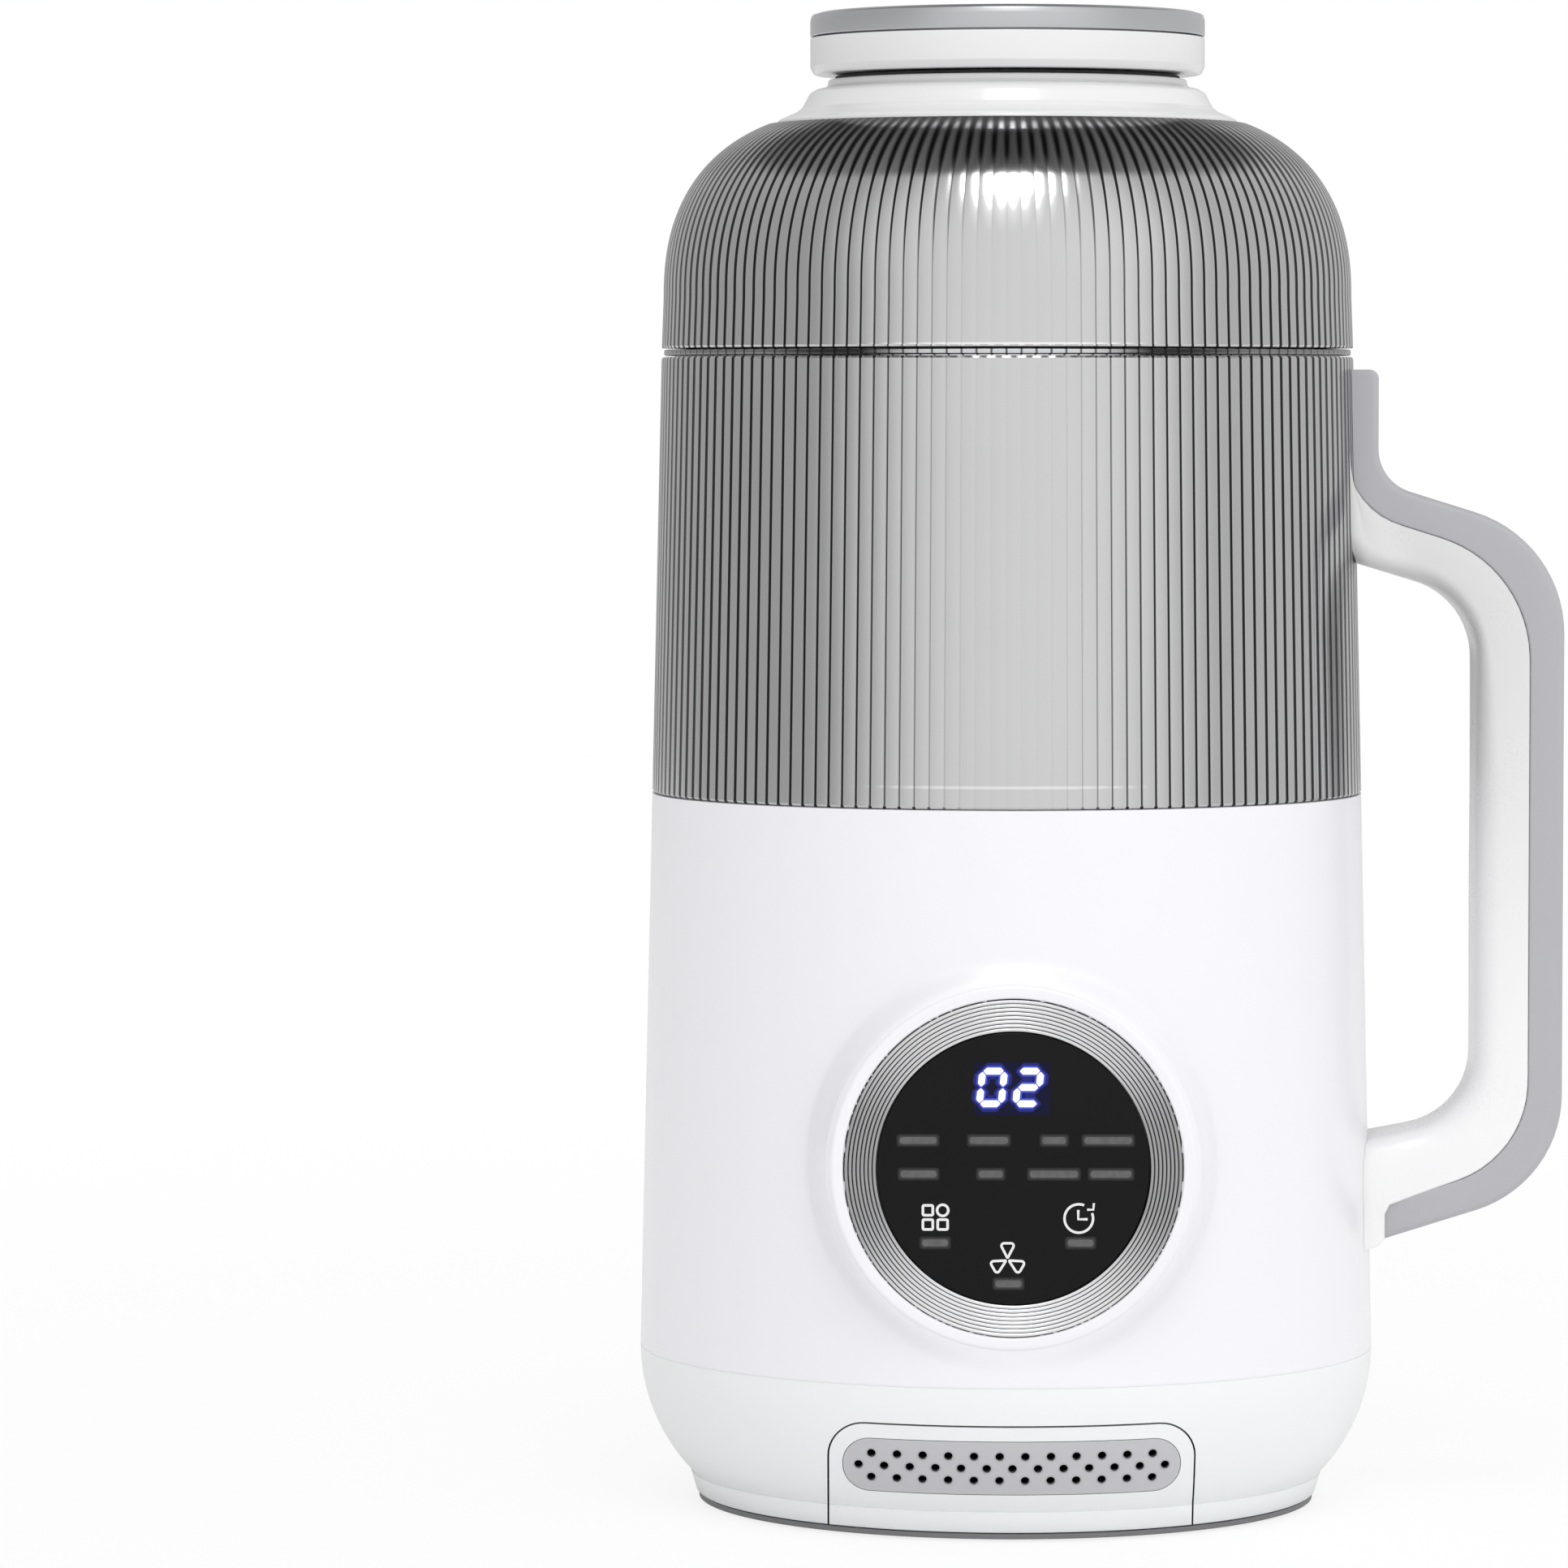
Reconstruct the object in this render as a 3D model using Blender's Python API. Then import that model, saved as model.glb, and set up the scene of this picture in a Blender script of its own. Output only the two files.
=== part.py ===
"""Countertop soy milk maker with a fluted smoked shell, a lift-off domed lid and a round control panel.

The appliance stands on four rubber feet. Its body turns about one upright axis, which lies to the
left of the frame's origin because the origin is the middle of the whole footprint, handle included.
The front, with the control panel and the vent, faces -Y, and the handle reaches out along +X.
Lengths are in metres.
"""

import math

import bmesh
import bpy
from mathutils import Matrix, Vector

MM = 0.001

# Shared fits and mesh fineness
CLEAR = 0.3 * MM
OVERRUN = 4.0 * MM
WELD = 0.001 * MM
BODY_STEPS = 24
CORE_STEPS = 16
SCREW_STEPS = 8
CORNER_STEPS = 3
SHARP_ANGLE = math.radians(35)

# Body: one straight taper from the skirt's top to the clear sleeve's rim
BODY_BASE_RADIUS = 73.9 * MM
BODY_TAPER = 4.4 * MM
BODY_WALL = 2.4 * MM
SKIRT_HEIGHT = 29.6 * MM
HOUSING_HEIGHT = 111.2 * MM
SLEEVE_HEIGHT = 87.3 * MM
FINGER_GAP = 20.0 * MM

# Base plate, its feet, and the screws that hold it to the skirt
STAND_HEIGHT = 0.5 * MM
PLATE_EDGE = 1.0 * MM
PLATE_INSET = 0.6 * MM
PLATE_STEP = 1.5 * MM
FOOT_RADIUS = 7.0 * MM
FOOT_POCKET = 1.0 * MM
FOOT_INSET = 14.6 * MM
FOOT_ANGLES = (45, 135, 225, 315)
AIR_SLOT_COUNT = 6
AIR_SLOT_WIDTH = 2.6 * MM
AIR_SLOT_INNER = 14.0 * MM
AIR_SLOT_OUTER = 30.0 * MM
BASE_SCREW_ANGLES = (20, 160, 200, 340)
BASE_SCREW_INSET = 9.6 * MM
BASE_SCREW_HEAD_RADIUS = 2.9 * MM
BASE_SCREW_HEAD_HEIGHT = 1.2 * MM
BASE_SCREW_SHANK_RADIUS = 1.5 * MM
BASE_SCREW_LENGTH = 9.0 * MM
BASE_BOSS_RADIUS = 4.0 * MM
BASE_BOSS_HEIGHT = 8.0 * MM
HEAD_FACE_SHARE = 0.75

# Skirt: the rounded chin under the housing, on a slimmer foot ring
CHIN_RADIUS = 36.0 * MM
CHIN_STEPS = 4
FOOT_RING_INSET = 11.3 * MM
FOOT_RING_DRAFT = 1.2 * MM
FOOT_RING_HEIGHT = 4.2 * MM
BASE_LEDGE_WIDTH = 14.2 * MM
BASE_LEDGE_THICKNESS = 2.2 * MM

# Vent panel in the skirt's front, and the grille set in it
VENT_HALF_WIDTH = 35.5 * MM
VENT_HEIGHT = 22.0 * MM
VENT_CORNER = 7.0 * MM
VENT_GAP = 0.35 * MM
GRILLE_HALF_WIDTH = 32.8 * MM
GRILLE_HEIGHT = 11.0 * MM
GRILLE_DROP = 2.9 * MM
GRILLE_PITCH = 4.96 * MM
GRILLE_ROW_PITCH = 2.5 * MM
GRILLE_HOLE_RADIUS = 0.85 * MM
GRILLE_HOLE_STEPS = 5
GRILLE_LONG_ROW = 13

# Main housing: shelf for the deck, and lip that the sleeve slips over
SHELF_LEVEL = 56.0 * MM
SHELF_INSET = 12.9 * MM
SHELF_THICKNESS = 3.4 * MM
LIP_RISE = 4.4 * MM
LIP_WALL = 2.2 * MM
LIP_ROOT = 3.0 * MM

# Control panel: a boss on the housing holds a grooved ring round a dark glass
PANEL_LEVEL = 42.5 * MM
PANEL_PROUD = 1.9 * MM
PANEL_LIP = 1.6 * MM
PANEL_FLARE = 8.5 * MM
PANEL_FLARE_SINK = 0.3 * MM
PANEL_FLARE_STEPS = 3
PANEL_POCKET_DEPTH = 4.2 * MM
PANEL_FLOOR = 2.4 * MM
RING_RADIUS = 32.6 * MM
RING_LEDGE_WIDTH = 2.2 * MM
GLASS_RADIUS = 26.3 * MM
GLASS_THICKNESS = 1.8 * MM
GLASS_SINK = 0.2 * MM
GROOVE_COUNT = 3
GROOVE_DEPTH = 0.35 * MM
DISPLAY_WIDTH = 18.0 * MM
DISPLAY_HEIGHT = 12.0 * MM
DISPLAY_RAISE = 15.7 * MM
BOARD_WIDTH = 44.0 * MM
BOARD_HEIGHT = 46.0 * MM
BOARD_THICKNESS = 1.6 * MM
BAY_DEPTH = 9.0 * MM
BAY_MARGIN = 0.6 * MM

# Clear sleeve with its flutes, and the ledge that the pot hangs on
FLUTE_COUNT = 120
FLUTE_DEPTH = 0.5 * MM
POT_LEDGE_DROP = 10.5 * MM
POT_LEDGE_INSET = 5.2 * MM
POT_LEDGE_THICKNESS = 2.4 * MM

# Rim ring between the sleeve and the lid
RIM_HEIGHT = 1.2 * MM
RIM_SINK = 0.5 * MM

# Pot
POT_INSET = 10.1 * MM
POT_TAPER = 2.4 * MM
POT_WALL = 1.2 * MM
POT_CORNER = 12.0 * MM
POT_CORNER_STEPS = 2
POT_BORE_RADIUS = 12.3 * MM

# Lid: fluted dome, plain liner, gasket
LID_BAND = 9.8 * MM
BAND_TAPER = 0.4 * MM
SHOULDER_CENTRE_RADIUS = 27.6 * MM
SHOULDER_RISE = 38.2 * MM
SHOULDER_POWER = 2.4
SHOULDER_STEPS = 2
LINER_SKIRT_INSET = 7.7 * MM
LINER_WALL = 1.8 * MM
LINER_FLANGE = 1.8 * MM
LINER_SETBACK = 3.0 * MM
LINER_GAP = 1.0 * MM
LINER_STEPS = 2
GASKET_HEIGHT = 3.0 * MM
GASKET_WIDTH = 3.8 * MM
GASKET_OVERHANG = 1.6 * MM

# Collar round the filling hole in the dome
COLLAR_RADIUS = 48.1 * MM
COLLAR_SINK = 1.5 * MM
COLLAR_RISE = 8.1 * MM
COLLAR_RIM_RADIUS = 35.9 * MM
COLLAR_BORE_RADIUS = 31.5 * MM
COLLAR_NECK_RADIUS = 37.2 * MM
COLLAR_NECK_DEPTH = 7.6 * MM
COLLAR_SHARES = ((1, 0), (0.53, 0.3), (0.39, 0.53), (0.34, 0.73), (0.29, 0.82), (0.05, 0.9), (0, 1))

# Cap
CAP_RADIUS = 39.6 * MM
CAP_GAP = 1.8 * MM
CAP_SHELL_HEIGHT = 7.3 * MM
CAP_EDGE_ROUND = 1.6 * MM
CAP_WALL = 2.2 * MM
CAP_DISC_HEIGHT = 5.1 * MM
CAP_DISC_ROUND = 1.2 * MM
CAP_DISC_SPIGOT = 3.0 * MM
PLUG_RADIUS = 30.2 * MM
PLUG_WALL = 1.8 * MM
PLUG_DEPTH = 15.0 * MM
PLUG_GROOVE_DROP = 7.0 * MM
PLUG_GROOVE_HEIGHT = 3.2 * MM
PLUG_GROOVE_DEPTH = 1.0 * MM
CAP_GASKET_WIDTH = 3.4 * MM

# Handle: white shell and grey cover, lofted between an outer and an inner curve
HANDLE_THICKNESS = 18.9 * MM
HANDLE_HALF_WIDTH = 12.0 * MM
HANDLE_TOP_DROP = 2.5 * MM
HANDLE_TAB = 4.9 * MM
HANDLE_TAB_LENGTH = 22.4 * MM
HANDLE_SLOPE = math.tan(math.radians(17.4))
HANDLE_TAB_BEND = 9.0 * MM
HANDLE_TAB_ROUND = 1.8 * MM
HANDLE_UPPER_BEND = 37.0 * MM
HANDLE_LOWER_BEND = 30.0 * MM
HANDLE_FOOT_RISE = 21.9 * MM
HANDLE_BEND_STEPS = 4
GRIP_TOP_DROP = 46.1 * MM
GRIP_HEIGHT = 103.6 * MM
GRIP_UPPER_BEND = 16.0 * MM
GRIP_LOWER_BEND = 15.0 * MM
GRIP_UPPER_SLOPE = math.tan(math.radians(17))
GRIP_LOWER_SLOPE = math.tan(math.radians(12))
HANDLE_INNER_ROUND = 5.0 * MM
HANDLE_OUTER_ROUND = 1.6 * MM
HANDLE_SEAM_ROUND = 0.4 * MM
HANDLE_ROUND_STEPS = 2
HANDLE_ROOT = 12.0 * MM
HANDLE_FLARE = 8.0 * MM
HANDLE_FLARE_LENGTH = 17.0 * MM
FLARE_SHARES = (0.5, 0.8)
COVER_THICKNESS = 6.2 * MM
COVER_END = 2.4 * MM
UPPER_SCREW_DROP = 30.5 * MM
LOWER_SCREW_RISE = 32.8 * MM
HANDLE_SCREW_HEAD_RADIUS = 3.0 * MM
HANDLE_SCREW_HEAD_HEIGHT = 2.0 * MM
HANDLE_SCREW_SHANK_RADIUS = 1.6 * MM
HANDLE_SCREW_LENGTH = 12.0 * MM

# Deck, heating plate and thermostat between the motor and the pot
DECK_INSET = 7.9 * MM
DECK_THICKNESS = 3.0 * MM
DECK_BORE_RADIUS = 15.0 * MM
DECK_WALL_RADIUS = 37.0 * MM
DECK_WALL = 3.0 * MM
DECK_WALL_HEIGHT = 8.4 * MM
HEATER_RADIUS = 43.0 * MM
HEATER_THICKNESS = 5.6 * MM
HEATER_BORE_RADIUS = 17.5 * MM
HEATER_TRACK_RADIUS = 26.0 * MM
HEATER_TRACK_WIDTH = 6.0 * MM
HEATER_TRACK_DEPTH = 2.4 * MM
THERMOSTAT_RADIUS = 5.0 * MM
THERMOSTAT_HEIGHT = 4.0 * MM

# Blade seat in the pot's bottom, with its bearings
SEAT_RADIUS = 12.0 * MM
SEAT_DEPTH = 17.0 * MM
SEAT_FLANGE_RADIUS = 15.0 * MM
SEAT_FLANGE = 2.2 * MM
SEAT_SHOULDER = 1.8 * MM
SEAT_NUT_HEIGHT = 4.2 * MM
SEAT_NUT_RADIUS = 16.0 * MM
BEARING_RADIUS = 7.0 * MM
BEARING_HEIGHT = 5.0 * MM
SHAFT_SEAL_HEIGHT = 3.0 * MM

# Drive shaft and blades
SHAFT_RADIUS = 3.0 * MM
SHAFT_COLLAR_RADIUS = 5.0 * MM
SHAFT_COLLAR_HEIGHT = 2.5 * MM
SHAFT_FOOT = 3.0 * MM
BLADE_REACH = 22.0 * MM
BLADE_HUB_RADIUS = 7.5 * MM
BLADE_THICKNESS = 1.5 * MM
BLADE_WIDTH = 9.0 * MM
BLADE_TIP_WIDTH = 5.5 * MM
BLADE_EDGE = 2.4 * MM
BLADE_RISE = 8.0 * MM
BLADE_DROP = 1.8 * MM
BLADE_BEND_SHARE = 0.4
BLADE_SPACER = 3.0 * MM
BLADE_SPACER_RADIUS = 5.6 * MM
BLADE_NUT_RADIUS = 5.6 * MM
BLADE_NUT_HEIGHT = 4.0 * MM
BLADE_NUT_DOME = 2.6 * MM

# Motor
MOTOR_RADIUS = 26.0 * MM
MOTOR_HEIGHT = 44.0 * MM
MOTOR_WALL = 1.5 * MM
MOTOR_BORE_RADIUS = 9.0 * MM
MAGNET_THICKNESS = 3.6 * MM
MAGNET_HEIGHT = 26.0 * MM
MAGNET_SPAN = 130
MAGNET_STEPS = 4
AIR_GAP = 0.5 * MM
ROTOR_SLOTS = 6
ROTOR_SLOT_WIDTH = 3.0 * MM
ROTOR_SLOT_DEPTH = 5.0 * MM
COMMUTATOR_RADIUS = 8.0 * MM
COMMUTATOR_HEIGHT = 7.0 * MM
END_CAP_THICKNESS = 2.4 * MM
END_CAP_RIM = 4.0 * MM
END_CAP_SLOTS = 3
END_CAP_SLOT_RADIUS = 3.4 * MM
END_CAP_SLOT_PLACE = 15.0 * MM
FAN_RADIUS = 23.0 * MM
FAN_HEIGHT = 7.0 * MM
FAN_DISC = 1.5 * MM
FAN_HUB_RADIUS = 6.5 * MM
FAN_BLADES = 7
FAN_BLADE_THICKNESS = 1.4 * MM
FAN_DROP = 4.0 * MM

# Power inlet at the back, and the power board in the base
INLET_LEVEL = 18.0 * MM
INLET_WIDTH = 27.0 * MM
INLET_HEIGHT = 19.0 * MM
INLET_DEPTH = 17.0 * MM
INLET_WALL = 1.6 * MM
INLET_FLANGE = 2.6 * MM
INLET_FLANGE_THICKNESS = 1.5 * MM
INLET_CORNER = 3.5 * MM
INLET_PAD_PROUD = 0.4 * MM
INLET_PAD_MARGIN = 1.6 * MM
PIN_WIDTH = 2.0 * MM
PIN_HEIGHT = 4.0 * MM
PIN_LENGTH = 12.0 * MM
PIN_TAIL = 5.0 * MM
PIN_SPACING = 7.0 * MM
PIN_DROP = 2.0 * MM
POWER_BOARD_LENGTH = 66.0 * MM
POWER_BOARD_WIDTH = 32.0 * MM
POWER_BOARD_THICKNESS = 1.6 * MM
POWER_BOARD_LIFT = 6.0 * MM
POWER_BOARD_SETBACK = 18.0 * MM
BOARD_POST_RADIUS = 2.6 * MM
BOARD_POST_INSET = 5.0 * MM
RELAY_LENGTH = 16.0 * MM
RELAY_WIDTH = 12.0 * MM
RELAY_HEIGHT = 9.0 * MM
CAPACITOR_RADIUS = 5.0 * MM
CAPACITOR_HEIGHT = 10.0 * MM

# Radii that follow the body's outside
BODY_RIM_RADIUS = BODY_BASE_RADIUS - BODY_TAPER
HANDLE_REACH = BODY_BASE_RADIUS + FINGER_GAP + HANDLE_THICKNESS
FOOT_RING_RADIUS = BODY_BASE_RADIUS - FOOT_RING_INSET
PLATE_RADIUS = FOOT_RING_RADIUS - PLATE_INSET
FOOT_PLACE_RADIUS = FOOT_RING_RADIUS - FOOT_INSET
BASE_SCREW_PLACE_RADIUS = FOOT_RING_RADIUS - BASE_SCREW_INSET
BASE_LEDGE_RADIUS = FOOT_RING_RADIUS - BODY_WALL - BASE_LEDGE_WIDTH
SHELF_INNER_RADIUS = BODY_BASE_RADIUS - SHELF_INSET
DECK_RADIUS = BODY_BASE_RADIUS - DECK_INSET
POT_LEDGE_RADIUS = BODY_RIM_RADIUS - POT_LEDGE_INSET
RIM_BORE_RADIUS = POT_LEDGE_RADIUS + CLEAR
POT_RADIUS = BODY_RIM_RADIUS - POT_INSET
POT_BASE_RADIUS = POT_RADIUS - POT_TAPER
SHOULDER_RUN = BODY_RIM_RADIUS - BAND_TAPER - SHOULDER_CENTRE_RADIUS
LINER_SKIRT_RADIUS = BODY_RIM_RADIUS - LINER_SKIRT_INSET
GASKET_OUTER_RADIUS = LINER_SKIRT_RADIUS + GASKET_OVERHANG
GASKET_INNER_RADIUS = GASKET_OUTER_RADIUS - GASKET_WIDTH

# Levels above the counter, from the bottom up
PLATE_EDGE_TOP = STAND_HEIGHT + PLATE_EDGE
PLATE_TOP = PLATE_EDGE_TOP + PLATE_STEP
SKIRT_BOTTOM = PLATE_EDGE_TOP + CLEAR
FOOT_RING_TOP = SKIRT_BOTTOM + FOOT_RING_HEIGHT
SKIRT_TOP = SKIRT_BOTTOM + SKIRT_HEIGHT
HOUSING_BOTTOM = SKIRT_TOP + CLEAR
HOUSING_TOP = HOUSING_BOTTOM + HOUSING_HEIGHT
SLEEVE_BOTTOM = HOUSING_TOP + CLEAR
SLEEVE_TOP = SLEEVE_BOTTOM + SLEEVE_HEIGHT
RIM_BOTTOM = SLEEVE_TOP + CLEAR
RIM_TOP = RIM_BOTTOM + RIM_HEIGHT
LID_RIM = RIM_TOP + CLEAR
SHOULDER_LEVEL = LID_RIM + LID_BAND
SHELF_TOP = HOUSING_BOTTOM + SHELF_LEVEL
DECK_BOTTOM = SHELF_TOP + CLEAR
DECK_TOP = DECK_BOTTOM + DECK_THICKNESS
HEATER_BOTTOM = DECK_TOP + DECK_WALL_HEIGHT + CLEAR
HEATER_TOP = HEATER_BOTTOM + HEATER_THICKNESS
POT_BOTTOM = HEATER_TOP + CLEAR
POT_FLOOR = POT_BOTTOM + POT_WALL
POT_LEDGE_TOP = SLEEVE_TOP - POT_LEDGE_DROP
POT_FLANGE_BOTTOM = POT_LEDGE_TOP + CLEAR
POT_TOP = POT_FLANGE_BOTTOM + POT_WALL
GASKET_BOTTOM = POT_TOP + CLEAR
LINER_BOTTOM = GASKET_BOTTOM + GASKET_HEIGHT + CLEAR
SEAT_FLANGE_BOTTOM = POT_FLOOR + CLEAR
SEAT_TOP = SEAT_FLANGE_BOTTOM + SEAT_FLANGE
SEAT_BOTTOM = SEAT_FLANGE_BOTTOM - SEAT_DEPTH
UPPER_BEARING_BOTTOM = SEAT_TOP - SHAFT_SEAL_HEIGHT - BEARING_HEIGHT - 2 * CLEAR
MOTOR_TOP = DECK_BOTTOM - CLEAR
MOTOR_BOTTOM = MOTOR_TOP - MOTOR_HEIGHT
MAGNET_TOP = MOTOR_TOP - MOTOR_WALL - FAN_DROP
MAGNET_BOTTOM = MAGNET_TOP - MAGNET_HEIGHT
FAN_TOP = MOTOR_BOTTOM - END_CAP_THICKNESS - FAN_DROP
FAN_BOTTOM = FAN_TOP - FAN_HEIGHT
LOWER_BLADE_LEVEL = SEAT_TOP + SHAFT_COLLAR_HEIGHT + CLEAR
UPPER_BLADE_LEVEL = LOWER_BLADE_LEVEL + BLADE_THICKNESS + BLADE_SPACER + CLEAR
BLADE_NUT_BOTTOM = UPPER_BLADE_LEVEL + BLADE_THICKNESS + CLEAR
SHAFT_TOP = BLADE_NUT_BOTTOM + BLADE_NUT_HEIGHT
PANEL_HEIGHT = HOUSING_BOTTOM + PANEL_LEVEL
DISPLAY_CENTRE = PANEL_HEIGHT + DISPLAY_RAISE
INLET_CENTRE = HOUSING_BOTTOM + INLET_LEVEL
POWER_BOARD_BOTTOM = PLATE_TOP + POWER_BOARD_LIFT
POWER_BOARD_TOP = POWER_BOARD_BOTTOM + POWER_BOARD_THICKNESS
HANDLE_TOP = SLEEVE_TOP - HANDLE_TOP_DROP
UPPER_SCREW_LEVEL = HANDLE_TOP - UPPER_SCREW_DROP
LOWER_SCREW_LEVEL = HOUSING_BOTTOM + LOWER_SCREW_RISE

# The upright axis, placed so that the origin is the middle of the footprint with the handle
AXIS_X = (BODY_BASE_RADIUS - HANDLE_REACH) / 2


def body_radius(height):
    """The outer radius of the tapered body at a height above the counter."""
    share = (height - SKIRT_TOP) / (SLEEVE_TOP - SKIRT_TOP)
    return BODY_BASE_RADIUS + (BODY_RIM_RADIUS - BODY_BASE_RADIUS) * max(share, 0)


def inner_radius(height):
    """The radius of the body's inner wall at a height above the counter."""
    return body_radius(height) - BODY_WALL


def clear_scene():
    for old in list(bpy.data.objects):
        bpy.data.objects.remove(old)


def make_material(name, colour, roughness, metallic=0.0, transmission=0.0):
    made = bpy.data.materials.new(name)
    made.use_nodes = True
    shader = made.node_tree.nodes["Principled BSDF"]
    shader.inputs["Base Color"].default_value = (*colour, 1)
    shader.inputs["Roughness"].default_value = roughness
    shader.inputs["Metallic"].default_value = metallic
    shader.inputs["Transmission Weight"].default_value = transmission
    made.diffuse_color = (*colour, 1)
    return made


def empty_at(name, location, parent=None):
    made = bpy.data.objects.new(name, None)
    bpy.context.scene.collection.objects.link(made)
    made.location = location
    made.parent = parent
    return made


def to_object(name, bm, parent, material=None, origin=(0, 0, 0)):
    """Makes an object of a bmesh, with its origin at a point of its parent's frame."""
    bmesh.ops.remove_doubles(bm, verts=bm.verts, dist=WELD)
    bmesh.ops.recalc_face_normals(bm, faces=bm.faces)
    bmesh.ops.translate(bm, verts=bm.verts, vec=-Vector(origin))
    mesh = bpy.data.meshes.new(name)
    bm.to_mesh(mesh)
    bm.free()
    mesh.shade_smooth()
    mesh.set_sharp_from_angle(angle=SHARP_ANGLE)
    made = bpy.data.objects.new(name, mesh)
    bpy.context.scene.collection.objects.link(made)
    made.parent = parent
    made.location = origin
    if material:
        mesh.materials.append(material)
    return made


def tool(name, bm, parent):
    """A helper solid, which cuts or joins and is not a piece of the appliance."""
    made = to_object(name, bm, parent)
    made.hide_render = True
    made.display_type = "WIRE"
    return made


def combine(target, operation, *helpers):
    """Adds Boolean modifiers that cut, join or intersect the target with helper solids."""
    for helper in helpers:
        step = target.modifiers.new(helper.name, "BOOLEAN")
        step.operation = operation
        step.solver = "EXACT"
        step.object = helper
    return target


def merge(*shells):
    """Puts several bmeshes into one, as separate shells of one helper."""
    whole = bmesh.new()
    for shell in shells:
        mesh = bpy.data.meshes.new("shell")
        shell.to_mesh(mesh)
        shell.free()
        whole.from_mesh(mesh)
        bpy.data.meshes.remove(mesh)
    return whole


def turned(profile, steps=BODY_STEPS, centre=(0, 0)):
    """Spins a closed outline of (radius, height) points about an upright axis."""
    bm = bmesh.new()
    verts = [bm.verts.new((radius, 0, height)) for radius, height in profile]
    pairs = zip(verts, verts[1:] + verts[:1])
    edges = [bm.edges.new(pair) for pair in pairs if max(v.co.x for v in pair) > WELD]
    geometry = verts + edges
    bmesh.ops.spin(bm, geom=geometry, axis=(0, 0, 1), angle=math.tau, steps=steps, use_merge=True)
    bmesh.ops.remove_doubles(bm, verts=bm.verts, dist=WELD)
    bmesh.ops.translate(bm, verts=bm.verts, vec=(*centre, 0))
    return bm


def disc(radius, bottom, top, steps=CORE_STEPS, bore=0.0, centre=(0, 0)):
    """A plain round solid, with an optional bore."""
    profile = [(bore, bottom), (radius, bottom), (radius, top), (bore, top)]
    return turned(profile, steps, centre)


def counterbore(wide, narrow, levels, centre):
    """The hole of a sunk screw: wide up to its seat, and narrow above that."""
    low, seat, high = levels
    profile = [(0, low), (wide, low), (wide, seat), (narrow, seat), (narrow, high), (0, high)]
    return turned(profile, SCREW_STEPS, centre)


def prism(outline, start, end, axis="Z"):
    """Extrudes a closed outline from start to end along an axis.

    Along Z the outline's points are (x, y), and along Y they are (x, z)."""
    bm = bmesh.new()
    upright = axis == "Z"
    corners = [(x, y, start) if upright else (x, start, y) for x, y in outline]
    face = bm.faces.new([bm.verts.new(corner) for corner in corners])
    raised = bmesh.ops.extrude_face_region(bm, geom=[face])["geom"]
    moved = [item for item in raised if isinstance(item, bmesh.types.BMVert)]
    travel = end - start
    bmesh.ops.translate(bm, verts=moved, vec=(0, 0, travel) if upright else (0, travel, 0))
    return bm


def block(low, high):
    """A box between two opposite corners."""
    outline = [(low[0], low[1]), (high[0], low[1]), (high[0], high[1]), (low[0], high[1])]
    return prism(outline, low[2], high[2])


def arc(centre, radius, start, end, steps):
    """Points on an arc, from the start angle to the end angle in degrees."""
    angles = [math.radians(start + (end - start) * i / steps) for i in range(steps + 1)]
    return [(centre[0] + radius * math.cos(a), centre[1] + radius * math.sin(a)) for a in angles]


def polar(radius, degrees):
    angle = math.radians(degrees)
    return (radius * math.cos(angle), radius * math.sin(angle))


def rounded_box(half_width, bottom, top, corner, round_bottom=True):
    """A rectangle about x = 0 whose top corners, and bottom ones if asked, are round."""
    inner = half_width - corner
    points = arc((inner, top - corner), corner, 0, 90, CORNER_STEPS)
    points += arc((-inner, top - corner), corner, 90, 180, CORNER_STEPS)
    if not round_bottom:
        return points + [(-half_width, bottom), (half_width, bottom)]
    points += arc((-inner, bottom + corner), corner, 180, 270, CORNER_STEPS)
    return points + arc((inner, bottom + corner), corner, 270, 360, CORNER_STEPS)


def sector(inner, outer, middle, span, bottom, top, steps):
    """A curved block between two radii and two angles about the upright axis."""
    low = middle - span / 2
    outline = arc((0, 0), outer, low, low + span, steps)
    outline += arc((0, 0), inner, low + span, low, steps)
    return prism(outline, bottom, top)


def fluted_shell(fluted, plain, steps=BODY_STEPS, flutes=FLUTE_COUNT):
    """A shell whose outside is fluted and whose other faces are plain.

    fluted lists (crest, valley) pairs of (radius, height) points, from the bottom edge to the top
    edge. plain lists the points that close the outline, from beside the top edge round to beside
    the bottom edge. Each plain side spans a whole number of half flutes."""
    bm = bmesh.new()
    count = 2 * flutes
    per_side = count // steps

    def loop(points, number):
        spots = [(points[i % len(points)], math.tau * i / number) for i in range(number)]
        return [bm.verts.new((r * math.cos(a), r * math.sin(a), height)) for (r, height), a in spots]

    outside = [loop(pair, count) for pair in fluted]
    inside = [loop([point], steps) for point in plain]
    for loops in (outside, inside):
        for lower, upper in zip(loops, loops[1:]):
            for i, start in enumerate(lower):
                j = (i + 1) % len(lower)
                bm.faces.new((start, lower[j], upper[j], upper[i]))
    for fine, coarse in ((outside[-1], inside[0]), (outside[0], inside[-1])):
        for i in range(steps):
            edge = [fine[(i * per_side + k) % count] for k in range(per_side + 1)]
            bm.faces.new(edge + [coarse[(i + 1) % steps], coarse[i]])
    return bm


def screw(head_radius, head_height, shank_radius, length):
    """A pan-head screw that points up, with its head's outer face at height 0."""
    profile = [
        (0, 0),
        (head_radius * HEAD_FACE_SHARE, 0),
        (head_radius, head_height),
        (shank_radius, head_height),
        (shank_radius, length - shank_radius),
        (0, length),
    ]
    return turned(profile, SCREW_STEPS)


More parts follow.
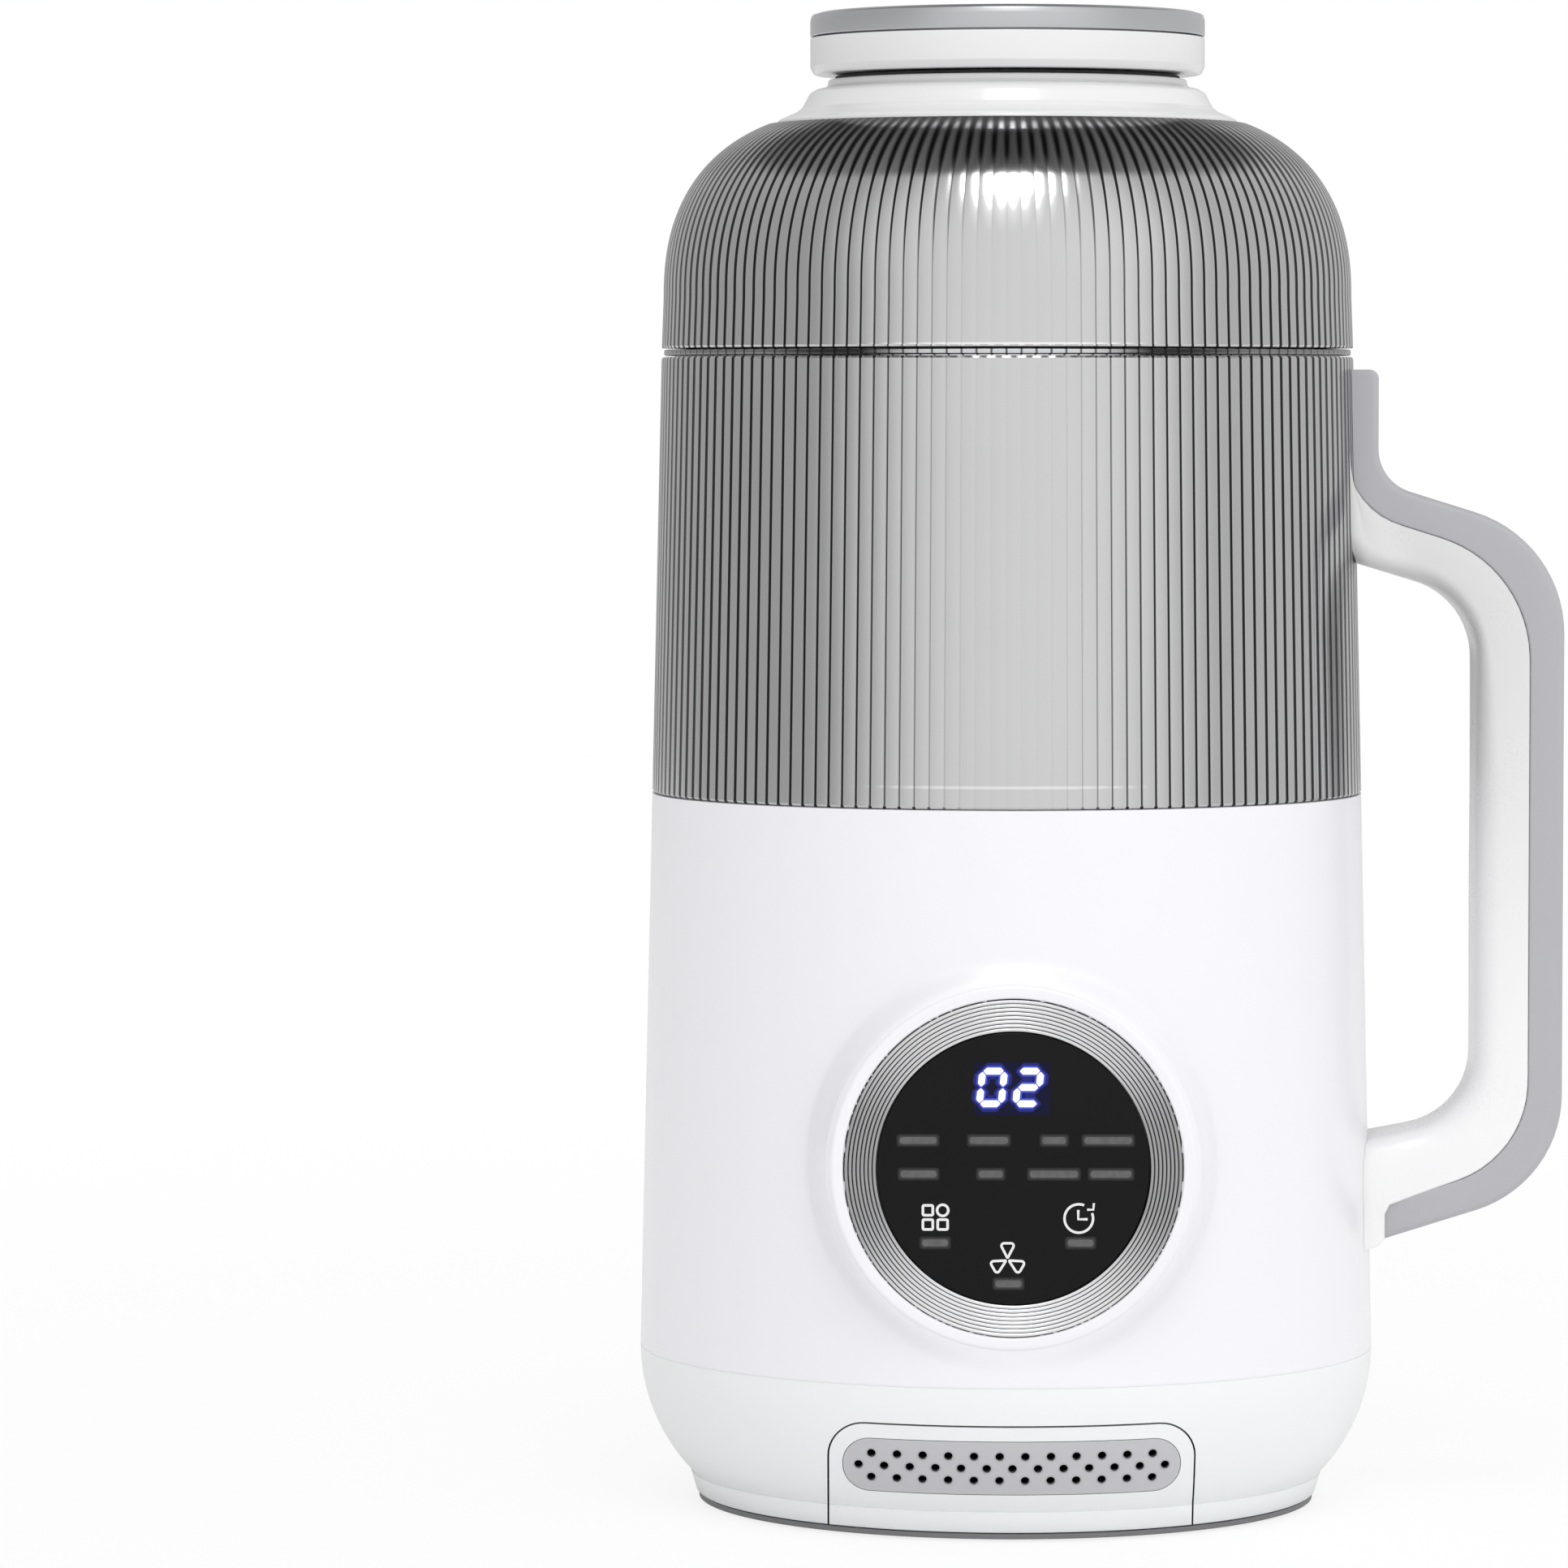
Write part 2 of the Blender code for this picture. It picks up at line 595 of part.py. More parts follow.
def shoulder(outer_radius, run, rise, level, end_radius, steps):
    """Points over the dome's rounded shoulder, from its band up to a given radius."""
    last = (end_radius - outer_radius + run) / run
    shares = [math.cos(math.acos(last) * i / steps) for i in range(steps + 1)]
    heights = [(1 - share**SHOULDER_POWER) ** (1 / SHOULDER_POWER) for share in shares]
    start = outer_radius - run
    return [(start + run * share, level + rise * lift) for share, lift in zip(shares, heights)]


def chin_outline(offset):
    """The skirt's curved outside, moved inwards by an offset, from above the foot ring up."""
    centre_radius = BODY_BASE_RADIUS - CHIN_RADIUS
    low = math.degrees(math.asin((SKIRT_TOP - FOOT_RING_TOP) / CHIN_RADIUS))
    return arc((centre_radius, SKIRT_TOP), CHIN_RADIUS - offset, -low, 0, CHIN_STEPS)


def power_board_posts():
    """The places of the four posts under the power board."""
    across = POWER_BOARD_LENGTH / 2 - BOARD_POST_INSET
    deep = POWER_BOARD_WIDTH / 2 - BOARD_POST_INSET
    return [(i * across, POWER_BOARD_SETBACK + j * deep) for i in (-1, 1) for j in (-1, 1)]


def build_base_plate(frame, paint):
    """The base plate with its air slots, feet, screws and board posts."""
    step_radius = FOOT_RING_RADIUS - BODY_WALL - CLEAR
    profile = [
        (0, STAND_HEIGHT),
        (PLATE_RADIUS, STAND_HEIGHT),
        (PLATE_RADIUS, PLATE_EDGE_TOP),
        (step_radius, PLATE_EDGE_TOP),
        (step_radius, PLATE_TOP),
        (0, PLATE_TOP),
    ]
    plate = to_object("base_plate", turned(profile), frame, paint["grey"])
    pocket_top = STAND_HEIGHT + FOOT_POCKET
    cuts = []
    for number, angle in enumerate(FOOT_ANGLES, start=1):
        place = polar(FOOT_PLACE_RADIUS, angle)
        foot = disc(FOOT_RADIUS, 0, pocket_top - CLEAR, SCREW_STEPS, 0, place)
        to_object(f"foot_{number}", foot, frame, paint["rubber"], (*place, 0))
        pocket = FOOT_RADIUS + CLEAR
        cuts.append(disc(pocket, STAND_HEIGHT - OVERRUN, pocket_top, SCREW_STEPS, 0, place))
    sink = STAND_HEIGHT + CLEAR
    seat = sink + BASE_SCREW_HEAD_HEIGHT + CLEAR
    for number, angle in enumerate(BASE_SCREW_ANGLES, start=1):
        place = polar(BASE_SCREW_PLACE_RADIUS, angle)
        head_radius, shank_radius = BASE_SCREW_HEAD_RADIUS, BASE_SCREW_SHANK_RADIUS
        fastener = screw(head_radius, BASE_SCREW_HEAD_HEIGHT, shank_radius, BASE_SCREW_LENGTH)
        bmesh.ops.translate(fastener, verts=fastener.verts, vec=(*place, sink))
        to_object(f"base_screw_{number}", fastener, frame, paint["steel"], (*place, sink))
        levels = (STAND_HEIGHT - OVERRUN, seat, PLATE_TOP + OVERRUN)
        cuts.append(counterbore(head_radius + CLEAR, shank_radius + CLEAR, levels, place))
    combine(plate, "DIFFERENCE", tool("plate_holes", merge(*cuts), frame))
    slots = []
    for number in range(AIR_SLOT_COUNT):
        half = AIR_SLOT_WIDTH / 2
        low = (AIR_SLOT_INNER, -half, STAND_HEIGHT - OVERRUN)
        slot = block(low, (AIR_SLOT_OUTER, half, PLATE_TOP + OVERRUN))
        turn = Matrix.Rotation(math.tau * number / AIR_SLOT_COUNT, 3, "Z")
        bmesh.ops.rotate(slot, verts=slot.verts, matrix=turn)
        slots.append(slot)
    combine(plate, "DIFFERENCE", tool("air_slots", merge(*slots), frame))
    low, high = PLATE_TOP - CLEAR, POWER_BOARD_BOTTOM - CLEAR
    posts = [disc(BOARD_POST_RADIUS, low, high, SCREW_STEPS, 0, place) for place in power_board_posts()]
    combine(plate, "UNION", tool("board_posts", merge(*posts), frame))


def build_skirt(frame, paint):
    """The rounded skirt, with the ledge and bosses that the base screws hold."""
    seat_radius = FOOT_RING_RADIUS - BODY_WALL
    ledge_bottom = PLATE_TOP + CLEAR
    ledge_top = ledge_bottom + BASE_LEDGE_THICKNESS
    inside = chin_outline(BODY_WALL)
    profile = [
        (seat_radius, SKIRT_BOTTOM),
        (FOOT_RING_RADIUS, SKIRT_BOTTOM),
        (FOOT_RING_RADIUS + FOOT_RING_DRAFT, FOOT_RING_TOP),
        *chin_outline(0),
        *reversed(inside),
        (inside[0][0], ledge_top),
        (BASE_LEDGE_RADIUS, ledge_top),
        (BASE_LEDGE_RADIUS, ledge_bottom),
        (seat_radius, ledge_bottom),
    ]
    skirt = to_object("base_skirt", turned(profile), frame, paint["white"])
    boss_top = ledge_top + BASE_BOSS_HEIGHT
    places = [polar(BASE_SCREW_PLACE_RADIUS, angle) for angle in BASE_SCREW_ANGLES]
    low = ledge_top - CLEAR
    bosses = [disc(BASE_BOSS_RADIUS, low, boss_top, SCREW_STEPS, 0, place) for place in places]
    combine(skirt, "UNION", tool("skirt_bosses", merge(*bosses), frame))
    bore, low, high = BASE_SCREW_SHANK_RADIUS + CLEAR, ledge_bottom - OVERRUN, boss_top + OVERRUN
    bores = [disc(bore, low, high, SCREW_STEPS, 0, place) for place in places]
    combine(skirt, "DIFFERENCE", tool("skirt_bores", merge(*bores), frame))
    return skirt


def vent_outline(grow):
    """The vent panel's arch as seen from the front, grown by a gap."""
    top = SKIRT_BOTTOM + VENT_HEIGHT + grow
    return rounded_box(VENT_HALF_WIDTH + grow, SKIRT_BOTTOM - OVERRUN, top, VENT_CORNER + grow, False)


def grille_outline(grow):
    """The grille's stadium as seen from the front, grown by a gap."""
    top = SKIRT_BOTTOM + VENT_HEIGHT - GRILLE_DROP + grow
    bottom = top - GRILLE_HEIGHT - 2 * grow
    return rounded_box(GRILLE_HALF_WIDTH + grow, bottom, top, GRILLE_HEIGHT / 2 + grow)


def vent_skin():
    """The turned skin that the vent panel and its grille are cut from."""
    back_radius = FOOT_RING_RADIUS - BODY_WALL + CLEAR
    foot = [(back_radius, SKIRT_BOTTOM), (FOOT_RING_RADIUS, SKIRT_BOTTOM)]
    inside = list(reversed(chin_outline(BODY_WALL)))
    return turned([*foot, *chin_outline(0), *inside, (back_radius, FOOT_RING_TOP)])


def build_vent(frame, paint, skirt):
    """The arched vent panel in the skirt's front, and its perforated grille."""
    core_radius = FOOT_RING_RADIUS - BODY_WALL
    side = VENT_HALF_WIDTH + VENT_GAP
    front, back = -(BODY_BASE_RADIUS + OVERRUN), OVERRUN - math.sqrt(core_radius**2 - side**2)
    window = tool("vent_window", prism(vent_outline(VENT_GAP), front, back, "Y"), frame)
    core = disc(core_radius - CLEAR, SKIRT_BOTTOM - 2 * OVERRUN, SKIRT_TOP + OVERRUN, BODY_STEPS)
    combine(window, "DIFFERENCE", tool("vent_core", core, frame))
    combine(skirt, "DIFFERENCE", window)

    panel = to_object("vent_panel", vent_skin(), frame, paint["white"])
    arch = tool("vent_arch", prism(vent_outline(0), front, back, "Y"), frame)
    combine(panel, "INTERSECT", arch)
    hole = tool("grille_window", prism(grille_outline(CLEAR), front, back, "Y"), frame)
    combine(panel, "DIFFERENCE", hole)

    grille = to_object("vent_grille", vent_skin(), frame, paint["grey"])
    blank = tool("grille_blank", prism(grille_outline(0), front, back, "Y"), frame)
    combine(grille, "INTERSECT", blank)
    middle = SKIRT_BOTTOM + VENT_HEIGHT - GRILLE_DROP - GRILLE_HEIGHT / 2
    holes = []
    for row in (-1, 0, 1):
        count = GRILLE_LONG_ROW - abs(row)
        for number in range(count):
            spot = ((number - (count - 1) / 2) * GRILLE_PITCH, middle + row * GRILLE_ROW_PITCH)
            outline = arc(spot, GRILLE_HOLE_RADIUS, 0, 360, GRILLE_HOLE_STEPS)[:-1]
            holes.append(prism(outline, front, back, "Y"))
    combine(grille, "DIFFERENCE", tool("grille_holes", merge(*holes), frame))


def panel_face():
    """The distance from the axis to the control panel's front face."""
    return body_radius(PANEL_HEIGHT) + PANEL_PROUD


def facing(profile, steps=BODY_STEPS):
    """A solid turned about the control panel's own axis.

    Profile points are (radius, distance from the body's axis towards the front)."""
    bm = turned(profile, steps)
    bmesh.ops.rotate(bm, verts=bm.verts, matrix=Matrix.Rotation(math.radians(90), 3, "X"))
    bmesh.ops.translate(bm, verts=bm.verts, vec=(0, 0, PANEL_HEIGHT))
    return bm


def front_block(width, middle, height, near, far):
    """A box behind the panel, between two distances from the body's axis to the front."""
    low = (-width / 2, -far, middle - height / 2)
    return block(low, (width / 2, -near, middle + height / 2))


def inlet_outline(grow):
    """The inlet's outline as seen from behind, grown by a margin."""
    half = INLET_HEIGHT / 2 + grow
    corner = INLET_CORNER + grow
    return rounded_box(INLET_WIDTH / 2 + grow, INLET_CENTRE - half, INLET_CENTRE + half, corner)


def inlet_face():
    """The distance from the axis to the flat pad that the inlet's flange lies on."""
    return body_radius(INLET_CENTRE) + INLET_PAD_PROUD


def along_x(bm, level):
    """Lays an upright turned solid along +X at a height, with its foot on the axis."""
    bmesh.ops.rotate(bm, verts=bm.verts, matrix=Matrix.Rotation(math.radians(90), 3, "Y"))
    bmesh.ops.translate(bm, verts=bm.verts, vec=(0, 0, level))
    return bm


def build_housing(frame, paint):
    """The main housing, with its panel boss, deck shelf, sleeve lip and inlet pad."""
    lip_radius = inner_radius(SLEEVE_BOTTOM) - CLEAR
    outside = [
        (0, HOUSING_BOTTOM),
        (body_radius(HOUSING_BOTTOM), HOUSING_BOTTOM),
        (body_radius(HOUSING_TOP), HOUSING_TOP),
        (lip_radius, HOUSING_TOP),
        (lip_radius, HOUSING_TOP + LIP_RISE),
        (0, HOUSING_TOP + LIP_RISE),
    ]
    housing = to_object("main_housing", turned(outside), frame, paint["white"])

    face = panel_face()
    rim = RING_RADIUS + PANEL_LIP
    root = math.sqrt(body_radius(PANEL_HEIGHT) ** 2 - (rim + PANEL_FLARE) ** 2) - PANEL_FLARE_SINK
    shares = [i / PANEL_FLARE_STEPS for i in range(PANEL_FLARE_STEPS + 1)]
    flank = [(rim + PANEL_FLARE * s**2, face + (root - face) * s) for s in shares]
    boss = facing([(0, face), *flank, (0, root)])
    back = inlet_face()
    pad = prism(inlet_outline(INLET_FLANGE + INLET_PAD_MARGIN), back - BODY_WALL - OVERRUN, back, "Y")
    combine(housing, "UNION", tool("panel_boss", boss, frame), tool("inlet_pad", pad, frame))

    shelf_bottom = SHELF_TOP - SHELF_THICKNESS
    lip_root = HOUSING_TOP - LIP_ROOT
    lip_bore = lip_radius - LIP_WALL
    cavity = [
        (0, HOUSING_BOTTOM - OVERRUN),
        (inner_radius(HOUSING_BOTTOM), HOUSING_BOTTOM - OVERRUN),
        (inner_radius(shelf_bottom), shelf_bottom),
        (SHELF_INNER_RADIUS, shelf_bottom),
        (SHELF_INNER_RADIUS, SHELF_TOP),
        (inner_radius(SHELF_TOP), SHELF_TOP),
        (inner_radius(lip_root), lip_root),
        (lip_bore, lip_root),
        (lip_bore, HOUSING_TOP + OVERRUN + LIP_RISE),
        (0, HOUSING_TOP + OVERRUN + LIP_RISE),
    ]
    cavity = tool("housing_cavity", turned(cavity), frame)
    pocket_floor = face - PANEL_POCKET_DEPTH
    floor_back = pocket_floor - PANEL_FLOOR
    far = face + OVERRUN
    keep = facing([(0, floor_back), (rim, floor_back), (rim, far), (0, far)])
    combine(cavity, "DIFFERENCE", tool("panel_floor", keep, frame))
    bore = RING_RADIUS + CLEAR
    pocket = facing([(0, pocket_floor), (bore, pocket_floor), (bore, far), (0, far)])
    fit = 2 * CLEAR
    near = floor_back - OVERRUN
    window = front_block(DISPLAY_WIDTH + fit, DISPLAY_CENTRE, DISPLAY_HEIGHT + fit, near, far)
    margin = 2 * BAY_MARGIN
    near, recess = floor_back - BAY_DEPTH, floor_back + CLEAR
    bay = front_block(BOARD_WIDTH + margin, PANEL_HEIGHT, BOARD_HEIGHT + margin, near, recess)
    socket = prism(inlet_outline(CLEAR), back - INLET_DEPTH - OVERRUN, back + OVERRUN, "Y")
    screw_hole = disc(HANDLE_SCREW_SHANK_RADIUS + CLEAR, SHELF_INNER_RADIUS, BODY_BASE_RADIUS + OVERRUN)
    cuts = {
        "panel_pocket": pocket,
        "display_window": window,
        "board_bay": bay,
        "inlet_hole": socket,
        "lower_screw_hole": along_x(screw_hole, LOWER_SCREW_LEVEL),
    }
    combine(housing, "DIFFERENCE", cavity, *[tool(name, bm, frame) for name, bm in cuts.items()])


def build_panel(frame, paint):
    """The grooved ring, the glass, the display and the board behind them."""
    face = panel_face()
    ring_back = face - PANEL_POCKET_DEPTH + CLEAR
    glass_face = face - GLASS_SINK
    glass_back = glass_face - GLASS_THICKNESS
    ledge_radius = GLASS_RADIUS - RING_LEDGE_WIDTH
    bore = GLASS_RADIUS + CLEAR
    pitch = (RING_RADIUS - bore) / (GROOVE_COUNT + 1)
    grooves = []
    for number in range(GROOVE_COUNT):
        middle = RING_RADIUS - pitch * (number + 1)
        grooves += [(middle + pitch / 2, face), (middle, face - GROOVE_DEPTH)]
    profile = [
        (ledge_radius, ring_back),
        (RING_RADIUS, ring_back),
        (RING_RADIUS, face),
        *grooves,
        (bore, face),
        (bore, glass_back - CLEAR),
        (ledge_radius, glass_back - CLEAR),
    ]
    centre = (0, -face, PANEL_HEIGHT)
    to_object("panel_ring", facing(profile), frame, paint["steel"], centre)
    pane = [(0, glass_back), (GLASS_RADIUS, glass_back), (GLASS_RADIUS, glass_face), (0, glass_face)]
    to_object("panel_glass", facing(pane), frame, paint["glass"], centre)
    board_front = face - PANEL_POCKET_DEPTH - PANEL_FLOOR - CLEAR
    near, far = board_front + CLEAR, glass_back - CLEAR
    display = front_block(DISPLAY_WIDTH, DISPLAY_CENTRE, DISPLAY_HEIGHT, near, far)
    to_object("display_module", display, frame, paint["dark"], (0, -far, DISPLAY_CENTRE))
    near = board_front - BOARD_THICKNESS
    board = front_block(BOARD_WIDTH, PANEL_HEIGHT, BOARD_HEIGHT, near, board_front)
    to_object("control_board", board, frame, paint["board"], (0, -near, PANEL_HEIGHT))


def build_inlet(frame, paint):
    """The power inlet in the housing's back, with its three pins."""
    back = inlet_face() + CLEAR
    front = back - INLET_DEPTH
    outer = back + INLET_FLANGE_THICKNESS
    centre = (0, outer, INLET_CENTRE)
    shell = prism(inlet_outline(0), front, back + CLEAR, "Y")
    inlet = to_object("power_inlet", shell, frame, paint["dark"], centre)
    flange = prism(inlet_outline(INLET_FLANGE), back, outer, "Y")
    cavity = prism(inlet_outline(-INLET_WALL), front + INLET_WALL, outer + OVERRUN, "Y")
    combine(inlet, "UNION", tool("inlet_flange", flange, frame))
    combine(inlet, "DIFFERENCE", tool("inlet_cavity", cavity, frame))
    slots = []
    for number, column in enumerate((-1, 0, 1), start=1):
        across = column * PIN_SPACING
        level = INLET_CENTRE + PIN_DROP / 2 - PIN_DROP * abs(column)
        half_width, half_height = PIN_WIDTH / 2, PIN_HEIGHT / 2
        low = (across - half_width, front - PIN_TAIL, level - half_height)
        high = (across + half_width, front + PIN_LENGTH, level + half_height)
        to_object(f"inlet_pin_{number}", block(low, high), frame, paint["brass"], (across, front, level))
        fit = Vector((CLEAR, OVERRUN, CLEAR))
        slots.append(block(Vector(low) - fit, Vector((high[0], front + INLET_WALL, high[2])) + fit))
    combine(inlet, "DIFFERENCE", tool("pin_slots", merge(*slots), frame))


def build_power_board(frame, paint):
    """The power board on its posts in the base, with a relay and a capacitor."""
    half_length, half_width = POWER_BOARD_LENGTH / 2, POWER_BOARD_WIDTH / 2
    middle = (0, POWER_BOARD_SETBACK, POWER_BOARD_BOTTOM)
    low = (-half_length, POWER_BOARD_SETBACK - half_width, POWER_BOARD_BOTTOM)
    high = (half_length, POWER_BOARD_SETBACK + half_width, POWER_BOARD_TOP)
    to_object("power_board", block(low, high), frame, paint["board"], middle)
    seat = POWER_BOARD_TOP + CLEAR
    spot = (half_length / 2, POWER_BOARD_SETBACK, seat)
    low = (spot[0] - RELAY_LENGTH / 2, spot[1] - RELAY_WIDTH / 2, seat)
    high = (spot[0] + RELAY_LENGTH / 2, spot[1] + RELAY_WIDTH / 2, seat + RELAY_HEIGHT)
    to_object("relay", block(low, high), frame, paint["dark"], spot)
    spot = (-half_length / 2, POWER_BOARD_SETBACK)
    capacitor = disc(CAPACITOR_RADIUS, seat, seat + CAPACITOR_HEIGHT, SCREW_STEPS, 0, spot)
    to_object("capacitor", capacitor, frame, paint["dark"], (*spot, seat))


def build_sleeve(frame, paint):
    """The fluted clear sleeve and the rim ring on its top edge."""
    def crest_and_valley(height):
        radius = body_radius(height)
        return [(radius, height), (radius - FLUTE_DEPTH, height)]

    ledge_bottom = POT_LEDGE_TOP - POT_LEDGE_THICKNESS
    plain = [
        (inner_radius(SLEEVE_TOP), SLEEVE_TOP),
        (inner_radius(POT_LEDGE_TOP), POT_LEDGE_TOP),
        (POT_LEDGE_RADIUS, POT_LEDGE_TOP),
        (POT_LEDGE_RADIUS, ledge_bottom),
        (inner_radius(ledge_bottom), ledge_bottom),
        (inner_radius(SLEEVE_BOTTOM), SLEEVE_BOTTOM),
    ]
    fluted = [crest_and_valley(SLEEVE_BOTTOM), crest_and_valley(SLEEVE_TOP)]
    sleeve = to_object("clear_sleeve", fluted_shell(fluted, plain), frame, paint["smoke"])
    hole = disc(HANDLE_SCREW_SHANK_RADIUS + CLEAR, POT_LEDGE_RADIUS, BODY_BASE_RADIUS + OVERRUN)
    combine(sleeve, "DIFFERENCE", tool("upper_screw_hole", along_x(hole, UPPER_SCREW_LEVEL), frame))
    wall = inner_radius(SLEEVE_TOP) - CLEAR
    edge = body_radius(SLEEVE_TOP) - RIM_SINK
    profile = [
        (RIM_BORE_RADIUS, POT_TOP + CLEAR),
        (wall, POT_TOP + CLEAR),
        (wall, RIM_BOTTOM),
        (edge, RIM_BOTTOM),
        (edge, RIM_TOP),
        (RIM_BORE_RADIUS, RIM_TOP),
    ]
    to_object("rim_ring", turned(profile), frame, paint["dark"])


def build_deck(frame, paint):
    """The deck on the housing's shelf, the heating plate on it and the thermostat."""
    wall_top = DECK_TOP + DECK_WALL_HEIGHT
    profile = [
        (DECK_BORE_RADIUS, DECK_BOTTOM),
        (DECK_RADIUS, DECK_BOTTOM),
        (DECK_RADIUS, DECK_TOP),
        (DECK_WALL_RADIUS, DECK_TOP),
        (DECK_WALL_RADIUS, wall_top),
        (DECK_WALL_RADIUS - DECK_WALL, wall_top),
        (DECK_WALL_RADIUS - DECK_WALL, DECK_TOP),
        (DECK_BORE_RADIUS, DECK_TOP),
    ]
    to_object("deck", turned(profile, CORE_STEPS), frame, paint["dark"])
    track_inner = HEATER_TRACK_RADIUS - HEATER_TRACK_WIDTH / 2
    track_outer = HEATER_TRACK_RADIUS + HEATER_TRACK_WIDTH / 2
    track_bottom = HEATER_BOTTOM - HEATER_TRACK_DEPTH
    profile = [
        (HEATER_BORE_RADIUS, HEATER_BOTTOM),
        (track_inner, HEATER_BOTTOM),
        (track_inner, track_bottom),
        (track_outer, track_bottom),
        (track_outer, HEATER_BOTTOM),
        (HEATER_RADIUS, HEATER_BOTTOM),
        (HEATER_RADIUS, HEATER_TOP),
        (HEATER_BORE_RADIUS, HEATER_TOP),
    ]
    to_object("heating_plate", turned(profile, CORE_STEPS), frame, paint["steel"])
    place = (0, HEATER_TRACK_RADIUS)
    top = track_bottom - CLEAR
    sensor = disc(THERMOSTAT_RADIUS, top - THERMOSTAT_HEIGHT, top, SCREW_STEPS, 0, place)
    to_object("thermostat", sensor, frame, paint["dark"], (*place, top))


def build_pot(frame, paint):
    """The steel pot, hung by its flange on the sleeve's ledge."""
    flange_radius = inner_radius(SLEEVE_TOP) - CLEAR
    centre = (POT_BASE_RADIUS - POT_CORNER, POT_BOTTOM + POT_CORNER)
    outer_bend = arc(centre, POT_CORNER, -90, 0, POT_CORNER_STEPS)
    inner_bend = arc(centre, POT_CORNER - POT_WALL, 0, -90, POT_CORNER_STEPS)
    profile = [
        (POT_BORE_RADIUS, POT_BOTTOM),
        *outer_bend,
        (POT_RADIUS, POT_FLANGE_BOTTOM),
        (flange_radius, POT_FLANGE_BOTTOM),
        (flange_radius, POT_TOP),
        (POT_RADIUS - POT_WALL, POT_TOP),
        *inner_bend,
        (POT_BORE_RADIUS, POT_FLOOR),
    ]
    to_object("pot", turned(profile), frame, paint["steel"])


def build_blade_seat(frame, paint):
    """The seat through the pot's floor, with its nut, bearings and shaft seal."""
    bore = BEARING_RADIUS + CLEAR
    shaft_bore = SHAFT_RADIUS + CLEAR
    shoulder_top = UPPER_BEARING_BOTTOM - CLEAR
    shoulder_bottom = SEAT_BOTTOM + BEARING_HEIGHT + CLEAR
    profile = [
        (SEAT_RADIUS, SEAT_BOTTOM),
        (SEAT_RADIUS, SEAT_FLANGE_BOTTOM),
        (SEAT_FLANGE_RADIUS, SEAT_FLANGE_BOTTOM),
        (SEAT_FLANGE_RADIUS - SEAT_FLANGE / 2, SEAT_TOP),
        (bore, SEAT_TOP),
        (bore, shoulder_top),
        (bore - SEAT_SHOULDER, shoulder_top),
        (bore - SEAT_SHOULDER, shoulder_bottom),
        (bore, shoulder_bottom),
        (bore, SEAT_BOTTOM),
    ]
    to_object("blade_seat", turned(profile, CORE_STEPS), frame, paint["steel"])
    nut_top = POT_BOTTOM - CLEAR
    nut = disc(SEAT_NUT_RADIUS, nut_top - SEAT_NUT_HEIGHT, nut_top, CORE_STEPS, SEAT_RADIUS + CLEAR)
    to_object("seat_nut", nut, frame, paint["steel"])
    for name, bottom in (("lower_bearing", SEAT_BOTTOM), ("upper_bearing", UPPER_BEARING_BOTTOM)):
        bearing = disc(BEARING_RADIUS, bottom, bottom + BEARING_HEIGHT, CORE_STEPS, shaft_bore)
        to_object(name, bearing, frame, paint["steel"])
    seal_bottom = UPPER_BEARING_BOTTOM + BEARING_HEIGHT + CLEAR
    seal = disc(BEARING_RADIUS, seal_bottom, seal_bottom + SHAFT_SEAL_HEIGHT, CORE_STEPS, shaft_bore)
    to_object("shaft_seal", seal, frame, paint["rubber"])


def build_motor(frame, paint):
    """The motor's can, magnets and end cap, below the deck."""
    wall = MOTOR_RADIUS - MOTOR_WALL
    profile = [
        (MOTOR_BORE_RADIUS, MOTOR_TOP),
        (MOTOR_RADIUS, MOTOR_TOP),
        (MOTOR_RADIUS, MOTOR_BOTTOM),
        (wall, MOTOR_BOTTOM),
        (wall, MOTOR_TOP - MOTOR_WALL),
        (MOTOR_BORE_RADIUS, MOTOR_TOP - MOTOR_WALL),
    ]
    to_object("motor_can", turned(profile, CORE_STEPS), frame, paint["steel"])
    for name, angle in (("magnet_left", 180), ("magnet_right", 0)):
        outer = (wall - CLEAR) * math.cos(math.pi / CORE_STEPS)
        inner = outer - MAGNET_THICKNESS
        magnet = sector(inner, outer, angle, MAGNET_SPAN, MAGNET_BOTTOM, MAGNET_TOP, MAGNET_STEPS)
        to_object(name, magnet, frame, paint["dark"])
    top = MOTOR_BOTTOM - CLEAR
    bottom = MOTOR_BOTTOM - END_CAP_THICKNESS
    spigot = wall - CLEAR
    shaft_bore = SHAFT_RADIUS + CLEAR
    profile = [
        (shaft_bore, bottom),
        (MOTOR_RADIUS, bottom),
        (MOTOR_RADIUS, top),
        (spigot, top),
        (spigot, top + END_CAP_RIM),
        (spigot - MOTOR_WALL, top + END_CAP_RIM),
        (spigot - MOTOR_WALL, top),
        (shaft_bore, top),
    ]
    end_cap = to_object("motor_end_cap", turned(profile, CORE_STEPS), frame, paint["dark"])
    holes = []
    for number in range(END_CAP_SLOTS):
        place = polar(END_CAP_SLOT_PLACE, 360 * number / END_CAP_SLOTS)
        low, high = bottom - OVERRUN, top + OVERRUN
        holes.append(disc(END_CAP_SLOT_RADIUS, low, high, SCREW_STEPS, 0, place))
    combine(end_cap, "DIFFERENCE", tool("end_cap_holes", merge(*holes), frame))


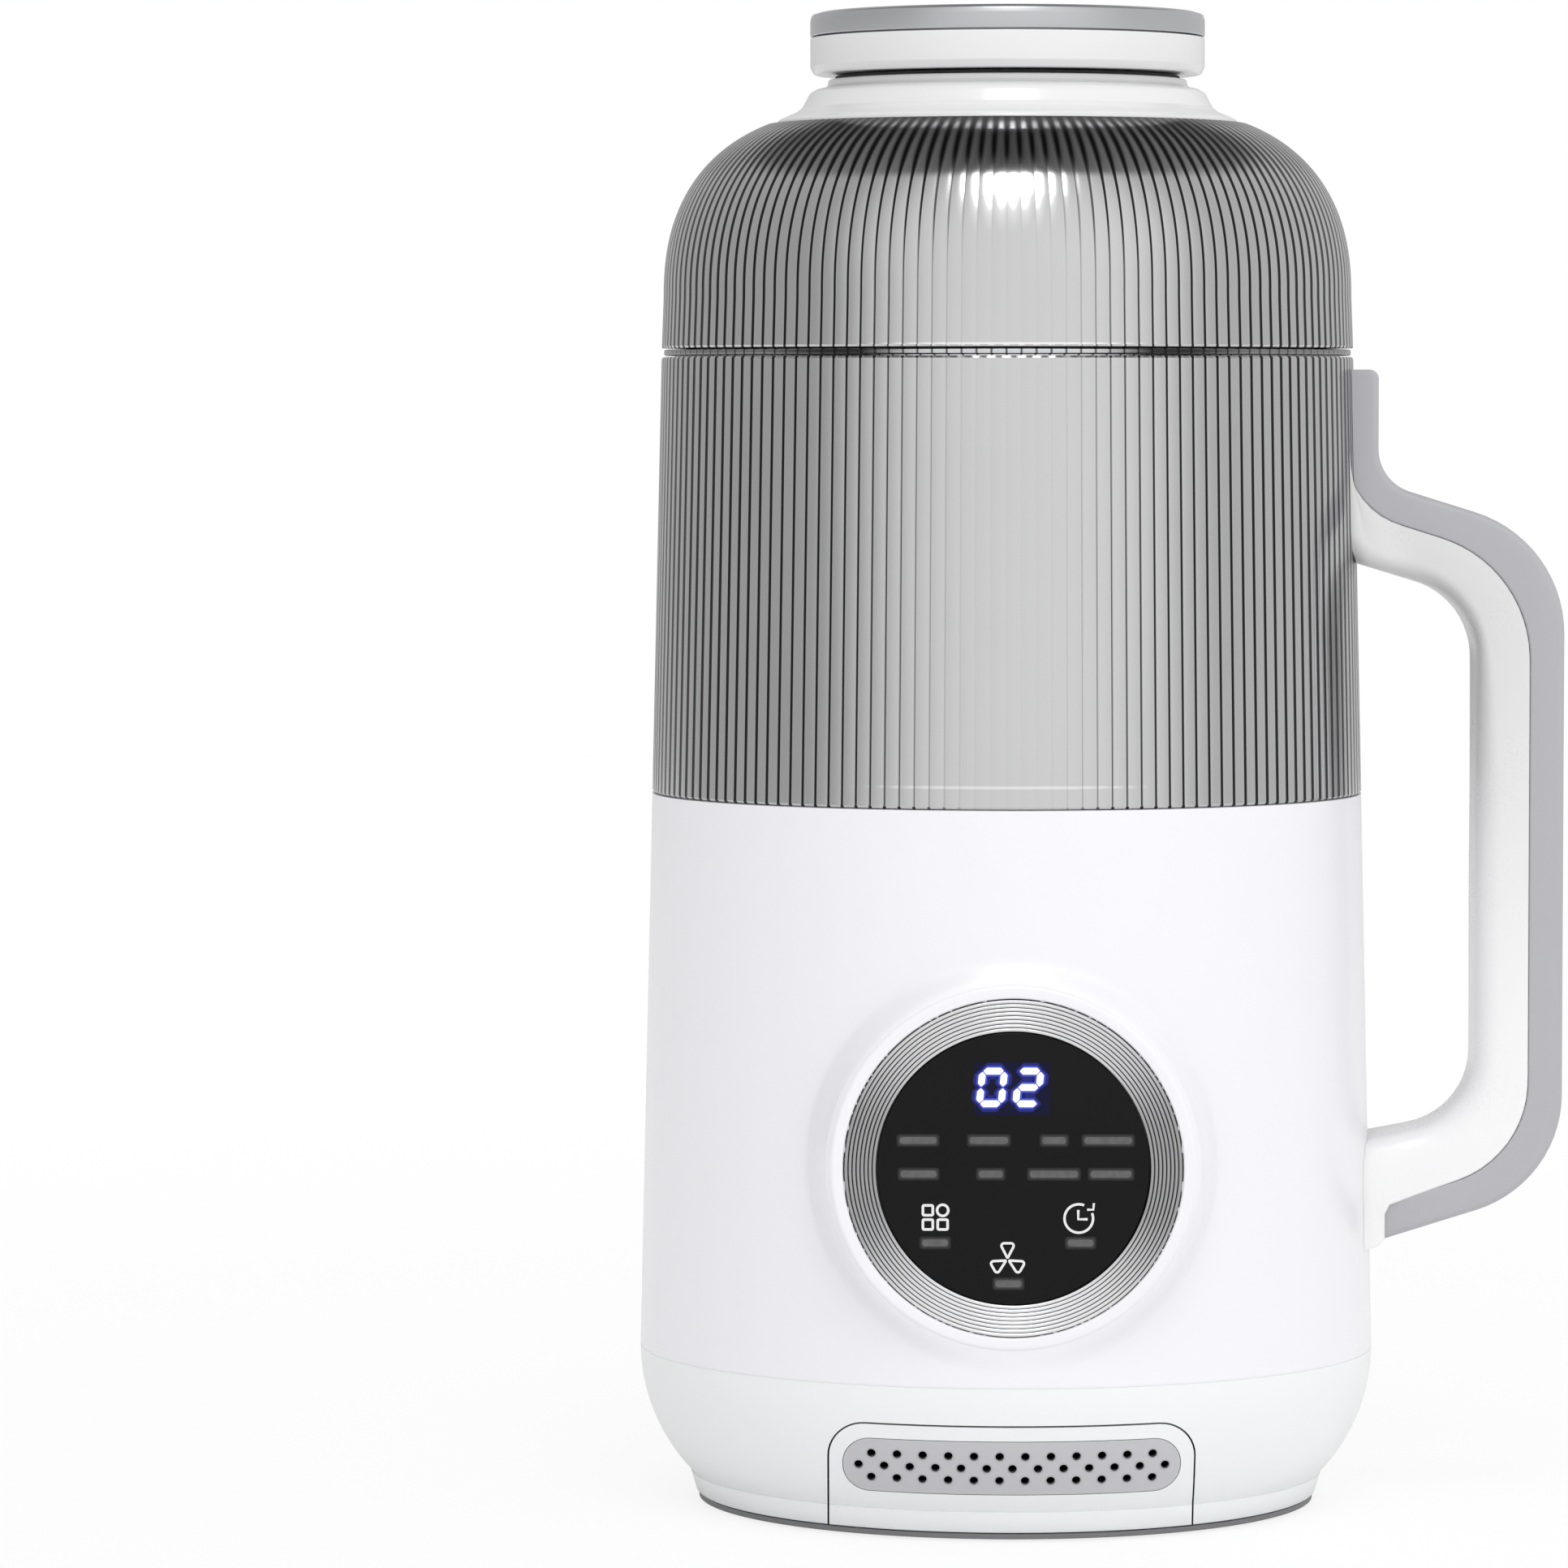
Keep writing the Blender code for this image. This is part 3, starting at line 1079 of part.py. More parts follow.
def blade(level, tip_shift):
    """A two-winged blade whose tips bend up or down, as a loft between cross-sections."""
    hub, tip = BLADE_HUB_RADIUS, BLADE_REACH
    bend = (hub + tip) / 2
    stations = [(-tip, BLADE_TIP_WIDTH, 1), (-bend, BLADE_WIDTH, BLADE_BEND_SHARE), (-hub, BLADE_WIDTH, 0)]
    stations += [(-x, width, share) for x, width, share in reversed(stations)]
    bm = bmesh.new()
    rings = []
    for x, width, share in stations:
        side = math.copysign(1, x)
        lead, trail = side * width / 2, -side * width / 2
        edge = lead - side * BLADE_EDGE
        low = level + tip_shift * share
        high = low + BLADE_THICKNESS
        outline = [(trail, low), (lead, low), (edge, high), (trail, high)]
        if side < 0:
            outline = [(lead, low), (trail, low), (trail, high), (edge, high)]
        rings.append([bm.verts.new((x, y, z)) for y, z in outline])
    loft(bm, rings)
    return bm


def loft(bm, rings):
    """Skins a row of cross-sections with the same number of points, and caps both ends."""
    for near, far in zip(rings, rings[1:]):
        for i, start in enumerate(near):
            j = (i + 1) % len(near)
            bm.faces.new((start, near[j], far[j], far[i]))
    bm.faces.new(rings[0])
    bm.faces.new(rings[-1])


def build_rotor(axle, paint):
    """Everything that spins: shaft, blades and nut above, rotor and fan below."""
    collar_bottom = SEAT_TOP
    foot = FAN_BOTTOM - SHAFT_FOOT
    profile = [
        (0, foot),
        (SHAFT_RADIUS, foot),
        (SHAFT_RADIUS, collar_bottom),
        (SHAFT_COLLAR_RADIUS, collar_bottom),
        (SHAFT_COLLAR_RADIUS, collar_bottom + SHAFT_COLLAR_HEIGHT),
        (SHAFT_RADIUS, collar_bottom + SHAFT_COLLAR_HEIGHT),
        (SHAFT_RADIUS, SHAFT_TOP),
        (0, SHAFT_TOP),
    ]
    to_object("drive_shaft", turned(profile, CORE_STEPS), axle, paint["steel"])
    shaft_bore = SHAFT_RADIUS + CLEAR
    bore = disc(shaft_bore, SEAT_TOP, SHAFT_TOP + OVERRUN)
    bore = tool("blade_bore", bore, axle)

    lower = to_object("lower_blade", blade(LOWER_BLADE_LEVEL, -BLADE_DROP), axle, paint["steel"])
    hub_top = LOWER_BLADE_LEVEL + BLADE_THICKNESS
    spacer_top = hub_top + BLADE_SPACER
    hub = [
        (0, LOWER_BLADE_LEVEL),
        (BLADE_HUB_RADIUS, LOWER_BLADE_LEVEL),
        (BLADE_HUB_RADIUS, hub_top),
        (BLADE_SPACER_RADIUS, hub_top),
        (BLADE_SPACER_RADIUS, spacer_top),
        (0, spacer_top),
    ]
    combine(lower, "UNION", tool("lower_hub", turned(hub, CORE_STEPS), axle))
    combine(lower, "DIFFERENCE", bore)
    upper = to_object("upper_blade", blade(UPPER_BLADE_LEVEL, BLADE_RISE), axle, paint["steel"])
    turn = math.radians(90)
    upper.rotation_euler.z = turn
    hub = disc(BLADE_HUB_RADIUS, UPPER_BLADE_LEVEL, UPPER_BLADE_LEVEL + BLADE_THICKNESS)
    combine(upper, "UNION", tool("upper_hub", hub, axle))
    combine(upper, "DIFFERENCE", bore)
    nut_top = SHAFT_TOP + CLEAR
    nut = [
        (shaft_bore, BLADE_NUT_BOTTOM),
        (BLADE_NUT_RADIUS, BLADE_NUT_BOTTOM),
        (BLADE_NUT_RADIUS, nut_top),
        (BLADE_NUT_RADIUS / 2, nut_top + BLADE_NUT_DOME),
        (0, nut_top + BLADE_NUT_DOME),
        (0, nut_top),
        (shaft_bore, nut_top),
    ]
    to_object("blade_nut", turned(nut, SCREW_STEPS), axle, paint["steel"])

    wall = (MOTOR_RADIUS - MOTOR_WALL - CLEAR) * math.cos(math.pi / CORE_STEPS)
    magnet_face = (wall - MAGNET_THICKNESS) * math.cos(math.radians(MAGNET_SPAN / MAGNET_STEPS / 2))
    rotor_radius = magnet_face - AIR_GAP
    commutator_bottom = MAGNET_BOTTOM - COMMUTATOR_HEIGHT
    profile = [
        (shaft_bore, commutator_bottom),
        (COMMUTATOR_RADIUS, commutator_bottom),
        (COMMUTATOR_RADIUS, MAGNET_BOTTOM),
        (rotor_radius, MAGNET_BOTTOM),
        (rotor_radius, MAGNET_TOP),
        (shaft_bore, MAGNET_TOP),
    ]
    rotor = to_object("motor_rotor", turned(profile, CORE_STEPS), axle, paint["copper"])
    half = ROTOR_SLOT_WIDTH / 2
    slots = []
    for number in range(ROTOR_SLOTS):
        low = (rotor_radius - ROTOR_SLOT_DEPTH, -half, MAGNET_BOTTOM - CLEAR)
        slot = block(low, (rotor_radius + OVERRUN, half, MAGNET_TOP + OVERRUN))
        turn = Matrix.Rotation(math.tau * number / ROTOR_SLOTS, 3, "Z")
        bmesh.ops.rotate(slot, verts=slot.verts, matrix=turn)
        slots.append(slot)
    combine(rotor, "DIFFERENCE", tool("rotor_slots", merge(*slots), axle))
    disc_top = FAN_BOTTOM + FAN_DISC
    profile = [
        (shaft_bore, FAN_BOTTOM),
        (FAN_RADIUS, FAN_BOTTOM),
        (FAN_RADIUS, disc_top),
        (FAN_HUB_RADIUS, disc_top),
        (FAN_HUB_RADIUS, FAN_TOP),
        (shaft_bore, FAN_TOP),
    ]
    fan = to_object("motor_fan", turned(profile, CORE_STEPS), axle, paint["dark"])
    half = FAN_BLADE_THICKNESS / 2
    low = (FAN_HUB_RADIUS - half, -half, disc_top - half)
    high = (FAN_RADIUS - half, half, FAN_TOP - half)
    vanes = []
    for number in range(FAN_BLADES):
        vane = block(low, high)
        turn = Matrix.Rotation(math.tau * number / FAN_BLADES, 3, "Z")
        bmesh.ops.rotate(vane, verts=vane.verts, matrix=turn)
        vanes.append(vane)
    combine(fan, "UNION", tool("fan_vanes", merge(*vanes), axle))


def dome_crown(radius):
    """The (radius, height) of the dome's outside where it reaches a radius near its crown."""
    start = body_radius(SLEEVE_TOP) - BAND_TAPER
    return shoulder(start, SHOULDER_RUN, SHOULDER_RISE, SHOULDER_LEVEL, radius, SHOULDER_STEPS)[-1]


def flute_valley(point):
    """The valley that belongs to a crest point on the dome's shoulder."""
    start = body_radius(SLEEVE_TOP) - BAND_TAPER - SHOULDER_RUN
    across = ((point[0] - start) / SHOULDER_RUN) ** (SHOULDER_POWER - 1)
    up = ((point[1] - SHOULDER_LEVEL) / SHOULDER_RISE) ** (SHOULDER_POWER - 1)
    normal = Vector((across, up)).normalized() * FLUTE_DEPTH
    return (point[0] - normal.x, point[1] - normal.y)


def collar_seat():
    """The height of the recess in the dome that the collar's foot lies in."""
    return dome_crown(COLLAR_RADIUS)[1] - COLLAR_SINK


def build_lid(lid, paint):
    """The fluted dome, the liner inside it, the gasket and the collar round the filling hole."""
    rim = body_radius(SLEEVE_TOP)
    band = rim - BAND_TAPER
    hole = COLLAR_NECK_RADIUS + CLEAR
    seat = collar_seat()
    crown = dome_crown(COLLAR_RADIUS)
    run, rise = SHOULDER_RUN, SHOULDER_RISE
    crests = shoulder(band, run, rise, SHOULDER_LEVEL, COLLAR_RADIUS, SHOULDER_STEPS)
    fluted = [[(rim, LID_RIM), (rim - FLUTE_DEPTH, LID_RIM)]]
    fluted += [[crest, flute_valley(crest)] for crest in crests[:-1]]
    fluted.append([(crown[0], crown[1])])
    wall = BODY_WALL
    inner_end = COLLAR_RADIUS + wall
    inside = shoulder(band - wall, run - wall, rise - wall, SHOULDER_LEVEL, inner_end, SHOULDER_STEPS)
    socket = COLLAR_RADIUS - COLLAR_SINK
    plain = [
        (socket, crown[1]),
        (socket, seat),
        (hole, seat),
        (hole, seat - wall),
        *reversed(inside),
        (rim - wall, LID_RIM),
    ]
    to_object("lid_dome", fluted_shell(fluted, plain), lid, paint["smoke"])

    flange = rim - wall - CLEAR
    shell = band - wall - LINER_SETBACK
    run = SHOULDER_RUN - wall - LINER_SETBACK
    lift = shoulder(shell, run, 1, 0, hole, LINER_STEPS)[-1][1]
    rise = (seat - wall - LINER_GAP - SHOULDER_LEVEL) / lift
    outside = shoulder(shell, run, rise, SHOULDER_LEVEL, hole, LINER_STEPS)
    skin = LINER_WALL
    inside = shoulder(shell - skin, run - skin, rise - skin, SHOULDER_LEVEL, hole, LINER_STEPS)
    profile = [
        (LINER_SKIRT_RADIUS - skin, LINER_BOTTOM),
        (LINER_SKIRT_RADIUS, LINER_BOTTOM),
        (LINER_SKIRT_RADIUS, LID_RIM),
        (flange, LID_RIM),
        (flange, LID_RIM + LINER_FLANGE),
        (shell, LID_RIM + LINER_FLANGE),
        *outside,
        *reversed(inside),
        (LINER_SKIRT_RADIUS - skin, LID_RIM),
    ]
    to_object("lid_liner", turned(profile), lid, paint["white"])
    top = GASKET_BOTTOM + GASKET_HEIGHT
    gasket = disc(GASKET_OUTER_RADIUS, GASKET_BOTTOM, top, BODY_STEPS, GASKET_INNER_RADIUS)
    to_object("lid_gasket", gasket, lid, paint["rubber"])

    foot = seat + CLEAR
    foot_radius = socket - CLEAR
    spread = foot_radius - COLLAR_RIM_RADIUS
    outline = [(COLLAR_RIM_RADIUS + spread * a, crown[1] + COLLAR_RISE * b) for a, b in COLLAR_SHARES]
    profile = [
        (COLLAR_NECK_RADIUS, foot),
        (foot_radius, foot),
        *outline,
        (COLLAR_BORE_RADIUS, crown[1] + COLLAR_RISE),
        (COLLAR_BORE_RADIUS, foot - COLLAR_NECK_DEPTH),
        (COLLAR_NECK_RADIUS, foot - COLLAR_NECK_DEPTH),
    ]
    to_object("lid_collar", turned(profile), lid, paint["white"])


def build_cap(cap, paint):
    """The cap's shell and disc, the plug below them, its seal and the gasket round it."""
    collar_top = dome_crown(COLLAR_RADIUS)[1] + COLLAR_RISE
    bottom = collar_top + CAP_GAP
    shell_top = bottom + CAP_SHELL_HEIGHT
    profile = [
        (0, bottom),
        (CAP_RADIUS - CAP_EDGE_ROUND, bottom),
        (CAP_RADIUS, bottom + CAP_EDGE_ROUND),
        (CAP_RADIUS, shell_top),
        (CAP_RADIUS - CAP_WALL, shell_top),
        (CAP_RADIUS - CAP_WALL, bottom + CAP_WALL),
        (0, bottom + CAP_WALL),
    ]
    to_object("cap_shell", turned(profile), cap, paint["white"])
    disc_bottom = shell_top + CLEAR
    top = disc_bottom + CAP_DISC_HEIGHT
    spigot = CAP_RADIUS - CAP_WALL - CLEAR
    profile = [
        (spigot - CAP_WALL, shell_top - CAP_DISC_SPIGOT),
        (spigot, shell_top - CAP_DISC_SPIGOT),
        (spigot, disc_bottom),
        (CAP_RADIUS, disc_bottom),
        (CAP_RADIUS, top - CAP_DISC_ROUND),
        (CAP_RADIUS - 2 * CAP_DISC_ROUND, top),
        (0, top),
        (0, top - CAP_WALL),
        (spigot - CAP_WALL, top - CAP_WALL),
    ]
    to_object("cap_disc", turned(profile), cap, paint["grey"])
    plug_top = bottom - CLEAR
    plug_bottom = plug_top - PLUG_DEPTH
    groove_top = plug_top - PLUG_GROOVE_DROP
    groove_bottom = groove_top - PLUG_GROOVE_HEIGHT
    groove_radius = PLUG_RADIUS - PLUG_GROOVE_DEPTH
    profile = [
        (0, plug_top - PLUG_WALL),
        (groove_radius - PLUG_WALL, plug_top - PLUG_WALL),
        (groove_radius - PLUG_WALL, plug_bottom),
        (PLUG_RADIUS, plug_bottom),
        (PLUG_RADIUS, groove_bottom),
        (groove_radius, groove_bottom),
        (groove_radius, groove_top),
        (PLUG_RADIUS, groove_top),
        (PLUG_RADIUS, plug_top),
        (0, plug_top),
    ]
    to_object("cap_plug", turned(profile), cap, paint["white"])
    seal_radius = COLLAR_BORE_RADIUS - CLEAR
    seal_bore = groove_radius + CLEAR
    seal = disc(seal_radius, groove_bottom + CLEAR, groove_top - CLEAR, BODY_STEPS, seal_bore)
    to_object("cap_seal", seal, cap, paint["rubber"])
    outer = COLLAR_RIM_RADIUS - CLEAR
    gasket = disc(outer, collar_top + CLEAR, bottom - CLEAR, BODY_STEPS, outer - CAP_GASKET_WIDTH)
    to_object("cap_gasket", gasket, cap, paint["rubber"])


def bend_lengths(corners, bends):
    """How much of the path each bend takes up beside its corner, limited by the straight parts."""
    spots = [Vector(corner) for corner in corners]
    halves = [(a - b).angle(c - b) / 2 for a, b, c in zip(spots, spots[1:], spots[2:])]
    wanted = [0, *[radius / math.tan(half) for radius, half in zip(bends, halves)], 0]
    spans = [(after - before).length for before, after in zip(spots, spots[1:])]
    rooms = [span / max(first + second, span) for span, first, second in zip(spans, wanted, wanted[1:])]
    limited = [want * min(pair) for want, pair in zip(wanted[1:-1], zip(rooms, rooms[1:]))]
    return list(zip(limited, halves))


def rounded_path(corners, bends, steps=HANDLE_BEND_STEPS):
    """A path through corners whose inner corners are arcs of the given radii."""
    points = [tuple(corners[0])]
    sizes = bend_lengths(corners, bends)
    for before, corner, after, (length, half) in zip(corners, corners[1:], corners[2:], sizes):
        corner = Vector(corner)
        back = (Vector(before) - corner).normalized()
        ahead = (Vector(after) - corner).normalized()
        radius = length * math.tan(half)
        centre = corner + (back + ahead).normalized() * radius / math.sin(half)
        begin = corner + back * length - centre
        end = corner + ahead * length - centre
        start = math.degrees(math.atan2(begin.y, begin.x))
        sweep = math.degrees(math.atan2(begin.cross(end), begin.dot(end)))
        points += arc(centre, radius, start, start + sweep, steps)
    return points + [tuple(corners[-1])]


def moved_in(corners, distance):
    """The corners of a path that runs beside another one, to its right by a distance."""
    points = [Vector(corner) for corner in corners]
    ways = [(after - before).normalized() for before, after in zip(points, points[1:])]
    sides = [Vector((way.y, -way.x)) for way in ways]
    moved = [points[0] + sides[0] * distance]
    for point, first, second in zip(points[1:], sides, sides[1:]):
        moved.append(point + (first + second) * distance / (1 + first.dot(second)))
    return moved + [points[-1] + sides[-1] * distance]


def at_x(first, second, x):
    """The point at a given x on the line through two points."""
    share = (x - first[0]) / (second[0] - first[0])
    return (x, first[1] + (second[1] - first[1]) * share)


def section(outer, inner, half_width, outer_round, inner_round):
    """A rounded rectangle across the handle, from its inner curve to its outer curve."""
    way = Vector(outer) - Vector(inner)
    length = way.length
    way.normalize()
    corners = ((length, 1, outer_round, 0), (0, 1, inner_round, 90))
    corners += ((0, -1, inner_round, 180), (length, -1, outer_round, 270))
    points = []
    for along, side, radius, start in corners:
        inset = radius if along == 0 else -radius
        centre = (along + inset, side * (half_width - radius))
        points += arc(centre, radius, start, start + 90, HANDLE_ROUND_STEPS)
    places = [Vector(inner) + way * along for along, _ in points]
    return [(place.x, across, place.y) for place, (_, across) in zip(places, points)]


def lofted(pairs, widths, outer_round, inner_round):
    """A bar lofted through sections between pairs of outer and inner points."""
    bm = bmesh.new()
    rings = []
    for (outer, inner), half_width in zip(pairs, widths):
        points = section(outer, inner, half_width, outer_round, inner_round)
        rings.append([bm.verts.new(point) for point in points])
    loft(bm, rings)
    return bm


def spread_width(x):
    """Half the handle's width at a distance from the axis: it flares where it meets the body."""
    share = 1 - (x - BODY_RIM_RADIUS) / HANDLE_FLARE_LENGTH
    return HANDLE_HALF_WIDTH + HANDLE_FLARE * min(max(share, 0), 1) ** 2


def build_handle(frame, paint):
    """The white handle shell, its grey outer cover and the two screws from inside."""
    tab = body_radius(HANDLE_TOP) + HANDLE_TAB
    tab_end = HANDLE_TOP - HANDLE_TAB_LENGTH
    foot_level = HOUSING_BOTTOM + HANDLE_FOOT_RISE
    foot = body_radius(foot_level) + COVER_END
    upper = (HANDLE_REACH, tab_end - (HANDLE_REACH - tab) * HANDLE_SLOPE)
    lower = (HANDLE_REACH, foot_level + (HANDLE_REACH - foot) * HANDLE_SLOPE)
    outer = [(tab, HANDLE_TOP), (tab, tab_end), upper, lower, (foot, foot_level)]

    def beside(distance):
        bends = (HANDLE_TAB_BEND + distance, HANDLE_UPPER_BEND - distance, HANDLE_LOWER_BEND - distance)
        return rounded_path(moved_in(outer, distance), bends)

    edge = HANDLE_TAB_ROUND
    corner = arc((tab - edge, HANDLE_TOP - edge), edge, 90, 0, HANDLE_ROUND_STEPS)
    back = tab - COVER_THICKNESS
    pairs = [(point, (back, point[1])) for point in corner]
    pairs += list(zip(beside(0), beside(COVER_THICKNESS)))[1:]
    pairs[-1] = [at_x(pairs[-2][side], pairs[-1][side], foot + CLEAR) for side in (0, 1)]
    widths = [HANDLE_HALF_WIDTH] * len(pairs)
    bm = lofted(pairs, widths, HANDLE_OUTER_ROUND, HANDLE_SEAM_ROUND)
    centre = (tab, 0, HANDLE_TOP)
    cover = to_object("handle_cover", bm, frame, paint["grey"], centre)

    grip = HANDLE_REACH - HANDLE_THICKNESS
    grip_top = HANDLE_TOP - GRIP_TOP_DROP
    grip_bottom = grip_top - GRIP_HEIGHT
    root = BODY_RIM_RADIUS - HANDLE_ROOT
    inner_corners = [
        (root, grip_top + (grip - root) * GRIP_UPPER_SLOPE),
        (grip, grip_top),
        (grip, grip_bottom),
        (root, grip_bottom - (grip - root) * GRIP_LOWER_SLOPE),
    ]
    inner = rounded_path(inner_corners, (GRIP_UPPER_BEND, GRIP_LOWER_BEND))
    shell_outer = beside(COVER_THICKNESS + CLEAR)[1:]
    bend_points = HANDLE_BEND_STEPS + 1
    pairs = [(point, at_x(inner[0], inner[1], point[0])) for point in shell_outer[:bend_points]]
    pairs += list(zip(shell_outer[bend_points:-1], inner[1:-1]))
    seam_end = at_x(shell_outer[-2], shell_outer[-1], foot)
    flare_end = (seam_end, at_x(inner[-2], inner[-1], foot + HANDLE_FLARE))
    last = pairs[-1]
    for share in FLARE_SHARES:
        pairs.append([tuple(Vector(a).lerp(Vector(b), share)) for a, b in zip(last, flare_end)])
    pairs.append((seam_end, at_x(inner[-2], inner[-1], foot + HANDLE_FLARE / 2)))
    for x in (foot, root):
        pairs.append((at_x(lower, outer[-1], x), at_x(inner[-2], inner[-1], x)))
    widths = [spread_width((a[0] + b[0]) / 2) for a, b in pairs]
    bm = lofted(pairs, widths, HANDLE_SEAM_ROUND, HANDLE_INNER_ROUND)
    shell = to_object("handle_shell", bm, frame, paint["white"], (grip, 0, grip_top))

    low, high = HOUSING_BOTTOM, SLEEVE_TOP
    body = [(0, low), (body_radius(low) + CLEAR, low), (body_radius(high) + CLEAR, high), (0, high)]
    body = tool("handle_clearance", turned(body, 2 * BODY_STEPS), frame)
    combine(cover, "DIFFERENCE", body)
    combine(shell, "DIFFERENCE", body)
    bores = []
    for name, level in (("upper", UPPER_SCREW_LEVEL), ("lower", LOWER_SCREW_LEVEL)):
        flat = (inner_radius(level) - CLEAR) * math.cos(math.pi / BODY_STEPS)
        begin = flat - HANDLE_SCREW_HEAD_HEIGHT
        head_radius, shank_radius = HANDLE_SCREW_HEAD_RADIUS, HANDLE_SCREW_SHANK_RADIUS
        fastener = screw(head_radius, HANDLE_SCREW_HEAD_HEIGHT, shank_radius, HANDLE_SCREW_LENGTH)
        bmesh.ops.translate(fastener, verts=fastener.verts, vec=(0, 0, begin))
        place = (begin, 0, level)
        to_object(f"handle_screw_{name}", along_x(fastener, level), frame, paint["steel"], place)
        reach = begin + HANDLE_SCREW_LENGTH + CLEAR
        bores.append(along_x(disc(shank_radius + CLEAR, root, reach, SCREW_STEPS), level))
    combine(shell, "DIFFERENCE", tool("handle_bores", merge(*bores), frame))


def main():
    clear_scene()
    paint = {
        "white": make_material("white plastic", (0.82, 0.82, 0.83), 0.32),
        "grey": make_material("grey plastic", (0.42, 0.42, 0.44), 0.4),
        "dark": make_material("dark plastic", (0.03, 0.03, 0.035), 0.5),
        "rubber": make_material("rubber", (0.05, 0.05, 0.05), 0.8),
        "steel": make_material("steel", (0.6, 0.6, 0.6), 0.28, 1),
        "brass": make_material("brass", (0.75, 0.55, 0.25), 0.3, 1),
        "copper": make_material("copper", (0.72, 0.35, 0.2), 0.4, 1),
        "board": make_material("circuit board", (0.03, 0.2, 0.08), 0.5),
        "glass": make_material("black glass", (0.01, 0.01, 0.012), 0.06),
        "smoke": make_material("smoked plastic", (0.35, 0.35, 0.37), 0.15, 0, 0.6),
    }
    frame = empty_at("upright_axis", (AXIS_X, 0, 0))
    build_base_plate(frame, paint)
    skirt = build_skirt(frame, paint)
    build_vent(frame, paint, skirt)
    build_housing(frame, paint)
    build_panel(frame, paint)
    build_inlet(frame, paint)
    build_power_board(frame, paint)
    build_sleeve(frame, paint)
    build_deck(frame, paint)
    build_pot(frame, paint)
    build_blade_seat(frame, paint)
    build_motor(frame, paint)
    build_handle(frame, paint)
    build_rotor(empty_at("blade_axis", (0, 0, 0), frame), paint)
    lid = empty_at("lid_axis", (0, 0, 0), frame)
    build_lid(lid, paint)
    build_cap(empty_at("cap_axis", (0, 0, 0), lid), paint)


main()
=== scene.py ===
"""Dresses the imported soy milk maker: smooth shells, fluted smoked plastic, brushed steel and a lit panel.

Every piece is placed in the frame's own coordinates, in metres, and rides on the body that carries it.
The body of the appliance turns about an upright axis at AXIS_X, its front faces -Y and its handle +X.
"""

import logging
import math
from collections.abc import Callable, Sequence
from dataclasses import dataclass, field
from enum import Enum
from typing import Any

import bmesh
import bpy
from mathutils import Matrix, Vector


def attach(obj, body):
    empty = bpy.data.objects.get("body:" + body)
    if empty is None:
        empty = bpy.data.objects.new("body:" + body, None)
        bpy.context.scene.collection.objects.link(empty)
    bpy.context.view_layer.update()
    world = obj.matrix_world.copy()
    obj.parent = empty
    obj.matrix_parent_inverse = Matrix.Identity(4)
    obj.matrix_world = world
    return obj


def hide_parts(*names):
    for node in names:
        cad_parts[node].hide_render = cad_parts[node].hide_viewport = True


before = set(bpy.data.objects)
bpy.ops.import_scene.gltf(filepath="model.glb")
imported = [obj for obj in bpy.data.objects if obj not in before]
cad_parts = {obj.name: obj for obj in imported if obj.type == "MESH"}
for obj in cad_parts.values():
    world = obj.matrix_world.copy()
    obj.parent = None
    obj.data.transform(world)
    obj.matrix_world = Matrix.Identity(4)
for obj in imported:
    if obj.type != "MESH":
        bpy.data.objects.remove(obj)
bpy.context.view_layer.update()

logging.basicConfig(level=logging.INFO, format="%(message)s")
LOG = logging.getLogger("soy_milk_maker")

Flat = tuple[float, float]
Spot = tuple[float, float, float]
Colour = tuple[float, float, float]

# What several pieces share: lengths in metres where MM is named and else in millimetres, angles in degrees
MM = 0.001
AXIS_X = -19.45 * MM
BODY_RADIUS = 73.9
BODY_TAPER = 4.4
TAPER_START = 31.4
TAPER_HEIGHT = 199.1
SLEEVE_TOP = 230.5
WALL = 2.4
PANEL_LEVEL = 74.2
PANEL_FACE = 74.85
GLASS_SINK = 0.2
INLET_LEVEL = 49.7
REEDS = 150
REED_CUTS = (-1.0, -0.6, -0.2, 0.2, 0.6)
REED_DEPTH = 0.06
SHARP = 35
REED_SHARP = 6
CUT_SHARP = 30
SUNK = 0.01
PROUD = 0.05

# Points closer than this are one
WELD = 0.0005 * MM
# A shorter length counts as none
SHORTEST = 1e-6
# A corner stays as it is when half its angle is this close to straight or to folded, in radians
FLATTEST = 0.02
# A round takes at most this share of the edge beside it
LONGEST = 0.48
# How far the handle stays off the body, in millimetres
CLEAR = 0.02


class Part(Enum):
    """The CAD bodies that pieces ride on."""

    BASE = "base"
    LID = "lid"
    CAP = "cap"
    ROTOR = "rotor"


class Way(Enum):
    """The direction in which a metal is brushed or turned."""

    AROUND = "around the upright axis"
    FLAT = "along X"


def body_radius(height: float) -> float:
    """The body's outer radius at a height, in millimetres."""
    share = max((height - TAPER_START) / TAPER_HEIGHT, 0.0)
    return BODY_RADIUS - BODY_TAPER * share


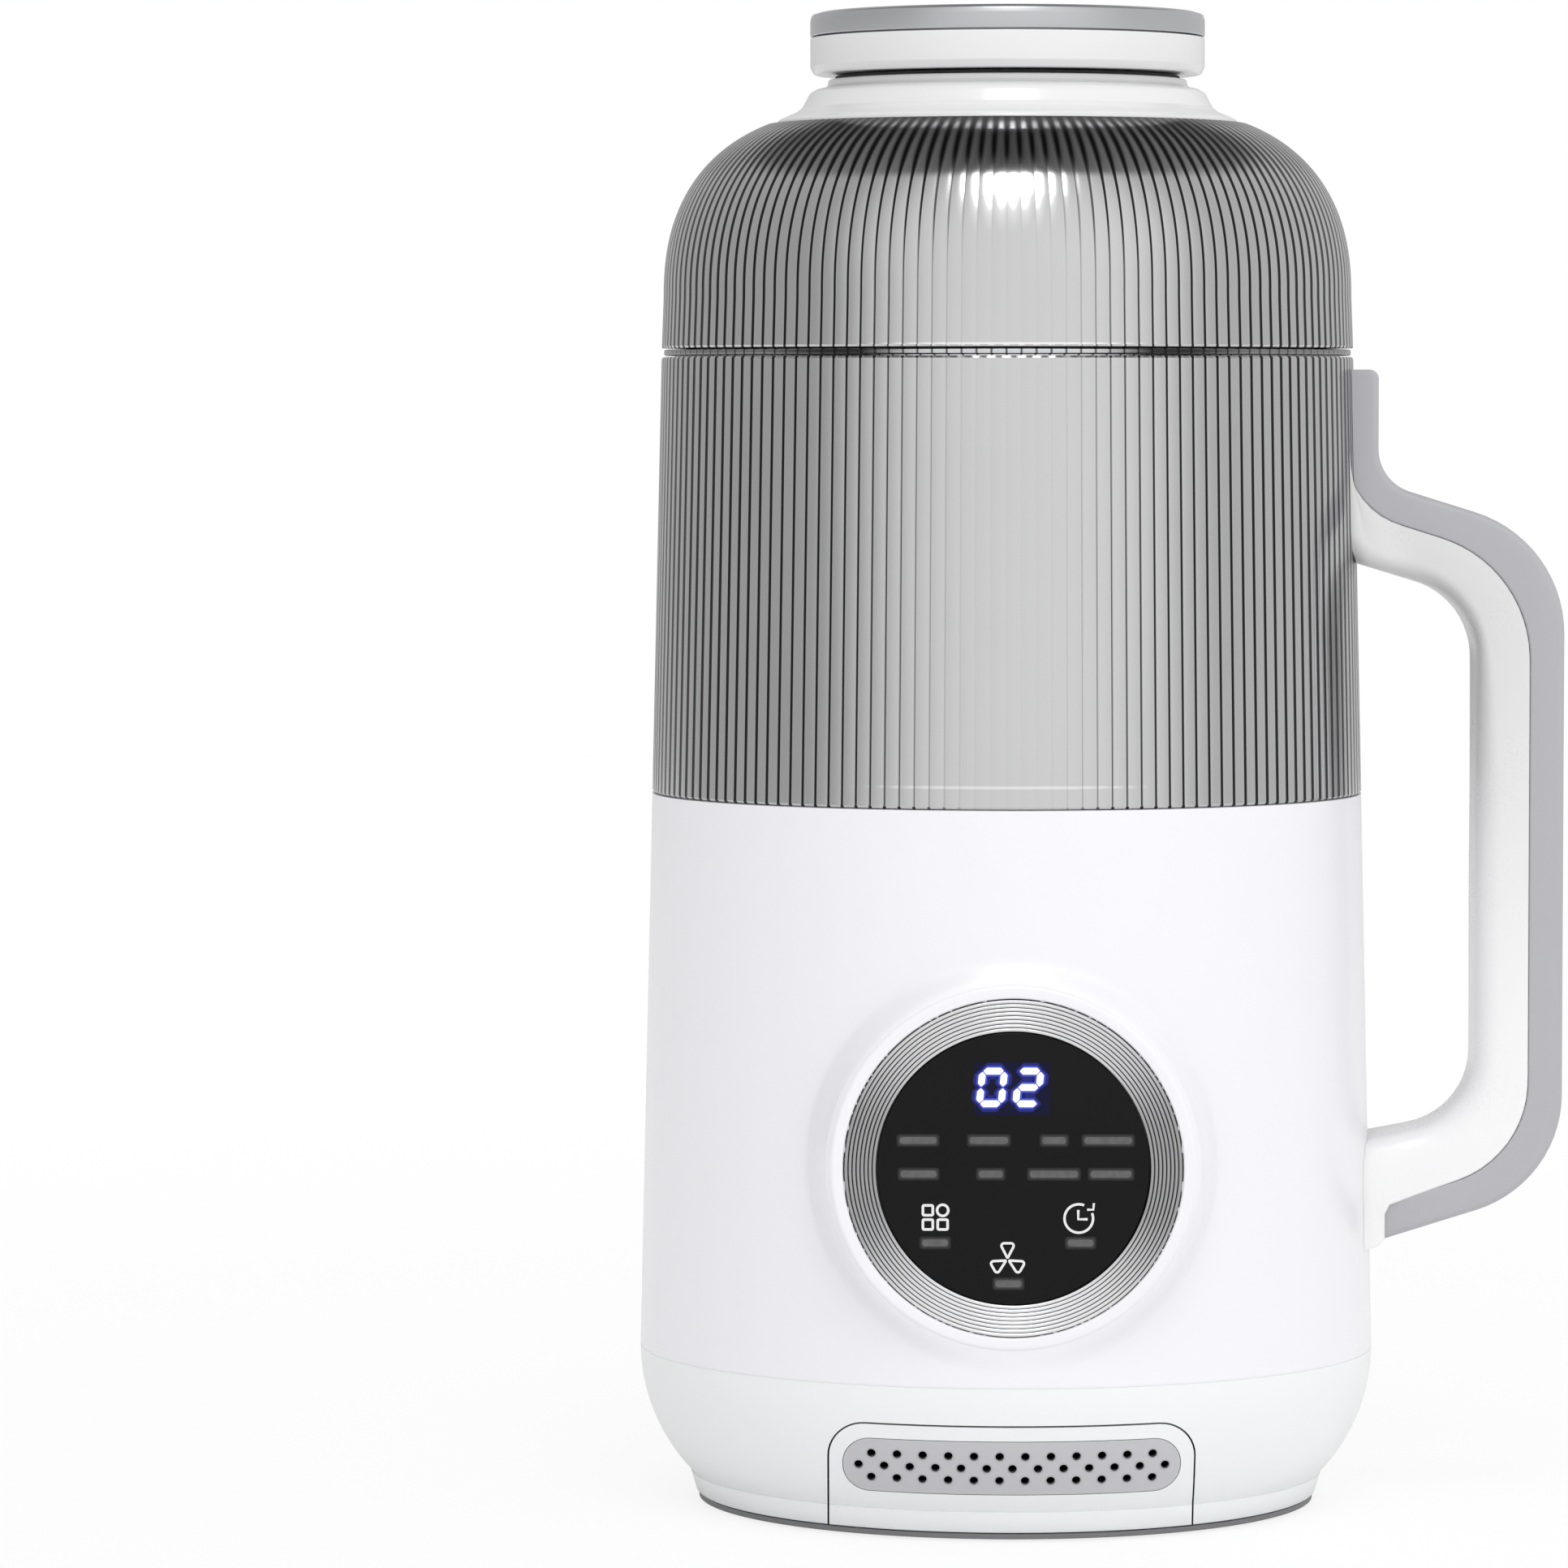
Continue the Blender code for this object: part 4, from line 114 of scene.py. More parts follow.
class Wire:
    """One output of a shader node, whose arithmetic adds Math nodes to the same sheet."""

    def __init__(self, sheet: "Sheet", socket: bpy.types.NodeSocket | None) -> None:
        """Keeps the sheet and the socket on it, or none for a node without an output."""
        self.sheet = sheet
        self.socket = socket

    def _math(self, operation: str, *values: "Wire | float") -> "Wire":
        """Adds one Math node.

        Args:
            operation: the Math node's operation.
            values: its inputs, in order.

        Returns:
            The node's result.
        """
        return self.sheet.node("ShaderNodeMath", dict(enumerate(values)), operation=operation)

    def __add__(self, other: "Wire | float") -> "Wire":
        """Sum."""
        return self._math("ADD", self, other)

    def __radd__(self, other: float) -> "Wire":
        """Sum, reflected."""
        return self._math("ADD", other, self)

    def __sub__(self, other: "Wire | float") -> "Wire":
        """Difference."""
        return self._math("SUBTRACT", self, other)

    def __rsub__(self, other: float) -> "Wire":
        """Difference, reflected."""
        return self._math("SUBTRACT", other, self)

    def __mul__(self, other: "Wire | float") -> "Wire":
        """Product."""
        return self._math("MULTIPLY", self, other)

    def __rmul__(self, other: float) -> "Wire":
        """Product, reflected."""
        return self._math("MULTIPLY", other, self)

    def __truediv__(self, other: "Wire | float") -> "Wire":
        """Quotient."""
        return self._math("DIVIDE", self, other)

    def __rtruediv__(self, other: float) -> "Wire":
        """Quotient, reflected."""
        return self._math("DIVIDE", other, self)

    def __abs__(self) -> "Wire":
        """Absolute value."""
        return self._math("ABSOLUTE", self)

    def cosine(self) -> "Wire":
        """Cosine of an angle in radians."""
        return self._math("COSINE", self)

    def angle_from(self, other: "Wire") -> "Wire":
        """The angle whose tangent is this value over the other."""
        return self._math("ARCTAN2", self, other)

    def part(self) -> "Wire":
        """The fraction above the whole number below."""
        return self._math("FRACT", self)

    def root(self) -> "Wire":
        """Square root."""
        return self._math("SQRT", self)

    def eased(self, low: "Wire | float", high: "Wire | float") -> "Wire":
        """Smooth step from 0 at low to 1 at high."""
        spans = {"Value": self, "From Min": low, "From Max": high}
        return self.sheet.node("ShaderNodeMapRange", spans, interpolation_type="SMOOTHSTEP")


class Sheet:
    """The node tree of one material or of the world."""

    def __init__(self, tree: bpy.types.NodeTree) -> None:
        """Empties the tree and keeps it.

        Args:
            tree: the node tree of a material or of the world.
        """
        tree.nodes.clear()
        self.tree = tree
        self._place: Wire | None = None

    def node(
        self, kind: str, inputs: dict[str | int, Any] | None = None, out: str | int = 0, **settings: Any
    ) -> Wire:
        """Makes a node, sets it up and feeds its sockets.

        Args:
            kind: the node's type.
            inputs: values or wires by socket name or number.
            out: the output to return.
            settings: the node's own properties, which are set first.

        Returns:
            The chosen output.
        """
        made = self.tree.nodes.new(kind)
        for name, value in settings.items():
            setattr(made, name, value)
        for key, value in (inputs or {}).items():
            socket = made.inputs[key]
            if isinstance(value, Wire):
                self.tree.links.new(value.socket, socket)
            elif isinstance(value, tuple) and len(value) == 3 and socket.type == "RGBA":
                socket.default_value = (*value, 1.0)
            else:
                socket.default_value = value
        return Wire(self, made.outputs[out]) if made.outputs else Wire(self, None)

    def place(self) -> Wire:
        """Reads the point on the object.

        Returns:
            The point, in metres in the frame's coordinates.
        """
        if self._place is None:
            self._place = self.node("ShaderNodeTexCoord", out="Object")
        return self._place

    def split(self, vector: Wire) -> tuple[Wire, Wire, Wire]:
        """The three parts of a vector."""
        made = self.node("ShaderNodeSeparateXYZ", {0: vector}).socket.node
        return tuple(Wire(self, made.outputs[i]) for i in range(3))

    def joined(self, x: Wire | float, y: Wire | float, z: Wire | float) -> Wire:
        """A vector of three values."""
        return self.node("ShaderNodeCombineXYZ", {0: x, 1: y, 2: z})

    def around(self) -> tuple[Wire, Wire]:
        """Works out where a point lies about the body's upright axis.

        Returns:
            The angle about it, and the distance from it in metres.
        """
        x, y, _ = self.split(self.place())
        across = x - AXIS_X
        return y.angle_from(across), (across * across + y * y).root()

    def between_reeds(self, turn: Wire) -> Wire:
        """0 on the crest of a reed and 1 in the valley beside it, at an angle about the body's axis."""
        return abs((turn * (REEDS / math.tau) + 2 * REEDS).part() * 2 - 1)

    def aside(self) -> Wire:
        """0 where the surface faces the eye, up to 1 where it turns away."""
        return self.node("ShaderNodeLayerWeight", {"Blend": 0.5}, out="Facing")

    def noise(self, size: float, detail: float = 2.0, at: Wire | None = None) -> Wire:
        """Smooth noise from 0 to 1.

        Args:
            size: the width of a patch, in metres.
            detail: the number of finer layers.
            at: the point to read it at, or none for the point on the object.

        Returns:
            The noise's value.
        """
        values = {"Vector": at or self.place(), "Scale": 1 / size, "Detail": detail}
        return self.node("ShaderNodeTexNoise", values)

    def mixed(self, factor: Wire | float, first: Wire | Colour, second: Wire | Colour) -> Wire:
        """Mixes two colours.

        Args:
            factor: the share of the second.
            first: the first colour.
            second: the second colour.

        Returns:
            The colour between them.
        """
        made = self.node("ShaderNodeMix", {0: factor}, data_type="RGBA").socket.node
        for number, value in ((6, first), (7, second)):
            if isinstance(value, Wire):
                self.tree.links.new(value.socket, made.inputs[number])
            else:
                made.inputs[number].default_value = (*value, 1.0)
        return Wire(self, made.outputs[2])

    def bump(self, height: Wire, strength: float, depth: float) -> Wire:
        """A normal that follows a height map.

        Args:
            height: the map, from 0 to 1.
            strength: how strongly it shows.
            depth: the height of 1, in metres.

        Returns:
            The normal.
        """
        return self.node("ShaderNodeBump", {"Height": height, "Strength": strength, "Distance": depth})

    def surface(self, shader: Wire) -> None:
        """Feeds a shader to the material's output."""
        self.node("ShaderNodeOutputMaterial", {"Surface": shader})

    def principled(self, values: dict[str, Any]) -> None:
        """Feeds a Principled shader with these socket values to the material's output."""
        self.surface(self.node("ShaderNodeBsdfPrincipled", values))


def tinted(colour: Colour, share: float) -> Colour:
    """A colour with each of its parts times a share."""
    return tuple(part * share for part in colour)


@dataclass(frozen=True)
class Finish:
    """Something that a piece can be made of."""

    title: str

    def make(self) -> bpy.types.Material:
        """Makes the material once and hands out the same one afterwards.

        Returns:
            The material.
        """
        found = bpy.data.materials.get(self.title)
        if found is None:
            found = bpy.data.materials.new(self.title)
            found.use_nodes = True
            self.paint(Sheet(found.node_tree))
        return found

    def paint(self, sheet: Sheet) -> None:
        """Lays the finish out on a sheet.

        Args:
            sheet: the material's empty sheet.
        """
        raise NotImplementedError


@dataclass(frozen=True)
class Moulded(Finish):
    """Moulded plastic: satin gloss, faint clouding, a fine grain and, on the handle, painted shade that
    darkens its upper end.
    """

    colour: Colour
    roughness: float = 0.3
    cloud: float = 0.03
    cloud_size: float = 18 * MM
    grain: float = 0.05
    grain_size: float = 0.6 * MM
    coat: float = 0.0
    painted_shade: float = 0.0
    painted_shade_span: Flat = (70 * MM, 190 * MM)

    def metal(self, sheet: Sheet) -> Wire | float:
        """How metallic it is."""
        return 0.0

    def paint(self, sheet: Sheet) -> None:
        """Lays the finish out on a sheet.

        Args:
            sheet: the material's empty sheet.
        """
        patch = sheet.noise(self.cloud_size, 3)
        grain = sheet.noise(self.grain_size, 2)
        tone = sheet.mixed(patch, tinted(self.colour, 1 - self.cloud), self.colour)
        # Painted shade: the tone darkens towards the top between the span's two heights, for the shade on the
        # handle's upper arm
        if self.painted_shade:
            high = sheet.split(sheet.place())[2].eased(*self.painted_shade_span)
            tone = sheet.mixed(high * self.painted_shade, tone, (0.0, 0.0, 0.0))
        values = {
            "Base Color": tone,
            "Metallic": self.metal(sheet),
            "Roughness": self.roughness + (patch - 0.5) * 0.03 + (grain - 0.5) * 0.03,
            "Normal": sheet.bump(grain, self.grain, 0.05 * MM),
            "Coat Weight": self.coat,
            "Coat Roughness": 0.2,
        }
        sheet.principled(values)


@dataclass(frozen=True)
class Edged(Moulded):
    """Moulded plastic with metallic paint round its side and a plain top."""

    metallic: float = 0.8
    edge_span: Flat = (299.3 * MM, 299.6 * MM)

    def metal(self, sheet: Sheet) -> Wire:
        """How metallic it is."""
        z = sheet.split(sheet.place())[2]
        return (1 - z.eased(*self.edge_span)) * self.metallic


@dataclass(frozen=True)
class Soft(Finish):
    """Rubber or silicone: matt, with a powdery bloom and a fine pebbled skin."""

    colour: Colour
    roughness: float = 0.7
    bloom: float = 0.25
    powder: float = 0.12

    def paint(self, sheet: Sheet) -> None:
        """Lays the finish out on a sheet.

        Args:
            sheet: the material's empty sheet.
        """
        bloom = sheet.noise(6 * MM, 4)
        pebble = sheet.noise(0.35 * MM, 2)
        lighter = tuple(part + (1 - part) * self.powder for part in self.colour)
        values = {
            "Base Color": sheet.mixed(bloom * self.bloom, self.colour, lighter),
            "Roughness": self.roughness + (bloom - 0.5) * 0.15,
            "Normal": sheet.bump(pebble, 0.25, 0.05 * MM),
        }
        sheet.principled(values)


@dataclass(frozen=True)
class Brushed(Finish):
    """Metal with fine brush or turning lines."""

    colour: Colour
    way: Way
    roughness: float = 0.24
    line: float = 0.25 * MM
    depth: float = 0.35
    stretch: float = 0.04

    def streaks(self, sheet: Sheet) -> Wire:
        """Draws the brush lines.

        Args:
            sheet: the material's sheet.

        Returns:
            Their height, from 0 to 1.
        """
        x, y, z = sheet.split(sheet.place())
        if self.way is Way.AROUND:
            turn, far = sheet.around()
            at = sheet.joined(far, z, turn * 1.5 * MM)
        else:
            at = sheet.joined(x * self.stretch, y, z)
        return sheet.noise(self.line, 2, at)

    def paint(self, sheet: Sheet) -> None:
        """Lays the finish out on a sheet.

        Args:
            sheet: the material's empty sheet.
        """
        lines = self.streaks(sheet)
        patch = sheet.noise(12 * MM, 3)
        values = {
            "Base Color": sheet.mixed(lines, tinted(self.colour, 0.8), self.colour),
            "Metallic": 1.0,
            "Roughness": self.roughness + (lines - 0.5) * 0.14 + (patch - 0.5) * 0.08,
            "Normal": sheet.bump(lines, self.depth, 0.04 * MM),
        }
        sheet.principled(values)


@dataclass(frozen=True)
class Mirrored(Finish):
    """Polished metal between two reeded shells.

    Its colour is a painted reflection: bright where it faces the eye, black a little aside of that and grey
    towards its ends, with painted shade in dark lines between the reeds.
    """

    colour: Colour = (0.60, 0.60, 0.61)
    # The dark colours of the painted reflection
    black: Colour = (0.01, 0.01, 0.01)
    end: Colour = (0.24, 0.24, 0.24)
    roughness: float = 0.2
    valley_shade_span: Flat = (0.74, 0.98)
    painted_black_span: Flat = (0.02, 0.1)
    painted_grey_span: Flat = (0.14, 0.33)

    def paint(self, sheet: Sheet) -> None:
        """Lays the finish out on a sheet.

        Args:
            sheet: the material's empty sheet.
        """
        turn, _ = sheet.around()
        # Painted shade in dark lines between the reeds
        reed = sheet.between_reeds(turn).eased(*self.valley_shade_span)
        aside = sheet.aside()
        # Painted reflection: the colour follows how far the surface faces the eye
        dark = sheet.mixed(aside.eased(*self.painted_grey_span), self.black, self.end)
        tone = sheet.mixed(aside.eased(*self.painted_black_span) * 0.95, self.colour, dark)
        values = {
            "Base Color": sheet.mixed(reed * 0.85, tone, self.black),
            "Metallic": 1.0,
            "Roughness": self.roughness + reed * 0.1,
        }
        sheet.principled(values)


@dataclass(frozen=True)
class Spun(Finish):
    """Spun metal with painted shade in its turned grooves and a painted sheen that fans out to its top and
    bottom.
    """

    bore: float
    pitch: float
    colour: Colour = (0.80, 0.80, 0.81)
    shade: Colour = (0.33, 0.33, 0.335)
    # The colour of the painted shade in the grooves
    groove: Colour = (0.02, 0.02, 0.02)
    roughness: float = 0.3
    painted_sheen_span: Flat = (0.25, 0.95)
    groove_shade_span: Flat = (0.62, 0.95)

    def paint(self, sheet: Sheet) -> None:
        """Lays the finish out on a sheet.

        Args:
            sheet: the material's empty sheet.
        """
        x, y, z = sheet.split(sheet.place())
        across, up = x - AXIS_X, z - PANEL_LEVEL * MM
        far = (across * across + up * up).root()
        # Painted sheen: the colour brightens towards the ring's top and bottom
        fan = abs(up / far).eased(*self.painted_sheen_span) * (0.9 - up / far * 0.12)
        # Painted shade in the turned grooves, lighter where the painted sheen is
        groove = abs(((far - self.bore) / self.pitch).part() * 2 - 1).eased(*self.groove_shade_span)
        fine = sheet.noise(0.1 * MM, 2, sheet.joined(far, y, up.angle_from(across) * 0.5 * MM))
        tone = sheet.mixed(fan * 0.9 + fine * 0.1, self.shade, self.colour)
        values = {
            "Base Color": sheet.mixed(groove * (0.85 - fan * 0.4), tone, self.groove),
            "Metallic": 1.0,
            "Roughness": self.roughness + (fine - 0.5) * 0.1,
            "Normal": sheet.bump(fine, 0.08, 0.02 * MM),
        }
        sheet.principled(values)


@dataclass(frozen=True)
class Smoked(Finish):
    """Smoked see-through plastic with a mirror tint, painted shade in dark lines between its reeds, a painted
    highlight along the sleeve's foot and the lid's rim, and painted shade where the dome meets the collar.
    """

    colour: Colour = (0.56, 0.56, 0.565)
    # The colour of the painted shade: the dark lines between the reeds and the dark ring at the collar
    line: Colour = (0.012, 0.012, 0.013)
    roughness: float = 0.12
    alpha: float = 0.95
    metallic: float = 0.95
    painted_glint: Colour = (0.9, 0.9, 0.9)
    edge: float = 0.86
    crown_span: Flat = (264 * MM, 270 * MM)
    front_span: Flat = (0.07, 0.28)
    aside_span: Flat = (0.005, 0.08)
    highlight_heights: Flat = (147.4 * MM, 232.75 * MM)
    highlight_span: Flat = (0.15 * MM, 0.4 * MM)
    collar_shade_span: Flat = (49.5 * MM, 52.5 * MM)

    def paint(self, sheet: Sheet) -> None:
        """Lays the finish out on a sheet.

        Args:
            sheet: the material's empty sheet.
        """
        z = sheet.split(sheet.place())[2]
        turn, far = sheet.around()
        aside = sheet.aside()
        near = sheet.between_reeds(turn) + aside * 0.5
        # The painted shade lines are faint in front and where they face the eye, and on the crown they are
        # wide and soft
        high = z.eased(*self.crown_span)
        front = abs(turn + math.pi / 2).eased(*self.front_span) * 0.92 + 0.08
        strong = (0.2 + aside.eased(*self.aside_span) * 0.78) * (high + (1 - high) * front)
        valley = near.eased(self.edge - high * 0.5, self.edge + 0.08 + high * 0.1) * strong
        # A painted highlight runs pale along the sleeve's foot and the lid's rim, only where they face the
        # eye
        low, top = (1 - abs(z - level).eased(*self.highlight_span) for level in self.highlight_heights)
        seam = (low * 0.5 + top * 0.9) * (1 - aside.eased(0.01, 0.1))
        patch = sheet.noise(25 * MM, 3)
        tint = sheet.mixed(seam, sheet.mixed(patch, self.colour, tinted(self.colour, 1.06)), self.painted_glint)
        # Painted shade: the dome darkens where it meets the collar
        tint = sheet.mixed(far.eased(*self.collar_shade_span) * 0.8 + 0.2, self.line, tint)
        values = {
            "Base Color": sheet.mixed(valley, tint, self.line),
            "Metallic": self.metallic,
            "Roughness": self.roughness + (patch - 0.5) * 0.05 + valley * 0.1,
            "Alpha": self.alpha + valley * (1 - self.alpha),
        }
        sheet.principled(values)


@dataclass(frozen=True)
class Pane(Finish):
    """Polished dark glass with faint wiping marks."""

    colour: Colour = (0.006, 0.006, 0.0065)

    def paint(self, sheet: Sheet) -> None:
        """Lays the finish out on a sheet.

        Args:
            sheet: the material's empty sheet.
        """
        smear = sheet.noise(7 * MM, 4)
        values = {
            "Base Color": sheet.mixed(smear, self.colour, tinted(self.colour, 1.2)),
            "Roughness": 0.10 + smear * 0.06,
            "Specular IOR Level": 0.1,
        }
        sheet.principled(values)


@dataclass(frozen=True)
class Lit(Finish):
    """A printed or lit mark behind the glass, shining by emission; on the printed bars and in the glow and
    haze round the marks this is painted glow.
    """

    colour: Colour
    strength: float
    fade: float = 0.1

    def paint(self, sheet: Sheet) -> None:
        """Lays the finish out on a sheet.

        Args:
            sheet: the material's empty sheet.
        """
        shade = sheet.noise(1.2 * MM, 1)
        values = {
            "Base Color": (0.004, 0.004, 0.004),
            "Roughness": 0.3,
            "Specular IOR Level": 0.1,
            "Emission Color": sheet.mixed(shade, tinted(self.colour, 1 - self.fade), self.colour),
            "Emission Strength": self.strength,
        }
        sheet.principled(values)


@dataclass(frozen=True)
class Laminated(Finish):
    """Stacked iron sheets or wound wire, seen as fine lines one over the other."""

    colour: Colour
    pitch: float = 0.6 * MM
    metallic: float = 0.8

    def paint(self, sheet: Sheet) -> None:
        """Lays the finish out on a sheet.

        Args:
            sheet: the material's empty sheet.
        """
        z = sheet.split(sheet.place())[2]
        lines = (z * (math.tau / self.pitch)).cosine() * 0.5 + 0.5
        grime = sheet.noise(4 * MM, 3)
        values = {
            "Base Color": sheet.mixed(lines * 0.7 + grime * 0.3, tinted(self.colour, 0.35), self.colour),
            "Metallic": self.metallic,
            "Roughness": 0.45 + (grime - 0.5) * 0.2,
            "Normal": sheet.bump(lines, 0.4, 0.1 * MM),
        }
        sheet.principled(values)


@dataclass(frozen=True)
class Lacquered(Finish):
    """A circuit board's green lacquer over copper lines."""

    colour: Colour = (0.015, 0.11, 0.045)
    cell: float = 3 * MM

    def paint(self, sheet: Sheet) -> None:
        """Lays the finish out on a sheet.

        Args:
            sheet: the material's empty sheet.
        """
        cells = {"Vector": sheet.place(), "Scale": 1 / self.cell}
        lines = sheet.node("ShaderNodeTexVoronoi", cells, distance="MANHATTAN", feature="F1")
        track = lines.eased(0.45, 0.6)
        values = {
            "Base Color": sheet.mixed(track, self.colour, tinted(self.colour, 1.9)),
            "Roughness": 0.35 + track * 0.1,
            "Normal": sheet.bump(track, 0.3, 0.05 * MM),
        }
        sheet.principled(values)


@dataclass(frozen=True)
class PaleFloor(Finish):
    """A plain pale floor that keeps the object's shadow."""

    colour: Colour = (0.93, 0.93, 0.93)

    def paint(self, sheet: Sheet) -> None:
        """Lays the finish out on a sheet.

        Args:
            sheet: the material's empty sheet.
        """
        patch = sheet.noise(0.5, 2)
        values = {
            "Base Color": sheet.mixed(patch, self.colour, tinted(self.colour, 0.99)),
            "Roughness": 0.6 + patch * 0.1,
        }
        lit = sheet.node("ShaderNodeBsdfPrincipled", values)
        glow = sheet.node("ShaderNodeEmission", {"Color": (1.0, 1.0, 1.0), "Strength": 1.0})
        seen = sheet.node("ShaderNodeLightPath", out="Is Camera Ray")
        x, y, _ = sheet.split(sheet.place())
        far = (x * x + y * y).root().eased(0.15, 1.0)
        sheet.surface(sheet.node("ShaderNodeMixShader", {0: seen * (0.82 + far * 0.18), 1: lit, 2: glow}))


WHITE = Moulded("glossy white plastic", (0.79, 0.787, 0.82), 0.26, cloud=0.012, grain=0.02, coat=0.2)
CHIN_WHITE = Moulded("cool white plastic", (0.785, 0.80, 0.805), 0.3, cloud=0.012, grain=0.02, coat=0.1)
COLLAR_WHITE = Moulded("satin white plastic", (0.73, 0.73, 0.735), 0.16, cloud=0.012, grain=0.01, coat=0.4)
GREY = Moulded("light grey plastic", (0.40, 0.40, 0.425), 0.36, cloud=0.03, grain=0.04)
CAP_GREY = Edged("cap grey plastic", (0.5, 0.505, 0.52), 0.3, cloud=0.03, grain=0.004, coat=0.3)
# The handle's white darkens towards its upper end: painted shade
HANDLE_WHITE = Moulded(
    "handle white plastic", (0.80, 0.80, 0.805), 0.28, cloud=0.012, grain=0.02, coat=0.1, painted_shade=0.2
)
VENT_GREY = Moulded("vent grey plastic", (0.49, 0.49, 0.51), 0.42, cloud=0.03, grain=0.05)
PLATE_GREY = Moulded("base plate grey plastic", (0.17, 0.17, 0.175), 0.5, cloud=0.06, grain=0.1)
BLACK = Moulded("black plastic", (0.018, 0.018, 0.02), 0.42, cloud=0.1, grain=0.1)
# A black for painted shade, behind the vent's holes
SHADE_BLACK = Moulded("painted shade black", (0.01, 0.01, 0.011), 0.6, cloud=0.1, grain=0.1)
LINER = Moulded("grey liner plastic", (0.30, 0.30, 0.31), 0.4, cloud=0.03, grain=0.04)
SLEEVE = Smoked("smoked fluted plastic")
STEEL = Brushed("turned steel", (0.74, 0.74, 0.75), Way.AROUND, roughness=0.36)
BRIGHT = Brushed("polished steel", (0.75, 0.75, 0.76), Way.AROUND, roughness=0.12, depth=0.1)
BLADE_STEEL = Brushed("ground steel", (0.66, 0.66, 0.67), Way.FLAT, roughness=0.2)
RIM_METAL = Mirrored("rim steel")
RING_METAL = Spun("spun aluminium", 26.42 * MM, 6.18 * MM / 8)
CAST = Brushed("cast aluminium", (0.45, 0.45, 0.46), Way.FLAT, roughness=0.5, line=2 * MM)
BRASS = Brushed("plated brass", (0.72, 0.66, 0.5), Way.FLAT, roughness=0.2)
RUBBER = Soft("black rubber", (0.02, 0.02, 0.021))
SILICONE = Soft("milky silicone", (0.55, 0.55, 0.54), 0.5, 0.3)
GLASS = Pane("black glass")
BOARD = Lacquered("green circuit board")
MAGNET = Soft("sintered magnet", (0.03, 0.03, 0.032), 0.6)
IRON = Laminated("stacked iron", (0.33, 0.31, 0.29))
# The digits and icons are lit; the printed bars and the glow and haze round the digits and bars shine by
# emission as painted glow
DIGITS = Lit("lit digits", (0.93, 0.95, 1.0), 1.3, 0.02)
DIGIT_GLOW = Lit("glow round the digits", (0.07, 0.10, 0.62), 1.0, 0.1)
DIGIT_GLOW_HAZE = Lit("painted glow haze round the digits", (0.018, 0.022, 0.2), 1.0, 0.2)
WORDS = Lit("printed bars", (0.16, 0.16, 0.16), 1.0, 0.4)
WORD_GLOW = Lit("painted glow round the bars", (0.055, 0.055, 0.055), 1.0, 0.3)
WORD_GLOW_HAZE = Lit("painted glow haze round the bars", (0.022, 0.022, 0.022), 1.0, 0.2)
ICONS = Lit("lit icons", (0.86, 0.86, 0.86), 1.0, 0.05)
WINDOW = Lit("display window", (0.002, 0.002, 0.032), 1.0, 0.3)
FLOOR = PaleFloor("pale floor")


@dataclass
class Shape:
    """Points and faces, gathered before they become a mesh."""

    points: list[Spot] = field(default_factory=list)
    faces: list[tuple[int, ...]] = field(default_factory=list)

    def skin(
        self, rings: Sequence[Sequence[Spot]], loop: bool = True, closed: bool = False, caps: bool = False
    ) -> "Shape":
        """Joins neighbouring rings of points with faces.

        Args:
            rings: rows of points, all as long, or of one point where the skin ends in a pole.
            loop: whether each row closes on itself.
            closed: whether the last row joins the first.
            caps: whether the two end rows are filled.

        Returns:
            The shape itself.
        """
        rows = []
        for ring in rings:
            start = len(self.points)
            self.points.extend(ring)
            rows.append(range(start, start + len(ring)))
        pairs = list(zip(rows, rows[1:])) + ([(rows[-1], rows[0])] if closed else [])
        for near, far in pairs:
            count = max(len(near), len(far))
            for i in range(count if loop else count - 1):
                j = (i + 1) % count
                corners = [near[i % len(near)], near[j % len(near)], far[j % len(far)], far[i % len(far)]]
                kept = tuple(dict.fromkeys(corners))
                if len(kept) > 2:
                    self.faces.append(kept)
        if caps:
            self.faces += [tuple(reversed(rows[0])), tuple(rows[-1])]
        return self

    def build(self, name: str, finish: Finish, sharp: float = SHARP) -> bpy.types.Object:
        """Makes the object.

        Args:
            name: the piece's name.
            finish: what it is made of.
            sharp: the angle in degrees from which an edge shows.

        Returns:
            The new object.
        """
        mesh = bpy.data.meshes.new(name)
        mesh.from_pydata(self.points, [], self.faces)
        mesh.validate()
        bm = bmesh.new()
        bm.from_mesh(mesh)
        bmesh.ops.remove_doubles(bm, verts=bm.verts, dist=WELD)
        bmesh.ops.recalc_face_normals(bm, faces=bm.faces)
        bm.to_mesh(mesh)
        bm.free()
        mesh.shade_smooth()
        mesh.set_sharp_from_angle(angle=math.radians(sharp))
        mesh.materials.append(finish.make())
        made = bpy.data.objects.new(name, mesh)
        bpy.context.scene.collection.objects.link(made)
        return made


def arc(centre: Flat, radius: float, start: float, end: float, steps: int) -> list[Flat]:
    """Points on an arc between two angles in degrees."""
    turns = [math.radians(start + (end - start) * i / steps) for i in range(steps + 1)]
    return [(centre[0] + radius * math.cos(t), centre[1] + radius * math.sin(t)) for t in turns]


